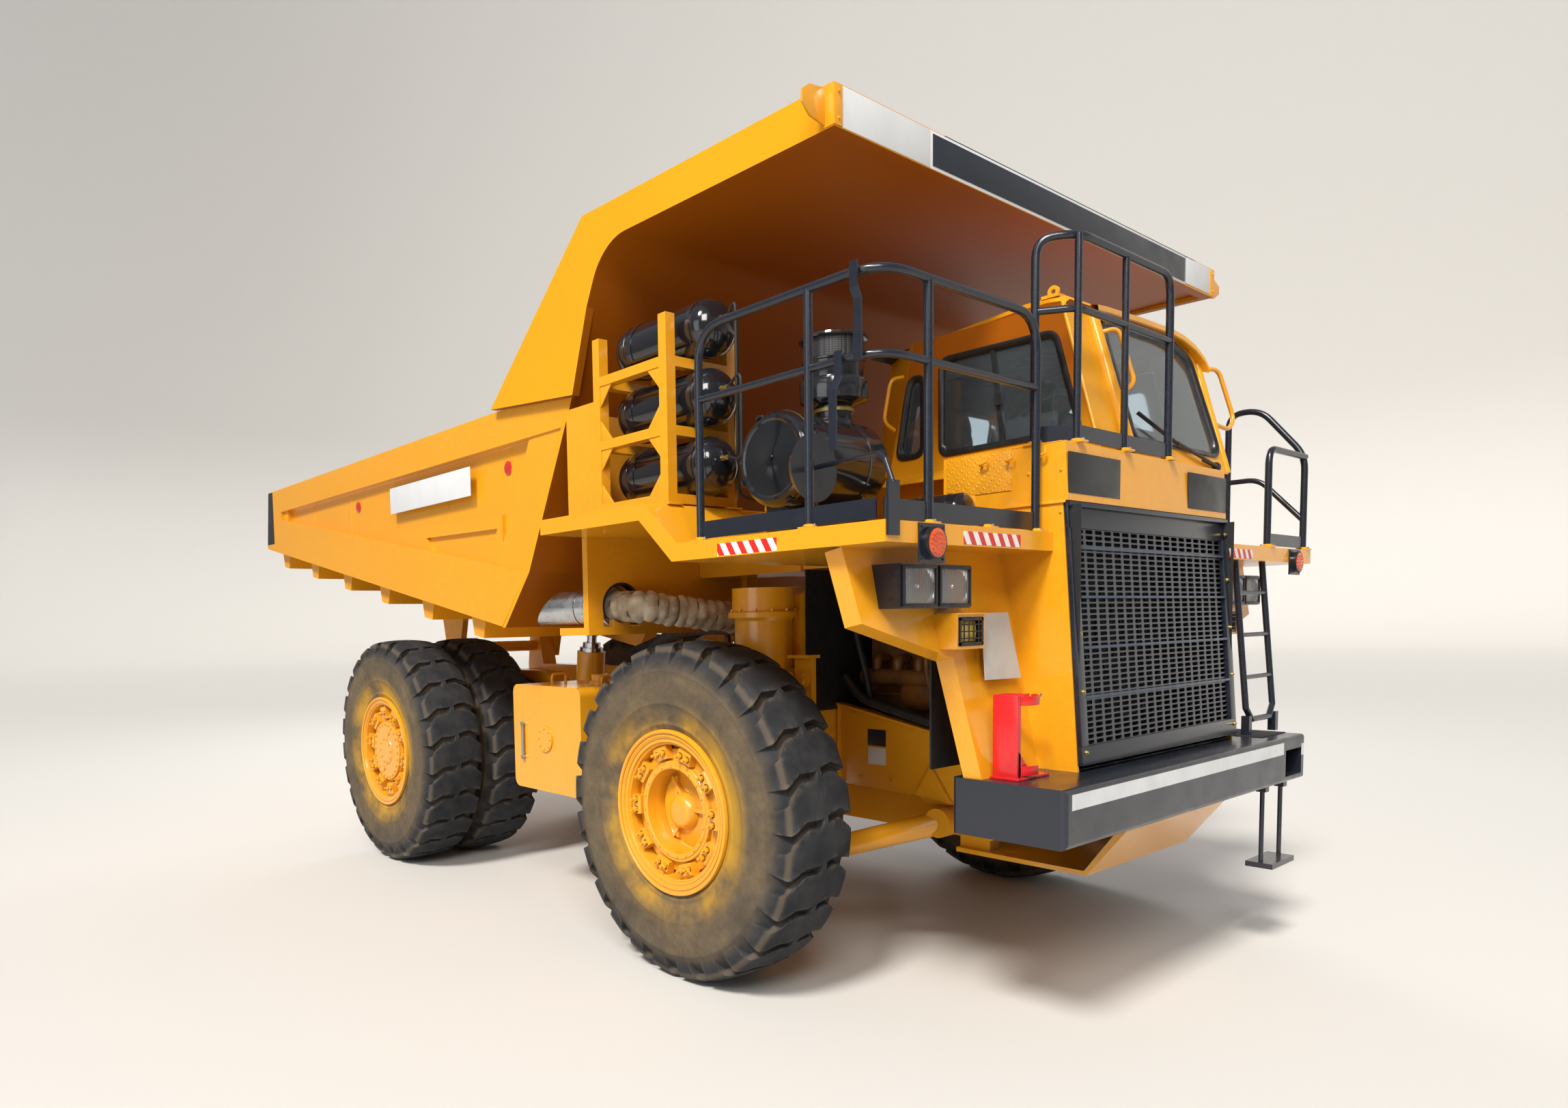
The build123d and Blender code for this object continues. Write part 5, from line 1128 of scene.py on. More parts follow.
def add_slot_cell(bm, place, y0, y1, z0, z1, margin_y, margin_z, front, back):
    """One cell of a punched sheet: a slot with rounded ends and the metal round it."""
    rim = [(y0, z0), (y1, z0), (y1, z1), (y0, z1)]
    a, b, c, d = y0 + margin_y, y1 - margin_y, z0 + margin_z, z1 - margin_z
    cut = (d - c) * 0.32
    hole = [
        (a + cut, c), (b - cut, c), (b, c + cut), (b, d - cut), (b - cut, d), (a + cut, d), (a, d - cut), (a, c + cut)
    ]
    outer = [bm.verts.new(place @ Vector((front, y, z))) for y, z in rim]
    near = [bm.verts.new(place @ Vector((front, y, z))) for y, z in hole]
    far = [bm.verts.new(place @ Vector((back, y, z))) for y, z in hole]
    for corner in range(4):
        following = (corner + 1) % 4
        first, second = near[2 * corner], near[(2 * corner + 1) % 8]
        bm.faces.new((outer[corner], outer[following], second, first))
        bm.faces.new((outer[following], near[(2 * corner + 2) % 8], second))
    for i in range(8):
        j = (i + 1) % 8
        bm.faces.new((near[i], near[j], far[j], far[i]))


def fan_guard(place):
    """Dark fan, its ring and spokes that show faintly through the slots."""
    bm = bmesh.new()
    middle = place @ Matrix.Translation((-0.19, 0, 0.62))
    for radius in (0.16, 0.3, 0.44, 0.56):
        add_lathe(
            bm,
            ((-0.006, radius - 0.005), (-0.006, radius + 0.005), (0.006, radius + 0.005), (0.006, radius - 0.005)),
            middle, 64, True,
        )
    for i in range(8):
        spoke = middle @ Matrix.Rotation(2 * pi * i / 8, 4, "X")
        add_box(bm, (-0.005, -0.006, 0.0), (0.005, 0.006, 0.56), spoke)
    piece("fan_guard", bm, finish("Soot Black Steel"), bevel=0.001)


def build_grille(context):
    settings = context.scene.truck_front
    place = grille_place()
    side, foot, head = 0.062, 0.088, 0.118
    width = 2 * (GRILLE_HALF - side) / settings.columns
    height = (GRILLE_HEIGHT - foot - head) / settings.rows
    bm = bmesh.new()
    for row in range(settings.rows):
        for column in range(settings.columns):
            y, z = -GRILLE_HALF + side + column * width, foot + row * height
            add_slot_cell(bm, place, y, y + width, z, z + height, width * 0.12, height * 0.15, -0.012, -0.02)
    piece("grille_sheet", bm, dark_paint(), smooth_angle=25)
    bm = bmesh.new()
    half = GRILLE_HALF
    for low, high in (
        ((-0.024, -half, 0.0), (0.002, half, foot)),
        ((-0.024, -half, GRILLE_HEIGHT - head), (-0.004, half, GRILLE_HEIGHT)),
        ((-0.024, -half, foot), (0.002, -half + side, GRILLE_HEIGHT - head)),
        ((-0.024, half - side, foot), (0.002, half, GRILLE_HEIGHT - head)),
        ((-0.004, -half, GRILLE_HEIGHT - 0.022), (0.012, half, GRILLE_HEIGHT)),
    ):
        add_box(bm, low, high, place)
    frame_piece = piece("grille_surround", bm, dark_paint(), bevel=0.003)
    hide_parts("grille")
    bm = bmesh.new()
    for share in (0.258, 0.447, 0.64, 0.827):
        z = GRILLE_HEIGHT * share
        add_box(bm, (-0.013, -half + side, z - 0.006), (0.004, half - side, z + 0.006), place)
    piece("grille_bars", bm, finish("Worn Blue Steel"), bevel=0.0015)
    bm = bmesh.new()
    out = place.to_3x3() @ Vector((1, 0, 0))
    for y in (-half + 0.03, half - 0.03):
        for share in (0.05, 0.28, 0.5, 0.72, 0.93):
            add_bolt(bm, place @ Vector((0.002, y, GRILLE_HEIGHT * share)), out, 0.013, 0.012)
    piece("grille_bolts", bm, finish("Yellow Zinc"))
    bm = bmesh.new()
    for low, high in (
        ((3.927, -0.862, 2.514), (3.9345, -0.378, 2.7)), ((3.927, 0.38, 2.514), (3.9345, 0.862, 2.704))
    ):
        add_box(bm, low, high)
    piece("nose_squares", bm, finish("Matt Black Panel"), bevel=0.002)
    bm = bmesh.new()
    for s in (-1, 1):
        add_box(bm, (3.3, s * 0.872, 2.47), (3.925, s * 0.88, 2.484))
        for x in (3.36, 3.55, 3.74, 3.9):
            add_bolt(bm, (x, s * 0.87, 2.62), (0, s, 0), 0.01, 0.008)
            add_bolt(bm, (x, s * 0.87, 2.43), (0, s, 0), 0.01, 0.008)
    piece("nose_seams", bm, yellow_paint(), bevel=0.002)
    fan_guard(place)


class TRUCK_OT_grille(bpy.types.Operator):
    """Punch the slotted radiator grille and frame it with a header, cross bars and bolts"""

    bl_idname = "truck.grille"
    bl_label = "Radiator Grille"

    def execute(self, context):
        build_grille(context)
        return {"FINISHED"}


def build_bumper():
    bm = bmesh.new()
    add_box(bm, (3.66, 1.0, 1.2395), (4.1, 1.352, 1.2445))
    add_box(bm, (3.66, -0.6, 1.2395), (3.98, 0.62, 1.2435))
    piece("bumper_tread", bm, finish("Grip Pad"), bevel=0.0015)
    bm = bmesh.new()
    for x, y in ((3.72, 0.7), (3.72, -0.7), (3.92, 0.9), (3.92, -0.74)):
        add_bolt(bm, (x, y, 1.24), (0, 0, 1), 0.016, 0.01)
    piece("bumper_bolts", bm, dark_paint())
    bm = bmesh.new()
    red = finish("Signal Red Enamel")
    x, y, z = 3.875, -1.19, 1.241
    add_box(bm, (x - 0.07, y - 0.095, z), (x + 0.07, y + 0.16, z + 0.012))
    add_box(bm, (x - 0.06, y - 0.09, z), (x + 0.06, y - 0.08, z + 0.375))
    for edge in (x - 0.06, x + 0.052):
        add_prism(bm, ((edge, y - 0.08, z), (edge, y + 0.05, z), (edge, y - 0.08, z + 0.13)), (0.008, 0, 0))
        add_box(bm, (edge, y - 0.08, z), (edge + 0.008, y - 0.062, z + 0.375))
    band = ((0.086, 0.0), (0.092, 0.0), (0.092, 0.042), (0.086, 0.042), (0.086, 0.0))
    for low, span in ((0.02, 210), (0.328, 330)):

        def section(a):
            return [Vector((x + r * cos(a), y + 0.01 + r * sin(a), z + low + h)) for r, h in band]

        add_band(bm, -90 - span / 2, span, 24, section)
    for edge in (-0.02, 0.014):
        add_box(bm, (x + edge, y + 0.095, z + 0.33), (x + edge + 0.006, y + 0.135, z + 0.368))
    piece("extinguisher_bracket", bm, red, bevel=0.0015)
    bm = bmesh.new()
    for dx, dy in ((0.045, 0.18), (-0.045, 0.18), (0.045, -0.07), (0.0, 0.12)):
        add_bolt(bm, (x + dx, y + dy, z + 0.012), (0, 0, 1), 0.012, 0.012)
    add_bar(bm, (x - 0.035, y + 0.115, z + 0.349), (x + 0.045, y + 0.115, z + 0.349), 0.005)
    add_bar(bm, (x + 0.04, y + 0.09, z + 0.33), (x + 0.04, y + 0.14, z + 0.368), 0.004)
    piece("extinguisher_bolts", bm, finish("Bright Zinc"))
    bm = bmesh.new()
    add_prism(
        bm, ((3.716, -1.222, 1.976), (3.716, -1.005, 1.978), (3.756, -0.955, 1.672), (3.756, -1.25, 1.676)),
        (0.004, 0, 0),
    )
    piece("blank_chart", bm, finish("Blank Chart Plate"))


class TRUCK_OT_bumper(bpy.types.Operator):
    """Dress the bumper with tread pads, bolts and the red bracket, and hang the blank chart"""

    bl_idname = "truck.bumper"
    bl_label = "Bumper"

    def execute(self, context):
        build_bumper()
        return {"FINISHED"}


def build_lamps():
    black = finish("Lamp Moulding")
    silver = finish("Bright Reflector")
    reflectors, lenses, bezels = bmesh.new(), bmesh.new(), bmesh.new()
    face, inner_y, outer_y = 3.76, 1.372, 1.865
    for s in (-1, 1):
        width = (outer_y - inner_y) / 2
        for i in (0, 1):
            y, z = s * (inner_y + (i + 0.5) * width), 2.0925
            half_y, half_z = width / 2 - 0.016, 0.079

            def bowl(u, v):
                x = face - 0.038 + 0.034 * (u * u + v * v) / 2
                return Vector((x, y + u * half_y, z + v * half_z))

            def glass(u, v):
                x = face + 0.01 - 0.008 * (u**4 + v**4) / 2
                return Vector((x, y + u * half_y, z + v * half_z))

            add_dish(reflectors, 12, bowl)
            add_dish(lenses, 12, glass)
            bulb = Matrix.Translation((face - 0.034, y, z))
            add_lathe(reflectors, ((0.0, 0.014), (0.012, 0.013), (0.016, 0.008), (0.017, 0.0)), bulb, 16)
            for low, high in (
                ((-half_y - 0.008, -half_z - 0.008), (half_y + 0.008, -half_z + 0.006)),
                ((-half_y - 0.008, half_z - 0.006), (half_y + 0.008, half_z + 0.008)),
                ((-half_y - 0.008, -half_z), (-half_y + 0.006, half_z)),
                ((half_y - 0.006, -half_z), (half_y + 0.008, half_z)),
            ):
                add_box(bezels, (face - 0.004, y + low[0], z + low[1]), (face + 0.012, y + high[0], z + high[1]))
        for z in (2.04, 2.14):
            add_bolt(bezels, (face - 0.05, s * 1.866, z), (0, s, 0), 0.01, 0.008)
    piece("headlamp_reflectors", reflectors, silver)
    piece("headlamp_lenses", lenses, lamp_lens())
    piece("headlamp_bezels", bezels, black, bevel=0.002)
    fog_face = 3.77
    lens, cage, hood = bmesh.new(), bmesh.new(), bmesh.new()
    for s in (-1, 1):
        y0, y1, z0, z1 = 1.292, 1.473, 1.836, 1.958

        def bulge(u, v):
            x = fog_face - 0.022 + 0.012 * (1 - (u * u + v * v) / 2)
            return Vector((x, s * ((y0 + y1) / 2 + u * 0.066), 1.897 + v * 0.044))

        add_dish(lens, 8, bulge)
        for z in (z0, z1 - 0.014):
            add_box(cage, (fog_face - 0.03, s * y0, z), (fog_face + 0.006, s * y1, z + 0.014))
        for y in (y0, y1 - 0.014):
            add_box(cage, (fog_face - 0.03, s * y, z0), (fog_face + 0.006, s * (y + 0.014), z1))
        for k in range(1, 5):
            y = y0 + (y1 - y0) * k / 5
            add_bar(cage, (fog_face + 0.004, s * y, z0), (fog_face + 0.004, s * y, z1), 0.0032, 8)
        for k in range(1, 4):
            z = z0 + (z1 - z0) * k / 4
            add_bar(cage, (fog_face + 0.004, s * y0, z), (fog_face + 0.004, s * y1, z), 0.0032, 8)
        add_box(hood, (fog_face - 0.1, s * 1.274, 1.972), (fog_face + 0.012, s * 1.491, 1.978))
        add_box(hood, (fog_face - 0.1, s * 1.486, 1.822), (fog_face + 0.004, s * 1.492, 1.974))
    piece("fog_lenses", lens, finish("Amber Fog Glass"))
    piece("fog_cages", cage, black, bevel=0.001)
    piece("fog_hoods", hood, yellow_paint(), bevel=0.0015)
    discs, rings = bmesh.new(), bmesh.new()
    for s, back in ((-1, 3.865), (1, 3.97)):
        y, z = s * 1.81, 2.258
        middle = Matrix.Translation((back + 0.028, y, z))
        add_lathe(discs, ((0.0, 0.06), (0.004, 0.06), (0.008, 0.055), (0.01, 0.04), (0.011, 0.0)), middle, 48)
        for ring, count in ((0.0, 1), (0.022, 7), (0.043, 14)):
            for dy, dz in around(count, ring):
                dot = middle @ Matrix.Translation((0.008, dy, dz))
                add_lathe(discs, ((0.0, 0.0075), (0.004, 0.0065), (0.0055, 0.004), (0.006, 0.0)), dot, 10)
        add_lathe(
            rings, ((-0.004, 0.06), (-0.004, 0.0655), (0.004, 0.0655), (0.006, 0.062), (0.006, 0.058)), middle, 48
        )
        for dy, dz in ((-0.07, 0.063), (0.07, 0.063), (-0.07, -0.063), (0.07, -0.063)):
            add_bolt(rings, (back + 0.008, y + dy, z + dz), (1, 0, 0), 0.007, 0.005)
    piece("signal_lenses", discs, finish("Amber Signal Lens"))
    piece("signal_rings", rings, black)


class TRUCK_OT_lamps(bpy.types.Operator):
    """Fit the lenses, reflectors, bezels and guards of the front lamps"""

    bl_idname = "truck.lamps"
    bl_label = "Lamps"

    def execute(self, context):
        build_lamps()
        return {"FINISHED"}


# ------------------------------------------------------------------ decks and what stands on them
def build_guard_rails(context):
    radius = context.scene.truck_front.rail
    thin = radius * 0.86
    feet = []
    bm = bmesh.new()
    y, x, z, top, mid, rear, end = -2.05, 3.805, DECK_TOP, 3.32, 2.995, 2.76, -0.92
    add_tube(bm, ((rear, y, z), (rear, y, top), (x, y, top), (x, end, top), (x, end, z)), radius, 0.17, 18)
    add_tube(bm, ((rear, y, mid), (x, y, mid), (x, end, mid)), thin, 0.17, 18)
    for px, py in ((3.44, y), (x, -1.74)):
        add_bar(bm, (px, py, z), (px, py, top), radius, 18)
        feet.append((px, py, z))
    feet += [(x, -1.32, z), (rear, y, z), (x, end, z)]
    add_box(bm, (rear, y - 0.004, z + 0.012), (x - 0.02, y + 0.004, z + 0.092))
    add_box(bm, (x - 0.004, y + 0.02, z + 0.012), (x + 0.004, end, z + 0.092))
    for sx, sz, tilt in ((3.7, top, 0.1), (3.62, mid, -0.06)):
        path = (
            (sx, y - 0.022, sz + 0.03), (sx, y - 0.022, sz - 0.07), (sx + tilt * 0.3, y - 0.036, sz - 0.12),
            (sx + tilt * 0.3, y - 0.036, sz - 0.36),
        )
        for (x0, y0, z0), (x1, y1, z1) in zip(path, path[1:]):
            add_prism(
                bm, ((x0 - 0.019, y0, z0), (x0 + 0.019, y0, z0), (x1 + 0.019, y1, z1), (x1 - 0.019, y1, z1)),
                (0, -0.008, 0),
            )
    right = piece("rail_right", bm, dark_paint(), smooth_angle=40)
    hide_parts("handrail_right")
    bm = bmesh.new()
    x, z, high, mid = 3.906, 2.75, 3.69, 3.36
    start = (x - 0.15, -0.85)
    add_tube(bm, ((*start, z), (*start, high), (x, -0.745, high), (x, 0.19, high), (x, 0.19, z)), radius, 0.1, 18)
    add_tube(bm, ((*start, mid), (x, -0.745, mid), (x, 0.19, mid)), thin, 0.06, 18)
    for py in (-0.745, -0.29):
        add_bar(bm, (x, py, z), (x, py, high), thin, 18)
    add_box(bm, (x - 0.004, -0.745, z + 0.012), (x + 0.004, 0.19, z + 0.085))
    add_prism(
        bm,
        (
            (x - 0.15, -0.854, z + 0.012), (x, -0.745, z + 0.012), (x, -0.745, z + 0.085),
            (x - 0.15, -0.854, z + 0.085),
        ),
        (0.006, 0, 0),
    )
    front = piece("rail_front", bm, dark_paint(), smooth_angle=40)
    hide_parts("handrail_front")
    feet += [(*start, z), (x, -0.745, z), (x, -0.29, z), (x, 0.19, z)]
    bm = bmesh.new()
    y, x, z = 2.05, 3.94, DECK_TOP
    add_tube(
        bm, ((3.49, y, z), (3.49, y, z + 0.93), (3.68, y, z + 0.93), (x, y, z + 0.6), (x, y, z)), radius, 0.09, 18
    )
    add_tube(bm, ((3.49, y, z + 0.48), (3.68, y, z + 0.48), (x, y, z + 0.19)), thin, 0.07, 18)
    add_tube(bm, ((x, y, z + 0.59), (x, 1.46, z + 0.59), (x, 1.46, z)), radius, 0.09, 18)
    add_box(bm, (x - 0.004, 1.46, z + 0.012), (x + 0.004, y, z + 0.085))
    left = piece("rail_left", bm, dark_paint(), smooth_angle=40)
    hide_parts("handrail_left")
    feet += [(3.49, y, z), (x, y, z), (x, 1.46, z)]
    pads, bolts = bmesh.new(), bmesh.new()
    for fx, fy, fz in feet:
        add_box(pads, (fx - 0.042, fy - 0.03, fz), (fx + 0.042, fy + 0.03, fz + 0.01))
        add_lathe(
            pads, ((0.01, radius + 0.012), (0.02, radius + 0.003), (0.02, radius)),
            along((fx, fy, fz), (fx, fy, fz + 1)), 20,
        )
        for dx in (-0.03, 0.03):
            add_bolt(bolts, (fx + dx, fy, fz + 0.01), (0, 0, 1), 0.011, 0.01)
    piece("rail_feet", pads, yellow_paint(), bevel=0.002)
    piece("rail_bolts", bolts, finish("Bright Zinc"))


class TRUCK_OT_guard_rails(bpy.types.Operator):
    """Bend the black guard rails round the decks, with posts, toe boards, feet and mirror straps"""

    bl_idname = "truck.guard_rails"
    bl_label = "Guard Rails"

    def execute(self, context):
        build_guard_rails(context)
        return {"FINISHED"}


def build_air_cleaner():
    x, y, z, radius = 2.96, -1.46, 2.725, 0.214
    across = along((x, y, z), (x, y - 1, z))
    bm = bmesh.new()
    drum = (
        (-0.33, 0.0), (-0.33, 0.172), (-0.318, 0.186), (-0.29, 0.2), (-0.27, radius), (-0.18, radius),
        (-0.178, radius + 0.007), (-0.15, radius + 0.007), (-0.148, radius), (0.1, radius),
        (0.102, radius + 0.007), (0.13, radius + 0.007), (0.132, radius), (0.262, radius),
        (0.264, radius + 0.006), (0.271, radius + 0.01), (0.278, radius + 0.006), (0.281, radius + 0.001),
        (0.284, radius + 0.006), (0.291, radius + 0.01), (0.3, radius + 0.006), (0.312, radius - 0.004),
        (0.322, radius - 0.014), (0.324, radius - 0.03), (0.318, radius - 0.04), (0.318, 0.06), (0.322, 0.05),
        (0.322, 0.0),
    )
    add_lathe(bm, drum, across, 96)
    for low, high in (
        ((x - 0.15, y - 0.2, DECK_TOP), (x + 0.15, y - 0.16, 2.56)),
        ((x - 0.15, y + 0.16, DECK_TOP), (x + 0.15, y + 0.2, 2.56)),
    ):
        add_box(bm, low, high)
    neck = along((x, y + 0.13, z + radius - 0.05), (x, y + 0.13, z + 2))
    bowl = (
        (0.0, 0.125), (0.035, 0.1), (0.055, 0.094), (0.118, 0.094), (0.13, 0.11), (0.14, 0.152), (0.146, 0.166),
        (0.225, 0.172), (0.24, 0.168), (0.248, 0.158), (0.252, 0.15), (0.33, 0.15), (0.334, 0.154),
        (0.342, 0.154), (0.346, 0.149),
    )
    add_lathe(bm, bowl, neck, 72)
    lid = ((0.438, 0.148), (0.44, 0.166), (0.446, 0.171), (0.456, 0.168), (0.462, 0.15), (0.474, 0.02), (0.474, 0.0))
    add_lathe(bm, lid, neck, 72)
    cleaner = piece("cleaner_drum", bm, gloss_black(), smooth_angle=28)
    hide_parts("air_cleaner")
    bm = bmesh.new()
    add_lathe(bm, ((0.345, 0.1475), (0.44, 0.1475)), neck, 72)
    piece("cleaner_screen", bm, mesh_screen("Black Screen", (0.045, 0.045, 0.05), 0.0105))
    bm = bmesh.new()
    add_lathe(bm, ((0.092, 0.0945), (0.092, 0.101), (0.108, 0.101), (0.108, 0.0945)), neck, 48)
    add_bar(bm, neck @ Vector((0.1, 0.04, 0.104)), neck @ Vector((0.1, -0.04, 0.104)), 0.006, 10)
    add_lathe(
        bm, ((0.264, radius + 0.0105), (0.264, radius + 0.0125), (0.27, radius + 0.0125), (0.27, radius + 0.0105)),
        across, 72, True,
    )
    piece("cleaner_clamps", bm, finish("Yellow Zinc"))
    bm = bmesh.new()
    for angle in (25, 115, 205, 295):
        catch = across @ Matrix.Rotation(radians(angle), 4, "X")
        add_box(bm, (0.245, -0.014, radius + 0.004), (0.312, 0.014, radius + 0.018), catch)
        add_tube(
            bm,
            [
                catch @ Vector(p)
                for p in ((0.24, -0.01, radius + 0.02), (0.22, 0.0, radius + 0.026), (0.24, 0.01, radius + 0.02))
            ],
            0.003, 0.01, 8,
        )
    add_bar(bm, across @ Vector((0.318, 0, 0)), across @ Vector((0.338, 0, 0)), 0.016, 16)
    piece("cleaner_catches", bm, gloss_black(), bevel=0.0015)
    bm = bmesh.new()
    add_box(bm, (x - 0.05, y + 0.02, z + 0.214), (x + 0.05, y + 0.1, z + 0.2155))
    piece("cleaner_label", bm, finish("Blank Grey Label"))
    bm = bmesh.new()
    low = along((2.6, -1.2, 2.56), (2.6, -1.2, 3.5))
    add_lathe(
        bm,
        ((0, 0.0), (0, 0.062), (0.01, 0.066), (0.19, 0.066), (0.2, 0.07), (0.212, 0.07), (0.22, 0.062), (0.222, 0.0)),
        low, 48,
    )
    piece("small_canister", bm, gloss_black())
    bm = bmesh.new()
    add_prism(bm, ((2.44, -1.3, 2.56), (2.76, -1.3, DECK_TOP), (2.76, -1.3, 2.42), (2.47, -1.3, 2.64)), (0, 0.24, 0))
    piece("canister_stand", bm, yellow_paint(), bevel=0.003)


class TRUCK_OT_air_cleaner(bpy.types.Operator):
    """Roll the air cleaner drum with its clamped cover, neck, precleaner bowl and screen"""

    bl_idname = "truck.air_cleaner"
    bl_label = "Air Cleaner"

    def execute(self, context):
        build_air_cleaner()
        return {"FINISHED"}


def vessel_profile(straight, depth, radius, rib, steps):
    """Outline of a drum along its axis, with domed ends and a raised band near each of them."""
    edge = [(rib - 0.014, radius), (rib - 0.012, radius + 0.003), (rib - 0.002, radius + 0.003), (rib, radius)]
    for k in range(steps):
        a = pi / 2 * k / steps
        edge.append((straight + depth * sin(a), radius * cos(a)))
    edge.append((straight + depth, 0.0))
    return [(-x, r) for x, r in reversed(edge)] + edge


def build_pressure_vessels():
    shell, straps, brass, hoses = bmesh.new(), bmesh.new(), bmesh.new(), bmesh.new()
    middle_x = sum(RACK_POSTS_X) / 2 + 0.1
    hose = 0.0085
    y, radius, half = -1.69, 0.145, 0.4
    tube = vessel_profile(0.295, 0.105, radius, 0.27, 9)
    strap = ((-0.016, 0.1455), (-0.016, 0.1495), (0.016, 0.1495), (0.016, 0.1455))
    ports = []
    for level in RACK_LEVELS:
        z = RACK_FLOOR + level + radius
        place = Matrix.Translation((middle_x, y, z))
        add_lathe(shell, tube, place, 72)
        for offset in (-0.21, 0.27):

            def section(a):
                x = middle_x + offset
                return [Vector((x + dx, y + r * sin(a), z + r * cos(a))) for dx, r in strap]

            add_band(straps, -120, 240, 24, section)
        port = Vector((middle_x + half - 0.01, y - 0.03, z + 0.02))
        ports.append(port)
        add_lathe(
            brass,
            ((0, 0.016), (0.02, 0.016), (0.02, 0.011), (0.04, 0.011), (0.04, 0.014), (0.055, 0.014), (0.055, 0.0)),
            along(port, port + Vector((1, 0, 0))), 6,
        )
    top, centre, low = ports
    for a, b, sag in ((top, centre, 0.1), (centre, low, 0.07)):
        out = Vector((0.055, 0, 0))
        add_tube(
            hoses,
            (a + out, a + out + Vector((sag, -0.01, -0.03)), b + out + Vector((sag * 1.1, -0.02, 0.06)), b + out),
            hose, 0.08, 10,
        )
    add_tube(
        hoses, (low + Vector((0.055, 0, 0)), low + Vector((0.12, 0.0, -0.03)), (2.5, -1.55, 2.62), (2.44, -1.3, 2.6)),
        hose, 0.08, 10,
    )
    pipe_x, pipe_y = 2.455, -1.52
    cube = Vector((0.022, 0.022, 0.022))
    for shift in (0.0, 0.3):
        node = Vector((pipe_x, pipe_y, 2.78 + shift))
        add_box(brass, node - cube, node + cube)
        add_bar(brass, node - Vector((0.05, 0, 0)), node + Vector((0.05, 0, 0)), 0.01, 8)
        add_bar(brass, node, node + Vector((0, -0.05, 0)), 0.009, 8)
    add_bar(brass, (pipe_x, pipe_y, 2.6), (pipe_x, pipe_y, 3.1), 0.0075, 10)
    x = 3.38
    small = vessel_profile(0.15, 0.035, 0.096, 0.1, 7)
    add_lathe(shell, small, Matrix.Translation((x, -1.08, 2.45)), 64)
    for foot in (x - 0.12, x + 0.12):
        add_box(shell, (foot - 0.02, -1.14, DECK_TOP), (foot + 0.02, -1.02, 2.4))
    vessels = piece("vessel_shells", shell, gloss_black(), smooth_angle=30)
    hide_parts("air_tanks")
    piece("vessel_straps", straps, gloss_black(), smooth_angle=30)
    piece("vessel_fittings", brass, finish("Dull Brass"))
    piece("vessel_hoses", hoses, finish("Braided Black Hose"), smooth_angle=60)
    gussets = bmesh.new()
    for level in RACK_LEVELS:
        z = RACK_FLOOR + level
        for gx, toward in ((1.814, 1), (2.325, -1)):
            for gy in (-1.925, -1.49):
                # the top shelf has gussets below it only
                ends = ((-1, z - 0.05), (1, z))[: 1 if level > 0.7 else 2]
                for up, base in ends:
                    add_prism(
                        gussets, ((gx, gy, base), (gx + toward * 0.1, gy, base), (gx, gy, base + up * 0.11)),
                        (0, 0.008, 0),
                    )
    for gx in RACK_POSTS_X:
        for gy in (-1.9, -1.48):
            add_box(gussets, (gx - 0.055, gy - 0.048, RACK_FLOOR), (gx + 0.055, gy + 0.048, RACK_FLOOR + 0.01))
    piece("rack_gussets", gussets, yellow_paint(), bevel=0.002)


class TRUCK_OT_pressure_vessels(bpy.types.Operator):
    """Roll the three stacked vessels and the small one, with bands, fittings and thin hoses"""

    bl_idname = "truck.pressure_vessels"
    bl_label = "Pressure Vessels"

    def execute(self, context):
        build_pressure_vessels()
        return {"FINISHED"}


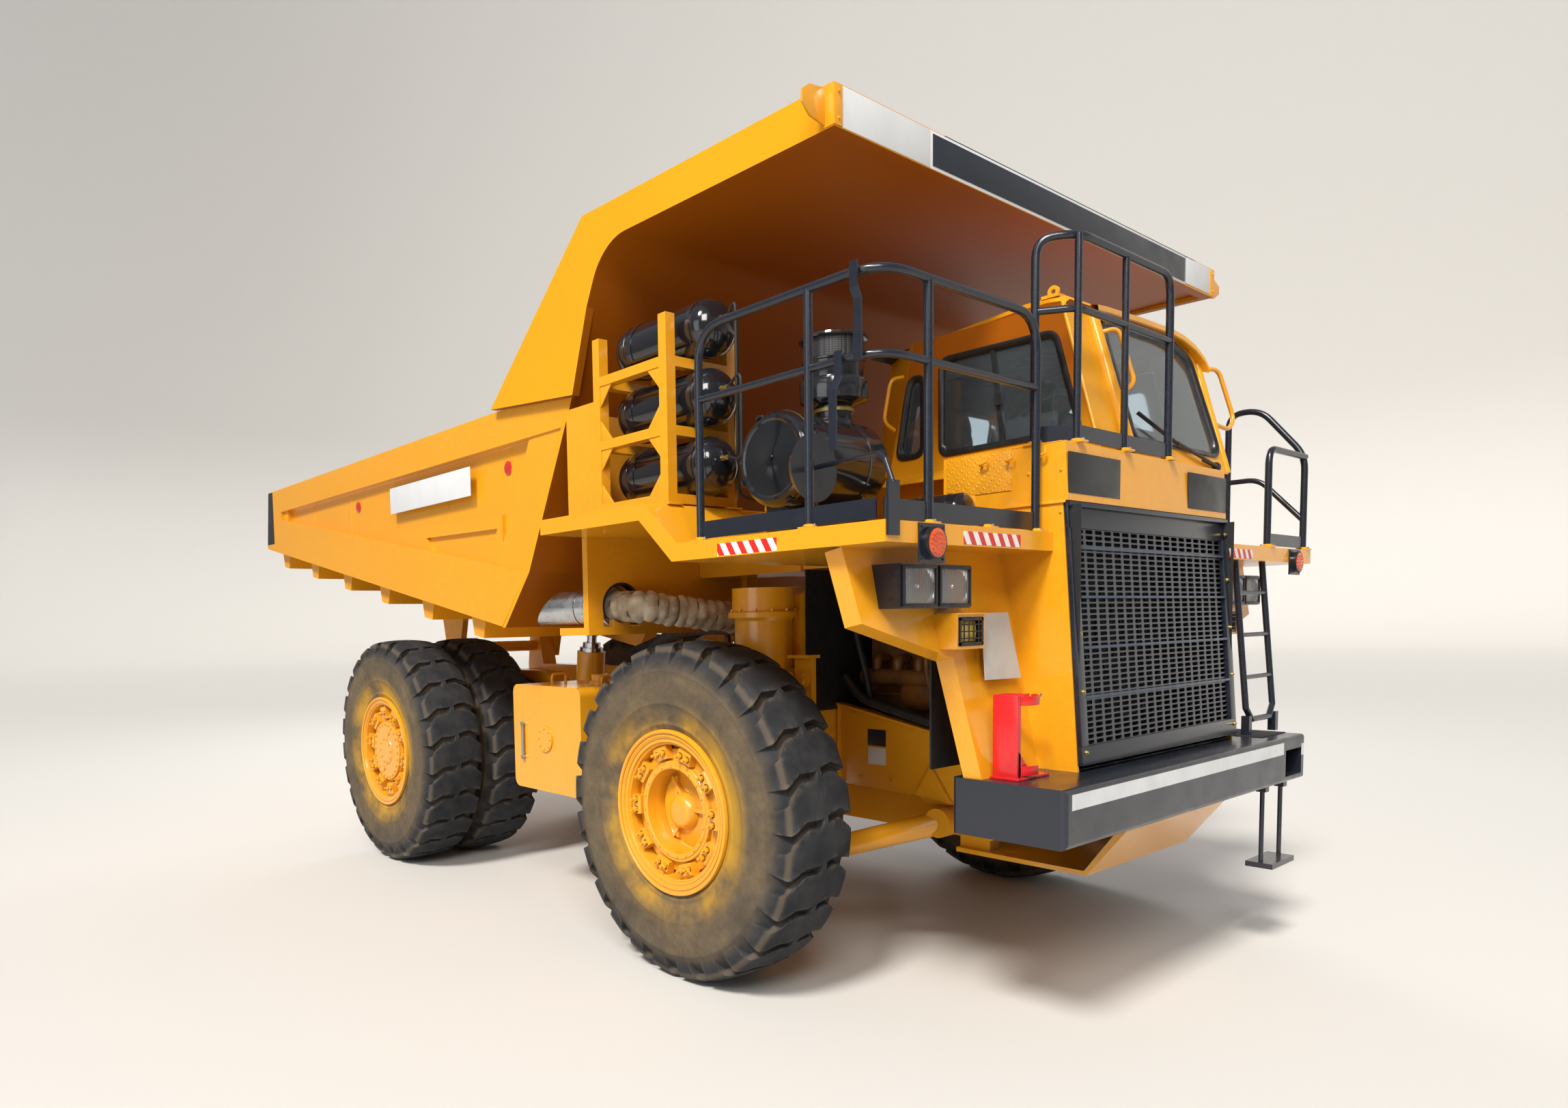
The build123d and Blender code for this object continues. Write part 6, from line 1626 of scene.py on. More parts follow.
def build_exhaust():
    y, z = -1.54, 2.065
    valve_x = 1.327
    route = smooth_path(
        [Vector(p) for p in ((1.83, -0.48, z - 0.12), (1.83, -1.0, z - 0.08), (1.62, y, z), (1.395, y, z))], 0.3, 14
    )
    rows = []
    length = 0.0
    samples = []
    for a, b in zip(route, route[1:]):
        step = (b - a).length
        count = max(2, int(step / 0.012))
        for k in range(count):
            samples.append((a.lerp(b, k / count), length + step * k / count))
        length += step
    samples.append((route[-1], length))
    side = Vector((0, 0, 1))
    ties = []
    for i, (point, run) in enumerate(samples):
        before, after = samples[max(i - 1, 0)][0], samples[min(i + 1, len(samples) - 1)][0]
        direction = (after - before).normalized()
        side = (side - direction * side.dot(direction)).normalized()
        up = direction.cross(side)
        phase = run / 0.062
        pinch = abs(sin(pi * phase)) ** 0.45
        ring = []
        for k in range(33):
            a = 2 * pi * k / 32
            lump = 0.006 * sin(3 * a + 1.7 * int(phase)) + 0.004 * sin(7 * a + 2.9 * int(phase) + 11 * run)
            radius = 0.08 + 0.014 * pinch + lump * pinch
            ring.append(point + side * radius * cos(a) + up * radius * sin(a))
        rows.append(ring)
        if int(phase) != int((run - 0.012) / 0.062) and int(phase) % 2 == 0:
            ties.append((point, direction))
    bm = bmesh.new()
    add_grid(bm, rows)
    pipe = piece("lagged_pipe", bm, lagging(), smooth_angle=60)
    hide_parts("exhaust_pipe")
    bm = bmesh.new()
    for point, direction in ties:
        add_lathe(
            bm, ((-0.004, 0.081), (-0.004, 0.0865), (0.004, 0.0865), (0.004, 0.081)), along(point, point + direction),
            32, True,
        )
    piece("lagging_ties", bm, finish("Tarnished Wire"))
    steel = finish("Galvanised Steel")
    bm = bmesh.new()
    end = (1.39, y, z)
    back = along(end, (0.0, y, z))
    add_lathe(
        bm,
        (
            (0, 0.085), (0, 0.118), (0.01, 0.121), (0.016, 0.118), (0.105, 0.118), (0.11, 0.122), (0.122, 0.122),
            (0.15, 0.09), (0.19, 0.09),
        ),
        back, 64,
    )
    turn = radians(20)
    out = Vector((-cos(turn), -sin(turn), 0))
    start = Vector((1.26, y, z))
    slope = along(start, start + out)
    rows = []
    for k in range(49):
        a = 2 * pi * k / 48
        cut = 0.395 - 0.085 * sin(a)
        section = (
            (0.0, 0.1), (0.055, 0.102), (0.058, 0.111), (0.068, 0.114), (0.078, 0.111), (0.082, 0.103), (0.15, 0.103),
            (0.153, 0.108), (0.162, 0.108), (0.165, 0.103), (cut - 0.004, 0.104), (cut, 0.103), (cut - 0.001, 0.093),
            (0.1, 0.092),
        )
        rows.append([slope @ Vector((min(x, cut), r * cos(a), r * sin(a))) for x, r in section])
    add_grid(bm, rows)
    outlet = piece("slant_outlet", bm, steel, smooth_angle=30)
    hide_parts("muffler")
    bm = bmesh.new()
    add_box(bm, (1.285, -1.595, z + 0.09), (1.368, -1.485, z + 0.175))
    add_box(bm, (1.278, -1.602, z + 0.175), (1.375, -1.478, z + 0.187))
    add_lathe(
        bm, ((0.187, 0.032), (0.215, 0.03), (0.222, 0.024), (0.228, 0.0)),
        along((valve_x, y, z), (valve_x, y, z + 1)), 32,
    )
    piece("flap_valve", bm, steel, bevel=0.002)
    bm = bmesh.new()
    for dx, dy in ((-0.035, -0.045), (0.035, -0.045), (-0.035, 0.045), (0.035, 0.045)):
        coil = [
            (valve_x + dx + 0.009 * cos(a), y + dy + 0.009 * sin(a), z + 0.187 + 0.045 * a / (10 * pi))
            for a in (pi * k / 5 for k in range(51))
        ]
        add_tube(bm, coil, 0.0022, 0.0, 6)
        add_bar(bm, (valve_x + dx, y + dy, z + 0.12), (valve_x + dx, y + dy, z + 0.243), 0.004, 10)
    piece("valve_springs", bm, finish("Bright Zinc"))
    bm = bmesh.new()
    lip = ((1.464, 0.134), (1.464, 0.146), (1.402, 0.146), (1.402, 0.134))
    add_band(bm, -30, 240, 30, lambda a: [Vector((x, y + r * cos(a), z + r * sin(a))) for x, r in lip])
    piece("window_lip", bm, finish("Black Edge Trim"), smooth_angle=40)


class TRUCK_OT_exhaust(bpy.types.Operator):
    """Wrap the exhaust pipe in tied lagging and build the slanted outlet with its valve box"""

    bl_idname = "truck.exhaust"
    bl_label = "Exhaust"

    def execute(self, context):
        build_exhaust()
        return {"FINISHED"}


# ------------------------------------------------------------------ dump bed
BED_PANEL_Y = 1.768


def build_bed_fittings():
    pale, dark = bmesh.new(), bmesh.new()
    lip = 3.44
    add_box(pale, (lip, -1.857, 4.022), (lip + 0.003, -1.216, 4.19))
    add_box(pale, (lip, 1.455, 4.03), (lip + 0.003, 1.826, 4.19))
    add_box(pale, (lip, -1.212, 4.02), (lip + 0.003, 1.462, 4.19))
    add_box(dark, (lip + 0.003, -1.196, 4.034), (lip + 0.006, 1.446, 4.176))
    add_box(dark, (lip, -1.1, 4.191), (lip + 0.003, 1.6, 4.195))
    for s in (-1, 1):
        add_box(pale, (-1.17, s * 1.8275, 2.864), (0.144, s * 1.8295, 3.064))
    piece("blank_boards", pale, finish("Board White"), "dump_bed", bevel=0.0007)
    piece("blank_black_board", dark, finish("Board Black"), "dump_bed", bevel=0.0007)
    bm = bmesh.new()
    for s in (-1, 1):
        for x, z in ((0.558, 3.002), (-1.947, 3.004)):
            place = along((x, s * BED_PANEL_Y, z), (x, s * (BED_PANEL_Y + 1), z))
            add_lathe(bm, ((0, 0.0), (0, 0.045), (0.008, 0.045), (0.011, 0.04), (0.012, 0.0)), place, 32)
    piece("bed_reflectors", bm, finish("Red Reflector"), "dump_bed")
    bm = bmesh.new()
    for s in (-1, 1):
        y = s * (BED_PANEL_Y + 0.001)
        for x0, z0, x1, z1 in ((-3.95, 3.138, 1.33, 3.138), (-3.78, 2.98, -3.78, 3.13), (0.92, 2.56, 1.3, 3.12)):
            add_bar(bm, (x0, y, z0), (x1, y, z1), 0.006, 8)
        for x in (-3.0, -2.1, -1.2, -0.3, 0.6):
            add_bar(bm, (x, y, 3.136), (x, y, 2.72), 0.004, 8)
    piece("bed_welds", bm, yellow_paint(), "dump_bed", smooth_angle=60)
    bm = bmesh.new()
    for s in (-1, 1):
        outline = (
            (3.385, s * 1.88, 4.185), (3.395, s * 1.99, 4.165), (3.405, s * 2.045, 4.125), (3.405, s * 2.045, 4.075),
            (3.395, s * 1.99, 4.04), (3.385, s * 1.88, 4.03),
        )
        add_prism(bm, outline, (0.01, 0, 0))
        add_box(bm, (3.385, s * 1.83, 4.022), (3.446, s * 1.885, 4.19))
        for z in (4.05, 4.16):
            add_bolt(bm, (3.446, s * 1.857, z), (1, 0, 0), 0.011, 0.01)
    piece("canopy_wing_tips", bm, yellow_paint(), "dump_bed", bevel=0.002)
    bm = bmesh.new()
    for s in (-1, 1):
        tail = (
            (-4.196, s * 1.822, 2.842), (-4.11, s * 1.822, 3.36), (-3.985, s * 1.822, 3.36),
            (-3.985, s * 1.822, 2.842),
        )
        add_prism(bm, tail, (0, s * 0.0095, 0))
    piece("tail_end_skins", bm, finish("Tail Black"), "dump_bed")


class TRUCK_OT_bed_fittings(bpy.types.Operator):
    """Fit the bed's blank boards, reflectors, weld beads, wing tips and tail skins"""

    bl_idname = "truck.bed_fittings"
    bl_label = "Bed Fittings"

    def execute(self, context):
        build_bed_fittings()
        return {"FINISHED"}


# ------------------------------------------------------------------ cab
CAB_RIGHT = -0.455
CAB_LEFT = 1.18
CAB_CORNER = 1.04
CAB_REAR = 2.33
CAB_BEVEL_X = 2.62
CAB_BEVEL_Y = -0.2
CAB_LEAN = 0.264
CAB_SILL = 2.75
CAB_EAVES = 3.5
CAB_WINDOWS = {
    "small": ((2.695, 2.875), (2.852, 2.875), (2.852, 3.3), (2.775, 3.3)),
    "side": ((2.984, 2.86), (3.764, 2.868), (3.633, 3.36), (2.984, 3.364)),
    "screen": ((-0.045, 2.855), (0.93, 2.853), (0.985, 2.905), (0.925, 3.42), (0.74, 3.487), (-0.083, 3.475)),
    "back": ((0.05, 2.86), (0.93, 2.86), (0.93, 3.3), (0.05, 3.3)),
}
DOOR_OUTLINE = ((2.76, 2.4), (3.56, 2.4), (3.56, 2.75), (3.394, 3.44), (2.76, 3.44))
DOOR_WINDOW = ((2.83, 2.83), (3.465, 2.83), (3.345, 3.35), (2.83, 3.35))


def cab_front(z, forward=0.0):
    """X of the leaning front of the cab at a height."""
    return 3.862 - CAB_LEAN * (z - 2.8) + forward


def on_front(points, forward=0.0):
    return [Vector((cab_front(z, forward), y, z)) for y, z in points]


def on_side(points, y):
    return [Vector((x, y, z)) for x, z in points]


def on_back(points):
    return [Vector((CAB_REAR + 0.16 * (z - CAB_SILL), y, z)) for y, z in points]


def grow_loop(corners, distance):
    """Corners of a flat polygon moved outwards by a distance."""
    moved = []
    for i, corner in enumerate(corners):
        into = (corners[i - 1] - corner).normalized()
        out = (corners[(i + 1) % len(corners)] - corner).normalized()
        half = into.angle(out) / 2
        moved.append(corner - (into + out).normalized() * distance / sin(half))
    return moved


def corner_loop(corners, reach, rounded=True):
    """Closed loop round a polygon, with as many points at each corner, rounded or square."""
    loop = []
    steps = 6
    for i, corner in enumerate(corners):
        into = corners[i - 1] - corner
        out = corners[(i + 1) % len(corners)] - corner
        first = corner + into.normalized() * min(reach, into.length * 0.45)
        last = corner + out.normalized() * min(reach, out.length * 0.45)
        for k in range(steps + 1):
            t = k / steps
            if rounded:
                loop.append(first * (1 - t) ** 2 + corner * 2 * t * (1 - t) + last * t**2)
            elif t < 0.5:
                loop.append(first.lerp(corner, 2 * t))
            else:
                loop.append(corner.lerp(last, 2 * t - 1))
    return loop


def add_ring(bm, loops):
    """Faces between closed loops of as many points."""
    rings = [[bm.verts.new(p) for p in loop] for loop in loops]
    for first, second in zip(rings, rings[1:]):
        count = len(first)
        for i in range(count):
            j = (i + 1) % count
            bm.faces.new((first[i], first[j], second[j], second[i]))


def add_window_wall(outside, lining, corners, window, inward, radius=0.055):
    """Skin and lining of a flat wall round a window, with the depth of the wall between them."""
    inward = Vector(inward)
    outer = corner_loop(corners, 0.1, False)
    hole = corner_loop(window, radius)
    deep = [p + inward * 0.045 for p in hole]
    add_ring(outside, (outer, hole, deep))
    add_ring(lining, (deep, [p + inward * 0.045 for p in outer]))


def add_pane(glass, seals, window, outward, radius=0.055, bars=()):
    """A pane in a rubber seal; a bar divides it between two points given as shares of its width."""
    outward = Vector(outward)
    hole = corner_loop(window, radius)
    add_prism(glass, [p - outward * 0.02 for p in corner_loop(grow_loop(window, 0.004), radius)], outward * 0.006)
    wide = corner_loop(grow_loop(window, 0.021), radius + 0.012)
    tight = corner_loop(grow_loop(window, -0.014), radius - 0.008)
    loops = [wide]
    for growth, extra, lift in ((0.017, 0.01, 0.009), (0.002, 0.0, 0.01)):
        loops.append([p + outward * lift for p in corner_loop(grow_loop(window, growth), radius + extra)])
    for loop, sink in ((tight, 0.004), (tight, 0.024), (hole, 0.024)):
        loops.append([p - outward * sink for p in loop])
    add_ring(seals, loops)
    for share in bars:
        low, high = window[0].lerp(window[1], share), window[3].lerp(window[2], share)
        across = (window[1] - window[0]).normalized() * 0.012
        add_prism(seals, [low - across, low + across, high + across, high - across], outward * -0.03)


def visor_and_pillars():
    """The lip over the screen, rounded pillars, sill, grab handles and lifting eye."""
    bm = bmesh.new()
    edge = (
        (-0.2, 3.523), (-0.1, 3.531), (0.3, 3.545), (0.66, 3.548), (0.8, 3.535), (0.93, 3.5), (1.02, 3.44),
        (1.05, 3.385),
    )
    rows = []
    lip = (
        (-0.05, 0.006), (0.02, 0.006), (0.052, -0.002), (0.056, -0.03), (0.048, -0.034),
        (0.012, -0.02), (-0.01, -0.024),
    )
    for y, z in edge:
        rows.append([Vector((cab_front(z) + dx, y, z + dz)) for dx, dz in lip])
    add_grid(bm, rows)
    add_tube(bm, on_front(((-0.165, 2.8), (-0.205, 3.47)), 0.004), 0.036, steps=20)
    add_tube(bm, on_front(((CAB_CORNER + 0.012, 2.76), (CAB_CORNER - 0.004, 3.44)), -0.012), 0.024, steps=16)
    add_tube(bm, on_front(((CAB_RIGHT + 0.004, 2.76), (CAB_RIGHT + 0.004, 3.5)), -0.006), 0.01, steps=12)
    handle = ((3.715, -0.175, 3.385), (3.79, -0.12, 3.405), (3.868, -0.1, 3.11), (3.792, -0.135, 3.07))
    add_tube(bm, handle, 0.0125, 0.06, 12)
    loop = (
        (3.69, 1.02, 3.385), (3.745, 1.21, 3.395), (3.79, 1.33, 3.11), (3.8, 1.235, 3.035), (3.78, 1.02, 3.06),
        (3.728, 1.0, 3.3), (3.69, 1.02, 3.385),
    )
    add_tube(bm, loop, 0.0125, 0.055, 12)
    add_tube(
        bm, ((2.725, CAB_RIGHT, 3.33), (2.7, -0.535, 3.31), (2.65, -0.535, 3.08), (2.665, CAB_RIGHT, 3.04)), 0.011,
        0.05, 12,
    )
    eye = Matrix.Translation((3.6, -0.405, 3.555))
    add_lathe(
        bm, ((-0.007, 0.013), (-0.007, 0.03), (0.007, 0.03), (0.007, 0.013)),
        eye @ Matrix.Rotation(radians(90), 4, "Z") @ Matrix.Translation((0, 0, 0.022)), 32, True,
    )
    add_box(bm, (3.555, -0.445, 3.54), (3.645, -0.375, 3.556))
    for point in ((3.715, -0.175, 3.385), (3.792, -0.135, 3.07), (3.78, 1.02, 3.06)):
        add_lathe(
            bm, ((-0.01, 0.024), (0.004, 0.024), (0.006, 0.02), (0.006, 0.0)),
            Matrix.Translation(Vector(point) - Vector((0.012, 0, 0))), 24,
        )
    piece("cab_pillars", bm, yellow_paint(), smooth_angle=40)
    bm = bmesh.new()
    for y0, z0, y1, z1, width in ((0.86, 2.775, 0.4, 2.868, 0.009), (0.42, 2.862, 0.02, 2.99, 0.006)):
        a, b = on_front(((y0, z0), (y1, z1)), 0.022)
        add_tube(bm, (a, b), width, steps=8)
    a, b = on_front(((0.415, 2.852), (0.01, 2.982)), 0.01)
    add_prism(bm, (a, b, b + Vector((0.012, 0, 0.008)), a + Vector((0.012, 0, 0.008))), (0, 0.004, 0.007))
    add_lathe(
        bm, ((-0.01, 0.03), (0.02, 0.028), (0.032, 0.016), (0.034, 0.0)),
        Matrix.Translation((cab_front(2.775), 0.86, 2.775)), 24,
    )
    add_tube(bm, on_front(((0.7, 2.8), (0.82, 2.78), (0.9, 2.755)), 0.01), 0.006, 0.03, 8)
    piece("wiper", bm, finish("Wiper Black"))


def build_cab_shell():
    foot, sill, eaves = DECK_TOP, CAB_SILL, CAB_EAVES
    bevel, aft = (CAB_BEVEL_X, CAB_RIGHT), (CAB_REAR, CAB_BEVEL_Y)
    skin, lining = bmesh.new(), bmesh.new()
    split = 2.918
    rear = on_side(((CAB_BEVEL_X, sill), (split, sill), (split, eaves), (2.8, eaves)), CAB_RIGHT)
    fore = on_side(((split, sill), (cab_front(sill), sill), (cab_front(eaves), eaves), (split, eaves)), CAB_RIGHT)
    add_window_wall(skin, lining, rear, on_side(CAB_WINDOWS["small"], CAB_RIGHT), (0, 1, 0), 0.06)
    add_window_wall(skin, lining, fore, on_side(CAB_WINDOWS["side"], CAB_RIGHT), (0, 1, 0))
    face = on_front(
        (
            (CAB_RIGHT, sill), (CAB_CORNER, sill), (CAB_CORNER, 2.86), (CAB_CORNER, 3.44), (0.8, 3.525),
            (CAB_RIGHT, 3.5),
        )
    )
    screen = on_front(CAB_WINDOWS["screen"])
    add_window_wall(skin, lining, face, screen, (-1, 0, -CAB_LEAN))
    back = on_back(((CAB_BEVEL_Y, sill), (CAB_LEFT, sill), (CAB_LEFT, eaves), (CAB_BEVEL_Y, eaves)))
    add_window_wall(skin, lining, back, on_back(CAB_WINDOWS["back"]), (1, 0, 0))
    left = ((CAB_REAR, foot), (3.69, foot), (3.755, sill), (3.557, eaves), (2.45, eaves))
    opening = grow_loop(on_side(DOOR_OUTLINE, CAB_LEFT), 0.006)
    add_window_wall(skin, lining, on_side(left, CAB_LEFT), opening, (0, -1, 0), 0.02)
    strips = (
        ((*bevel, foot), (*bevel, sill), (3.28, CAB_RIGHT, sill), (3.28, CAB_RIGHT, foot)),
        ((*aft, foot), (*aft, sill), (*bevel, sill), (*bevel, foot)),
        ((*aft, sill), (2.45, CAB_BEVEL_Y, eaves), (2.8, CAB_RIGHT, eaves), (*bevel, sill)),
        ((*aft, foot), (*aft, sill), (CAB_REAR, CAB_LEFT, sill), (CAB_REAR, CAB_LEFT, foot)),
        (
            (cab_front(sill), CAB_CORNER, sill), (cab_front(3.44), CAB_CORNER, 3.44),
            (3.557, CAB_LEFT, eaves), (3.755, CAB_LEFT, sill),
        ),
        ((3.69, CAB_LEFT, foot), (3.755, CAB_LEFT, sill), (3.755, 0.872, sill), (3.69, 0.872, foot)),
    )
    for strip in strips:
        skin.faces.new([skin.verts.new(p) for p in strip])
    add_prism(
        skin, ((CAB_BEVEL_X, -0.6, 2.7), (3.3, -0.6, 2.7), (3.3, CAB_RIGHT, 2.76), (CAB_BEVEL_X, CAB_RIGHT, 2.76)),
        (0, 0, 0.01),
    )
    rows = []
    roof = ((2.43, 0.05), (2.455, 0.012), (2.5, 0.0), (3.45, 0.0), (3.6, 0.002), (3.665, 0.01), (3.69, 0.035))
    for x, drop in roof:
        right = CAB_RIGHT if x > 2.78 else CAB_RIGHT + (2.8 - x) * 0.72
        across = (
            (right, 3.495), (right - 0.004, 3.515), (right + 0.008, 3.535), (right + 0.04, 3.552), (0.3, 3.56),
            (0.8, 3.56), (1.04, 3.545), (1.15, 3.52), (1.18, 3.495),
        )
        rows.append([Vector((x - 0.33 * max(0.0, y - 0.8), y, z - drop * (z > 3.5))) for y, z in across])
    corner = {1.04: (3.693, 3.44), 1.15: (3.6, 3.484), 1.18: (3.557, 3.495)}
    seam = [(y, *corner.get(y, (3.677, 3.49))) for y, _ in across]
    rows.append([Vector((x, y, z)) for y, x, z in seam])
    add_grid(skin, rows)
    shell = piece("cab_panels", skin, painted_shade_enamel(), smooth_angle=30)
    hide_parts("cab_shell")
    add_box(lining, (2.37, -0.4, 2.352), (3.28, 1.13, 2.362))
    ceiling = ((2.46, -0.42), (3.66, -0.42), (3.66, 1.02), (2.46, 1.12))
    lining.faces.new([lining.verts.new((x, y, 3.49)) for x, y in ceiling])
    piece("cab_lining", lining, finish("Cab Lining"))
    visor_and_pillars()


class TRUCK_OT_cab_shell(bpy.types.Operator):
    """Press the cab's walls, roof, visor and sill round the window openings, and line it"""

    bl_idname = "truck.cab_shell"
    bl_label = "Cab Shell"

    def execute(self, context):
        build_cab_shell()
        return {"FINISHED"}


def build_cab_windows():
    rubber = finish("Window Rubber")
    glass, seals = bmesh.new(), bmesh.new()
    add_pane(glass, seals, on_side(CAB_WINDOWS["small"], CAB_RIGHT), (0, -1, 0), 0.06)
    add_pane(glass, seals, on_side(CAB_WINDOWS["side"], CAB_RIGHT), (0, -1, 0), bars=(0.47,))
    add_pane(glass, seals, on_front(CAB_WINDOWS["screen"]), Vector((1, 0, CAB_LEAN)).normalized())
    add_pane(glass, seals, on_back(CAB_WINDOWS["back"]), (-1, 0, 0.16))
    latch = Vector((3.335, CAB_RIGHT - 0.01, 3.09))
    add_box(seals, latch - Vector((0.02, 0.012, 0.03)), latch + Vector((0.02, 0.002, 0.03)))
    panes = piece("cab_panes", glass, window_glass())
    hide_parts("cab_glass")
    piece("cab_seals", seals, rubber, smooth_angle=50)
    glass, seals = bmesh.new(), bmesh.new()
    add_pane(glass, seals, on_side(DOOR_WINDOW, CAB_LEFT), (0, 1, 0), bars=(0.52,))
    pane = piece("door_pane", glass, window_glass(), "cab_door")
    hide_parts("door_glass")
    piece("door_seal", seals, rubber, "cab_door", smooth_angle=50)
    skin, lining = bmesh.new(), bmesh.new()
    window = on_side(DOOR_WINDOW, CAB_LEFT)
    outline = on_side(DOOR_OUTLINE, CAB_LEFT)
    upper = [
        outline[0].lerp(outline[4], 0.38), outline[1].lerp(outline[2], 1.0) + Vector((0, 0, 0.045)), outline[3],
        outline[4],
    ]
    upper[1].x = 3.549
    upper[0].z = upper[1].z = 2.795
    add_window_wall(skin, lining, upper, window, (0, -1, 0))
    add_prism(skin, [*outline[:3], upper[1], upper[0]], (0, -0.04, 0))
    edge = corner_loop(outline, 0.02)
    add_ring(skin, (edge, [p + Vector((0, -0.04, 0)) for p in edge]))
    press = [(2.84, 2.47), (3.47, 2.47), (3.47, 2.7), (2.84, 2.7)]
    raised = on_side(press, CAB_LEFT + 0.008)
    panel = (on_side(press, CAB_LEFT), grow_loop(raised, -0.012), grow_loop(raised, -0.1))
    add_ring(skin, [corner_loop(loop, 0.03) for loop in panel])
    door = piece("door_skin", skin, painted_shade_enamel(), "cab_door", smooth_angle=30)
    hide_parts("cab_door")
    piece("door_lining", lining, finish("Cab Lining"), "cab_door")
    bm = bmesh.new()
    for z in (2.52, 2.69, 3.02):
        reach = 3.582 - 0.24 * max(0.0, z - 2.75)
        add_bar(bm, (3.582, CAB_LEFT + 0.014, z), (3.582, CAB_LEFT + 0.014, z + 0.08), 0.014, 16)
        if z < 2.9:
            add_box(bm, (3.5, CAB_LEFT, z + 0.006), (reach, CAB_LEFT + 0.01, z + 0.074))
    piece("door_hinges", bm, yellow_paint(), "cab_door", bevel=0.0015)
    bm = bmesh.new()
    add_tube(
        bm,
        (
            (2.81, CAB_LEFT, 2.6), (2.81, CAB_LEFT + 0.045, 2.6), (2.81, CAB_LEFT + 0.045, 2.76),
            (2.81, CAB_LEFT, 2.76),
        ),
        0.009, 0.02, 10,
    )
    add_box(bm, (2.785, CAB_LEFT, 2.7), (2.855, CAB_LEFT + 0.012, 2.8))
    piece("door_handle", bm, finish("Wiper Black"), "cab_door", bevel=0.001)


class TRUCK_OT_cab_windows(bpy.types.Operator):
    """Glaze the cab: panes in rubber seals, the sliding side window and the door's pane"""

    bl_idname = "truck.cab_windows"
    bl_label = "Cab Windows"

    def execute(self, context):
        build_cab_windows()
        return {"FINISHED"}


def add_cushion(bm, place, size, crown, channels):
    """A stuffed pad about a place: crowned faces, sides pulled in, sewn channels across it."""
    count = 20
    half = [s / 2 for s in size]
    shell = bmesh.new()
    bmesh.ops.create_cube(shell, size=2.0)
    bmesh.ops.subdivide_edges(shell, edges=shell.edges, cuts=count - 1, use_grid_fill=True)
    for vert in shell.verts:
        x, y, z = vert.co
        length = (abs(x) ** 4 + abs(y) ** 4 + abs(z) ** 4) ** 0.25
        u, v, w = x / length, y / length, z / length
        pull_u = 0.045 * (1 - min(1.0, abs(v))) * (abs(u) > 0.8)
        pull = 1 - pull_u - 0.045 * (1 - min(1.0, abs(u))) * (abs(v) > 0.8)
        rise = crown * (1 - u * u) * (1 - v * v) if w > 0 else 0.0
        dent = sum(0.01 * max(0.0, 1 - abs(u - c) / 0.07) for c in channels) if w > 0 else 0.0
        vert.co = Vector((u * half[0] * pull, v * half[1] * pull, w * half[2] + rise - dent))
    for face in shell.faces:
        bm.faces.new([bm.verts.new(place @ v.co) for v in face.verts])
    shell.free()


def build_driver_seat():
    low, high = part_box("driver_seat")
    x, y = 2.7, (low[1] + high[1]) / 2
    bm = bmesh.new()
    add_cushion(bm, Matrix.Translation((x, y, 2.715)), (0.46, 0.46, 0.1), 0.018, (-0.4, 0.1))
    lean = Matrix.Translation((x - 0.215, y, 3.045)) @ Matrix.Rotation(radians(84), 4, "Y")
    add_cushion(bm, lean, (0.54, 0.42, 0.09), 0.018, (-0.35, 0.0, 0.35))
    bmesh.ops.remove_doubles(bm, verts=bm.verts, dist=0.0002)
    seat = piece("seat_pads", bm, finish("Cushion Cloth"), smooth_angle=180)
    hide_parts("driver_seat")
    bm = bmesh.new()
    folds = [(0.02 + 0.025 * k, 0.15 - 0.022 * (k % 2)) for k in range(9)]
    folds = [(0.0, 0.0), *folds, (0.26, 0.19), (0.275, 0.19), (0.275, 0.0)]
    add_lathe(bm, folds, along((x, y, 2.387), (x, y, 3.0)), 40)
    for side in (-1, 1):
        add_box(bm, (x - 0.18, y + side * 0.245 - 0.02, 2.845), (x + 0.12, y + side * 0.245 + 0.02, 2.875))
        add_box(bm, (x - 0.2, y + side * 0.245 - 0.015, 2.7), (x - 0.16, y + side * 0.245 + 0.015, 2.86))
    piece("seat_base", bm, finish("Bellows Rubber"), smooth_angle=40)


class TRUCK_OT_driver_seat(bpy.types.Operator):
    """Stuff the driver's seat and stand it on its bellows"""

    bl_idname = "truck.driver_seat"
    bl_label = "Driver Seat"

    def execute(self, context):
        build_driver_seat()
        return {"FINISHED"}


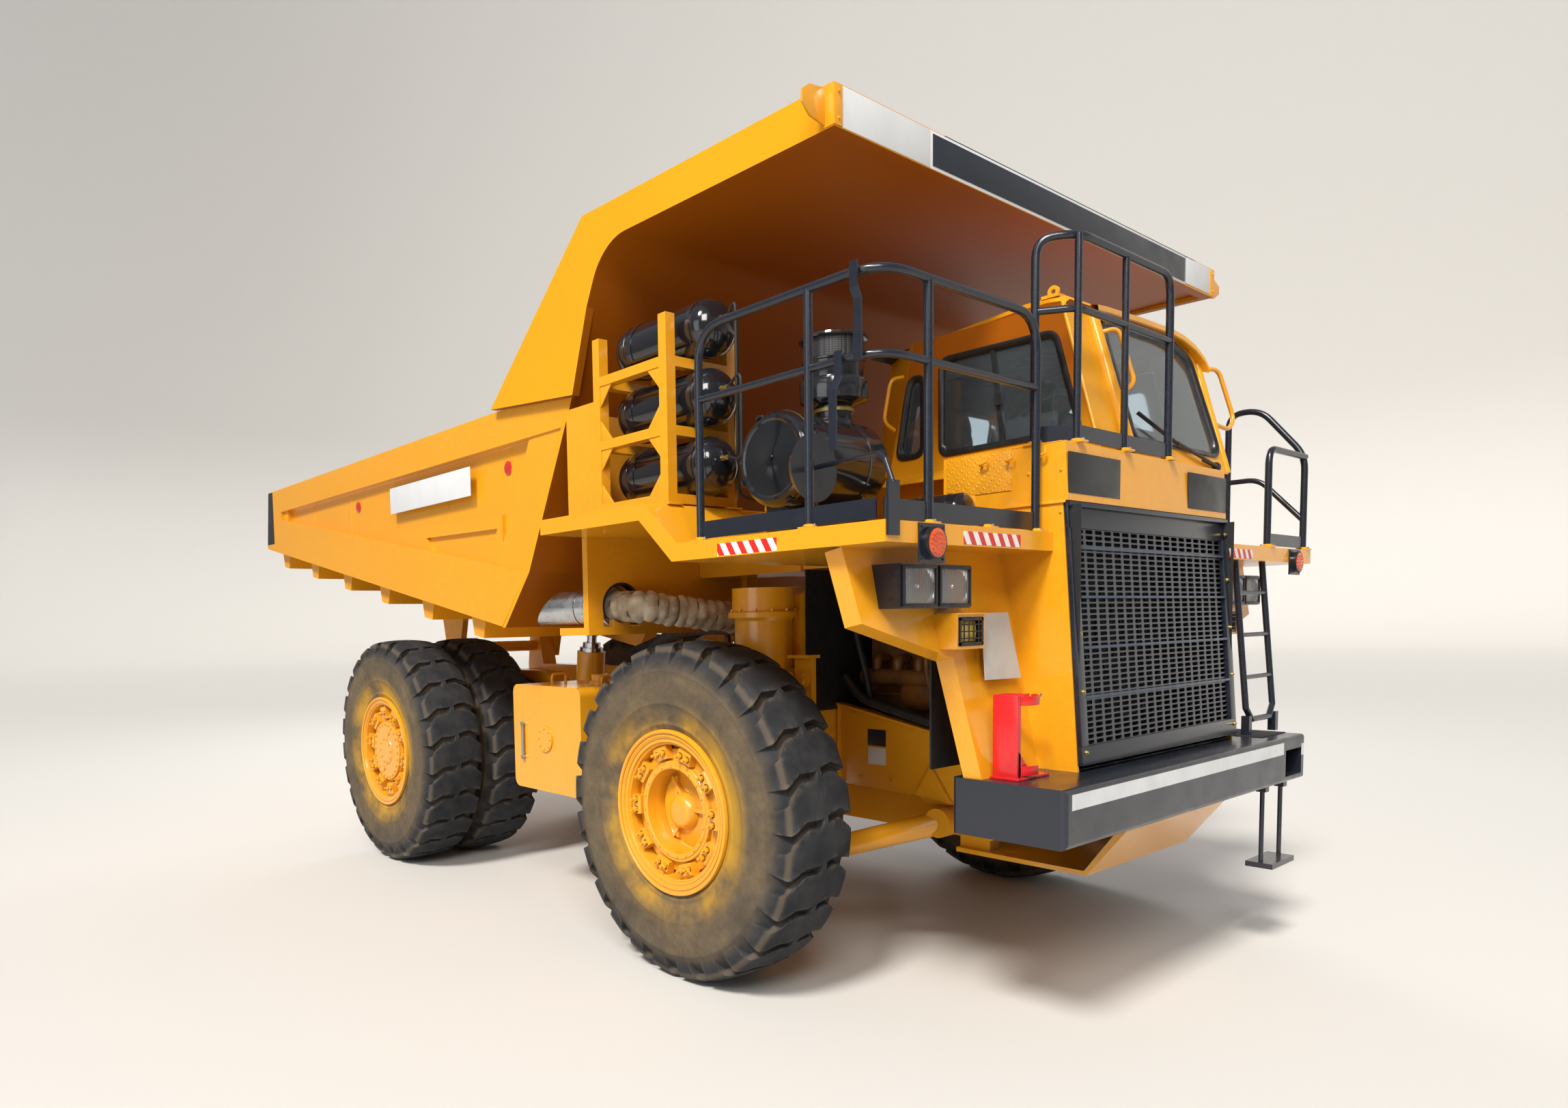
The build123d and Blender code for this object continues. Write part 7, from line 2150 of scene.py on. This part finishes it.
# ------------------------------------------------------------------ chassis
def build_engine_bay():
    valve_y, fan_z = 0.62, 1.78
    block = finish("Oily Engine Paint")
    black = finish("Soot Black Steel")
    bm = bmesh.new()
    for s in (-1, 1):
        y = s * 0.36
        for k in range(6):
            x = 2.47 + 0.15 * k
            add_box(bm, (x, y - 0.13 * (s > 0), 1.88), (x + 0.125, y + 0.13 * (s < 0), 1.945))
            add_tube(
                bm, ((x + 0.06, y, 1.72), (x + 0.06, y + s * 0.085, 1.72), (x + 0.06, y + s * 0.085, 1.64)), 0.03,
                0.03, 14,
            )
        add_bar(bm, (2.44, y + s * 0.09, 1.615), (3.36, y + s * 0.09, 1.615), 0.048, 24)
        add_box(bm, (2.45, y, 1.04), (3.35, y + s * 0.03, 1.1))
        for k in range(9):
            add_bolt(bm, (2.5 + 0.1 * k, y + s * 0.03, 1.07), (0, s, 0), 0.012, 0.01)
        add_lathe(
            bm, ((0, 0.0), (0, 0.095), (0.02, 0.105), (0.2, 0.105), (0.22, 0.09), (0.22, 0.0)),
            along((2.72, y + s * 0.02, 1.52), (3.2, y + s * 0.02, 1.52)), 32,
        )
        add_bar(bm, (2.5, y + s * 0.06, 1.42), (2.5, y + s * 0.06, 1.18), 0.052, 24)
    for z in (1.15, 1.32, 1.5):
        add_box(bm, (2.4, -0.368, z), (3.38, 0.368, z + 0.016))
    piece("engine_castings", bm, block, bevel=0.004)
    bm = bmesh.new()
    case = (
        (0.0, 0.0), (0.0, 0.3), (0.06, 0.34), (0.1, 0.42), (0.16, 0.43), (0.2, 0.37), (0.62, 0.34), (0.66, 0.38),
        (0.72, 0.38), (0.76, 0.31), (1.15, 0.27), (1.18, 0.16), (1.3, 0.14), (1.3, 0.0),
    )
    add_lathe(bm, case, along((2.28, 0, 1.4), (0.5, 0, 1.33)), 64)
    add_box(bm, (1.2, -0.3, 0.98), (1.95, 0.3, 1.14))
    for s in (-1, 1):
        add_box(bm, (1.35, s * valve_y - 0.11, 1.56), (1.88, s * valve_y + 0.11, 1.78))
        for k in range(5):
            add_bar(bm, (1.42 + 0.09 * k, s * valve_y, 1.78), (1.42 + 0.09 * k, s * valve_y, 1.86), 0.022, 12)
        add_box(bm, (0.98, s * 0.7 - 0.06, 1.56), (1.12, s * 0.7 + 0.06, 1.92))
        add_bar(bm, (0.7, s * 0.76, 1.64), (1.35, s * 0.76, 1.66), 0.026, 16)
    piece("transmission_case", bm, block, bevel=0.004)
    bm = bmesh.new()
    for s in (-1, 1):
        for k in range(4):
            x = 1.42 + 0.12 * k
            add_tube(
                bm,
                (
                    (x, s * valve_y, 1.86), (x, s * valve_y, 1.98), (x - 0.3, s * 0.66, 2.0),
                    (x - 0.7, s * 0.6, 1.86), (0.3, s * 0.56, 1.76),
                ),
                0.019, 0.1, 10,
            )
        add_tube(
            bm, ((1.95, s * 0.8, 1.88), (1.6, s * 0.82, 1.93), (1.1, s * 0.82, 1.9), (0.8, s * 0.76, 1.78)), 0.045,
            0.16, 16,
        )
    piece("valve_hoses", bm, finish("Dull Black Hose"), smooth_angle=60)
    bm = bmesh.new()
    add_box(bm, (2.335, -0.86, 1.42), (2.345, 0.86, 2.25))
    # Painted shade: this black sheet along the engine's left side stands in for the shade of the bay behind the
    # panels.
    add_box(bm, (2.345, 0.42, 0.98), (3.52, 0.43, 2.24))
    rows = []
    for k in range(41):
        a = 2 * pi * k / 40
        c, s = cos(a), sin(a)
        stretch = min(0.74 / max(abs(c), 1e-6), 0.6 / max(abs(s), 1e-6))
        rows.append(
            [
                Vector((x, c * r, fan_z + t * s))
                for x, r, t in ((3.32, 0.5, 0.5), (3.4, 0.5, 0.5), (3.41, 0.52, 0.52), (3.525, stretch, stretch))
            ]
        )
    add_grid(bm, rows)
    for k in range(7):
        blade = Matrix.Translation((3.36, 0, fan_z)) @ Matrix.Rotation(2 * pi * k / 7, 4, "X")
        add_prism(
            bm, ((-0.03, -0.06, 0.09), (0.03, 0.06, 0.09), (0.03, 0.09, 0.46), (-0.03, -0.09, 0.46)), (0.004, 0, 0),
            blade,
        )
    # Painted shade: the black back wall, side walls and floor inside the nose behind the grille, and the plate
    # outside the nose's right side, stand in for the shade there.
    add_box(bm, (3.655, -0.84, 1.25), (3.665, 0.84, 2.46))
    for s in (-1, 1):
        add_box(bm, (3.66, s * 0.846, 1.262), (3.985, s * 0.851, 2.46))
    add_box(bm, (3.66, -0.85, 1.2445), (3.985, 0.85, 1.25))
    add_box(bm, (3.5, -1.3, 1.25), (3.51, -0.84, 2.2))
    piece("fan_bulkhead_and_shade_sheets", bm, black, smooth_angle=40)
    bm = bmesh.new()
    for s in (-1, 1):
        hose = (
            (2.4, s * 0.585, 1.62), (2.52, s * 0.59, 1.49), (2.8, s * 0.59, 1.425), (3.13, s * 0.59, 1.35),
            (3.22, s * 0.55, 1.36),
        )
        add_tube(bm, hose, 0.026, 0.14, 16)
        add_tube(
            bm, ((2.42, s * 0.5, 2.2), (2.44, s * 0.54, 1.9), (2.54, s * 0.57, 1.66), (2.56, s * 0.55, 1.5)), 0.02,
            0.1, 12,
        )
        add_tube(
            bm, ((3.5, s * 0.42, 2.16), (3.2, s * 0.42, 2.1), (2.95, s * 0.4, 1.96), (2.9, s * 0.3, 1.9)), 0.04, 0.12,
            16,
        )
        add_tube(bm, ((2.62, s * 0.47, 2.22), (2.63, s * 0.5, 1.96), (2.7, s * 0.47, 1.78)), 0.014, 0.06, 10)
    piece("engine_hoses", bm, finish("Dull Black Hose"), smooth_angle=60)
    bm = bmesh.new()
    for s in (-1, 1):
        add_tube(
            bm, ((2.93, s * 0.52, 2.22), (2.93, s * 0.52, 1.62), (3.02, s * 0.52, 1.46), (3.02, s * 0.5, 1.3)), 0.017,
            0.07, 14,
        )
        add_tube(bm, ((2.74, s * 0.5, 2.2), (2.78, s * 0.5, 1.98), (3.02, s * 0.47, 1.9)), 0.01, 0.05, 10)
        for z in (2.12, 1.74):
            add_box(bm, (2.905, s * 0.5 - 0.03, z), (2.955, s * 0.5 + 0.04, z + 0.02))
    piece("engine_pipes", bm, block, smooth_angle=50)


class TRUCK_OT_engine_bay(bpy.types.Operator):
    """Fill the engine bay: covers, manifold, pipes and hoses, fan shroud and bulkhead, and black sheets of painted
    shade inside the nose and bay
    """

    bl_idname = "truck.engine_bay"
    bl_label = "Engine Bay"

    def execute(self, context):
        build_engine_bay()
        return {"FINISHED"}


def build_side_panels():
    bm, bolts, plate, strip = bmesh.new(), bmesh.new(), bmesh.new(), bmesh.new()
    top = ((2.335, 1.46), (2.42, 1.448), (2.7, 1.395), (2.95, 1.348), (3.18, 1.31))
    foot = ((3.18, 0.935), (2.965, 0.92), (2.9, 0.956), (2.56, 0.962), (2.335, 0.968))
    for s in (-1, 1):
        y = s * 0.532
        add_prism(bm, [(x, y, z) for x, z in top + foot], (0, s * 0.032, 0))
        for (x0, z0), (x1, z1) in zip(top, top[1:]):
            add_prism(bm, ((x0, y, z0 - 0.014), (x1, y, z1 - 0.014), (x1, y, z1), (x0, y, z0)), (0, s * 0.075, 0))
        add_prism(bm, ((2.335, y, 1.46), (2.335, y, 0.968), (2.35, y, 0.968), (2.35, y, 1.46)), (0, s * 0.06, 0))
        add_prism(
            bm, ((2.9, y + s * 0.032, 0.962), (3.14, y + s * 0.032, 0.94), (3.0, y + s * 0.032, 1.14)),
            (0, s * 0.024, 0),
        )
        for x, z in ((2.45, 1.4), (2.5, 1.02), (2.72, 1.02), (2.62, 1.36), (3.1, 1.26)):
            add_bolt(bolts, (x, y + s * 0.032, z), (0, s, 0), 0.013, 0.01)
        add_box(plate, (2.552, y + s * 0.0325, 1.215), (2.682, y + s * 0.0345, 1.312))
        add_box(strip, (2.556, y + s * 0.0325, 1.105), (2.682, y + s * 0.0345, 1.205))
    piece("front_side_panels", bm, yellow_paint(), bevel=0.003)
    piece("side_panel_bolts", bolts, yellow_paint())
    piece("blank_dark_plates", plate, finish("Board Black"), bevel=0.0005)
    piece("blank_pale_plates", strip, finish("Board White"), bevel=0.0005)
    bm = bmesh.new()
    for s in (-1, 1):
        middle = (FRONT_X, s * 1.05)
        up = along((*middle, 1.98), (*middle, 3.0))
        add_lathe(bm, ((0.0, 0.168), (0.0, 0.205), (0.03, 0.205), (0.036, 0.198), (0.036, 0.168)), up, 64)
        add_lathe(bm, ((-0.36, 0.168), (-0.36, 0.182), (-0.3, 0.182), (-0.296, 0.168)), up, 64)
        for dx, dy in around(12, 0.188):
            add_bolt(bm, (middle[0] + dx, middle[1] + dy, 2.016), (0, 0, 1), 0.013, 0.014)
        for k in (-1, 1):
            bracket = Vector((middle[0] + k * 0.17, middle[1], 1.66))
            add_tube(
                bm,
                (
                    bracket, bracket + Vector((k * 0.05, 0, 0)), bracket + Vector((k * 0.05, 0, -0.09)),
                    bracket + Vector((0, 0, -0.09)),
                ),
                0.008, 0.02, 10,
            )
        plate_x, y = middle[0] + 0.215, s * 1.0
        add_box(bm, (plate_x, y - 0.02, 1.16), (plate_x + 0.125, y + 0.02, 1.76))
        for z in (1.18, 1.745):
            add_box(bm, (plate_x - 0.03, y - 0.05, z), (plate_x + 0.13, y + 0.05, z + 0.018))
        for z in (1.42, 1.52, 1.62):
            add_lathe(
                bm, ((0, 0.04), (0.012, 0.04), (0.016, 0.026), (0.034, 0.024), (0.034, 0.0)),
                along((plate_x + 0.07, y + s * 0.02, z), (plate_x + 0.07, y + s, z)), 24,
            )
    piece("strut_flanges", bm, yellow_paint(), smooth_angle=35)
    bm = bmesh.new()
    add_box(bm, (3.3, -0.8745, 2.555), (3.655, -0.8705, 2.748))
    add_box(bm, (3.285, -0.8745, 2.345), (3.46, -0.8705, 2.555))
    add_box(bm, (3.3, -0.872, 2.7485), (3.9, -0.62, 2.7525))
    piece("tread_plates", bm, chequer_plate(), bevel=0.001)
    bm = bmesh.new()
    for x in (3.52, 3.66, 3.82):
        add_tube(
            bm,
            (
                (x - 0.018, -0.872, 2.69), (x - 0.018, -0.905, 2.69), (x + 0.022, -0.905, 2.7),
                (x + 0.022, -0.905, 2.726),
            ),
            0.006, 0.012, 10,
        )
    piece("coat_hooks", bm, yellow_paint())
    bm = bmesh.new()
    add_box(bm, (3.865, -1.582, 2.262), (3.8665, -1.149, 2.316))
    add_box(bm, (3.97, 0.829, 2.262), (3.9715, 1.16, 2.314))
    piece("deck_stripes", bm, striped("Red White Tape", *TAPE_COLOURS, TAPE_PITCH, TAPE_SLOPE))


class TRUCK_OT_side_panels(bpy.types.Operator):
    """Weld the front side panels with bolts and blank plates; add strut flanges, tread plates, hooks, tape"""

    bl_idname = "truck.side_panels"
    bl_label = "Side Panels"

    def execute(self, context):
        build_side_panels()
        return {"FINISHED"}


def build_chassis_fittings():
    bm, chrome = bmesh.new(), bmesh.new()
    for s in (-1, 1):
        y = s * 1.5
        filler = along((0.72, s * 1.18, 1.535), (0.72, s * 1.18, 2.0))
        add_lathe(
            bm, ((0, 0.075), (0.03, 0.075), (0.034, 0.062), (0.07, 0.062), (0.078, 0.056), (0.08, 0.0)), filler, 40
        )
        for x in (0.2, 0.82):
            add_tube(
                bm, ((x, s * 1.24, 1.535), (x, s * 1.24, 1.6), (x, s * 1.12, 1.6), (x, s * 1.12, 1.535)), 0.011, 0.03,
                12,
            )
        for x in (0.26, 0.74):
            add_box(bm, (x - 0.035, s * 0.87, 0.797), (x + 0.035, s * 1.49, 0.8))
        add_lathe(
            bm, ((0, 0.09), (0.014, 0.09), (0.014, 0.0)), along((0.5, y - s * 0.002, 1.17), (0.5, y + s, 1.17)), 48
        )
        for dx, dz in around(8, 0.072):
            add_bolt(bm, (0.5 + dx, y + s * 0.012, 1.17 + dz), (0, s, 0), 0.009, 0.008)
        add_bar(chrome, (0.22, y + s * 0.014, 1.02), (0.22, y + s * 0.014, 1.26), 0.012, 16)
        for z in (1.02, 1.26):
            add_bar(chrome, (0.22, y - s * 0.004, z), (0.22, y + s * 0.026, z), 0.016, 12)
    piece("tank_fittings", bm, yellow_paint(), smooth_angle=35)
    piece("sight_glasses", chrome, finish("Bright Zinc"))
    bm = bmesh.new()
    for s in (-1, 1):
        y = s * 0.545
        route = ((1.55, y, 1.08), (1.2, y, 1.05), (0.2, y, 1.07), (-0.2, y, 1.05), (-0.75, y, 1.3), (-1.6, y, 1.52))
        for lift in (0.0, 0.045):
            add_tube(bm, [Vector(p) + Vector((0, 0, lift)) for p in route], 0.014, 0.2, 10)
    piece("frame_hoses", bm, finish("Dull Black Hose"), smooth_angle=60)


class TRUCK_OT_chassis_fittings(bpy.types.Operator):
    """Add the side tanks' caps, handles, straps and sight glasses, and the hoses along the frame"""

    bl_idname = "truck.chassis_fittings"
    bl_label = "Chassis Fittings"

    def execute(self, context):
        build_chassis_fittings()
        return {"FINISHED"}


# ------------------------------------------------------------------ stage
def build_stage(context):
    scene = context.scene
    bm = bmesh.new()
    reach, rise, bend = 52.0, 50.0, 16.0
    profile = [(0.0, 0.0), (0.0, reach)]
    profile += [(bend - bend * cos(a), reach + bend * sin(a)) for a in (pi / 2 * i / 12 for i in range(1, 13))]
    profile.append((rise, reach + bend))
    add_lathe(bm, profile, Matrix.Rotation(radians(-90), 4, "Y"), 96)
    mesh = finish_mesh(bm, "Studio Floor", 80)
    floor = bpy.data.objects.new("Studio Floor", mesh)
    material, tree, shader = start_material("Pale Floor", 0.85)
    shader.inputs["Base Color"].default_value = (0.6, 0.59, 0.575, 1)
    shader.inputs["Emission Color"].default_value = (0.95, 0.93, 0.9, 1)
    axes = object_split(tree)[1]
    # Painted light: the wall's inner side that faces away from the sun, and the floor in the wall's shadow, glow for
    # camera rays only, so that they look as lit as the rest.
    shaded_wall = times(tree, ramp(tree, axes["Z"], 0.5, 12.0), ramp(tree, axes["Y"], 25.0, -45.0))
    shaded_wall = math_node(tree, "MAXIMUM", shaded_wall, ramp(tree, axes["Y"], -17.0, -34.0))
    seen = tree.nodes.new("ShaderNodeLightPath").outputs["Is Camera Ray"]
    painted_glow = times(tree, times(tree, shaded_wall, seen), 0.4)
    tree.links.new(painted_glow, shader.inputs["Emission Strength"])
    mesh.materials.append(material)
    scene.collection.objects.link(floor)
    world = scene.world or bpy.data.worlds.new("Studio Air")
    scene.world = world
    world.use_nodes = True
    background = world.node_tree.nodes["Background"]
    background.inputs["Color"].default_value = (0.8, 0.88, 1.0, 1)
    background.inputs["Strength"].default_value = 0.3
    lamps = (
        # name, place, aim, width, power, colour
        ("Key Softbox", (11.0, -9.0, 10.5), (0.0, 0.0, 1.6), 5.0, 1150, (1.0, 0.95, 0.88)),
        ("Fill Softbox", (3.0, -13.0, 4.5), (-0.5, 0.0, 1.4), 7.0, 260, (0.93, 0.96, 1.0)),
        ("Rim Softbox", (-9.0, 8.0, 9.0), (0.0, 0.0, 2.2), 6.0, 700, (1.0, 0.97, 0.93)),
    )
    for name, place, aim, width, power, colour in lamps:
        light = bpy.data.lights.new(name, "AREA")
        light.size = width
        light.energy = power
        light.color = colour
        lamp = bpy.data.objects.new(name, light)
        lamp.location = place
        lamp.rotation_euler = (Vector(aim) - Vector(place)).to_track_quat("-Z", "Y").to_euler()
        scene.collection.objects.link(lamp)
    sun = bpy.data.lights.new("High Sun", "SUN")
    sun.energy = 3.8
    sun.angle = radians(12)
    sun.color = (1.0, 0.95, 0.87)
    lamp = bpy.data.objects.new("High Sun", sun)
    lamp.rotation_euler = Vector((-0.22, 0.62, -0.75)).to_track_quat("-Z", "Y").to_euler()
    scene.collection.objects.link(lamp)
    camera = bpy.data.cameras.new("View Camera")
    camera.sensor_width = 36
    camera.lens = 22.43
    camera.shift_x = 0.08694
    camera.shift_y = 0.08814
    eye = bpy.data.objects.new("View Camera", camera)
    yaw, pitch, roll = radians(141.3466), radians(-4.0644), radians(-1.1592)
    forward = Vector((cos(pitch) * cos(yaw), cos(pitch) * sin(yaw), sin(pitch)))
    right = Vector((sin(yaw), -cos(yaw), 0))
    up = right.cross(forward)
    across = right * cos(roll) + up * sin(roll)
    upward = up * cos(roll) - right * sin(roll)
    place = Matrix((across, upward, -forward)).transposed().to_4x4()
    place.translation = (6.2269, -5.1642, 1.9631)
    eye.matrix_world = place
    scene.collection.objects.link(eye)
    scene.camera = eye
    scene.view_settings.view_transform = "Standard"
    scene.view_settings.look = "None"


class TRUCK_OT_stage(bpy.types.Operator):
    """Lay the pale floor, hang the soft lights and set the camera"""

    bl_idname = "truck.stage"
    bl_label = "Stage, Lights and Camera"

    def execute(self, context):
        build_stage(context)
        return {"FINISHED"}


class TRUCK_PT_panel(bpy.types.Panel):
    """Lists the operators that dress the truck"""

    bl_idname = "TRUCK_PT_panel"
    bl_label = "Dump Truck"
    bl_space_type = "VIEW_3D"
    bl_region_type = "UI"
    bl_category = "Dump Truck"

    def draw(self, context):
        layout = self.layout
        for attribute, _ in SETTINGS:
            settings = getattr(context.scene, attribute)
            box = layout.box()
            for name in settings.__annotations__:
                box.prop(settings, name)
        for operator in OPERATORS:
            layout.operator(operator.bl_idname)


SETTINGS = (
    ("truck_paint", TruckPaintSettings),
    ("truck_tyres", TruckTyreSettings),
    ("truck_front", TruckFrontSettings),
)
OPERATORS = (
    TRUCK_OT_stage,
    TRUCK_OT_solid_finishes,
    TRUCK_OT_tyres,
    TRUCK_OT_front_rims,
    TRUCK_OT_rear_rims,
    TRUCK_OT_grille,
    TRUCK_OT_bumper,
    TRUCK_OT_lamps,
    TRUCK_OT_guard_rails,
    TRUCK_OT_air_cleaner,
    TRUCK_OT_pressure_vessels,
    TRUCK_OT_exhaust,
    TRUCK_OT_bed_fittings,
    TRUCK_OT_cab_shell,
    TRUCK_OT_cab_windows,
    TRUCK_OT_driver_seat,
    TRUCK_OT_engine_bay,
    TRUCK_OT_side_panels,
    TRUCK_OT_chassis_fittings,
)


def register():
    for name, settings in SETTINGS:
        bpy.utils.register_class(settings)
        setattr(bpy.types.Scene, name, bpy.props.PointerProperty(type=settings))
    for operator in OPERATORS:
        bpy.utils.register_class(operator)
    bpy.utils.register_class(TRUCK_PT_panel)


def unregister():
    bpy.utils.unregister_class(TRUCK_PT_panel)
    for operator in reversed(OPERATORS):
        bpy.utils.unregister_class(operator)
    for name, settings in reversed(SETTINGS):
        delattr(bpy.types.Scene, name)
        bpy.utils.unregister_class(settings)


def main():
    register()
    for operator in OPERATORS:
        group, name = operator.bl_idname.split(".")
        getattr(getattr(bpy.ops, group), name)()


if __name__ == "__main__":
    main()
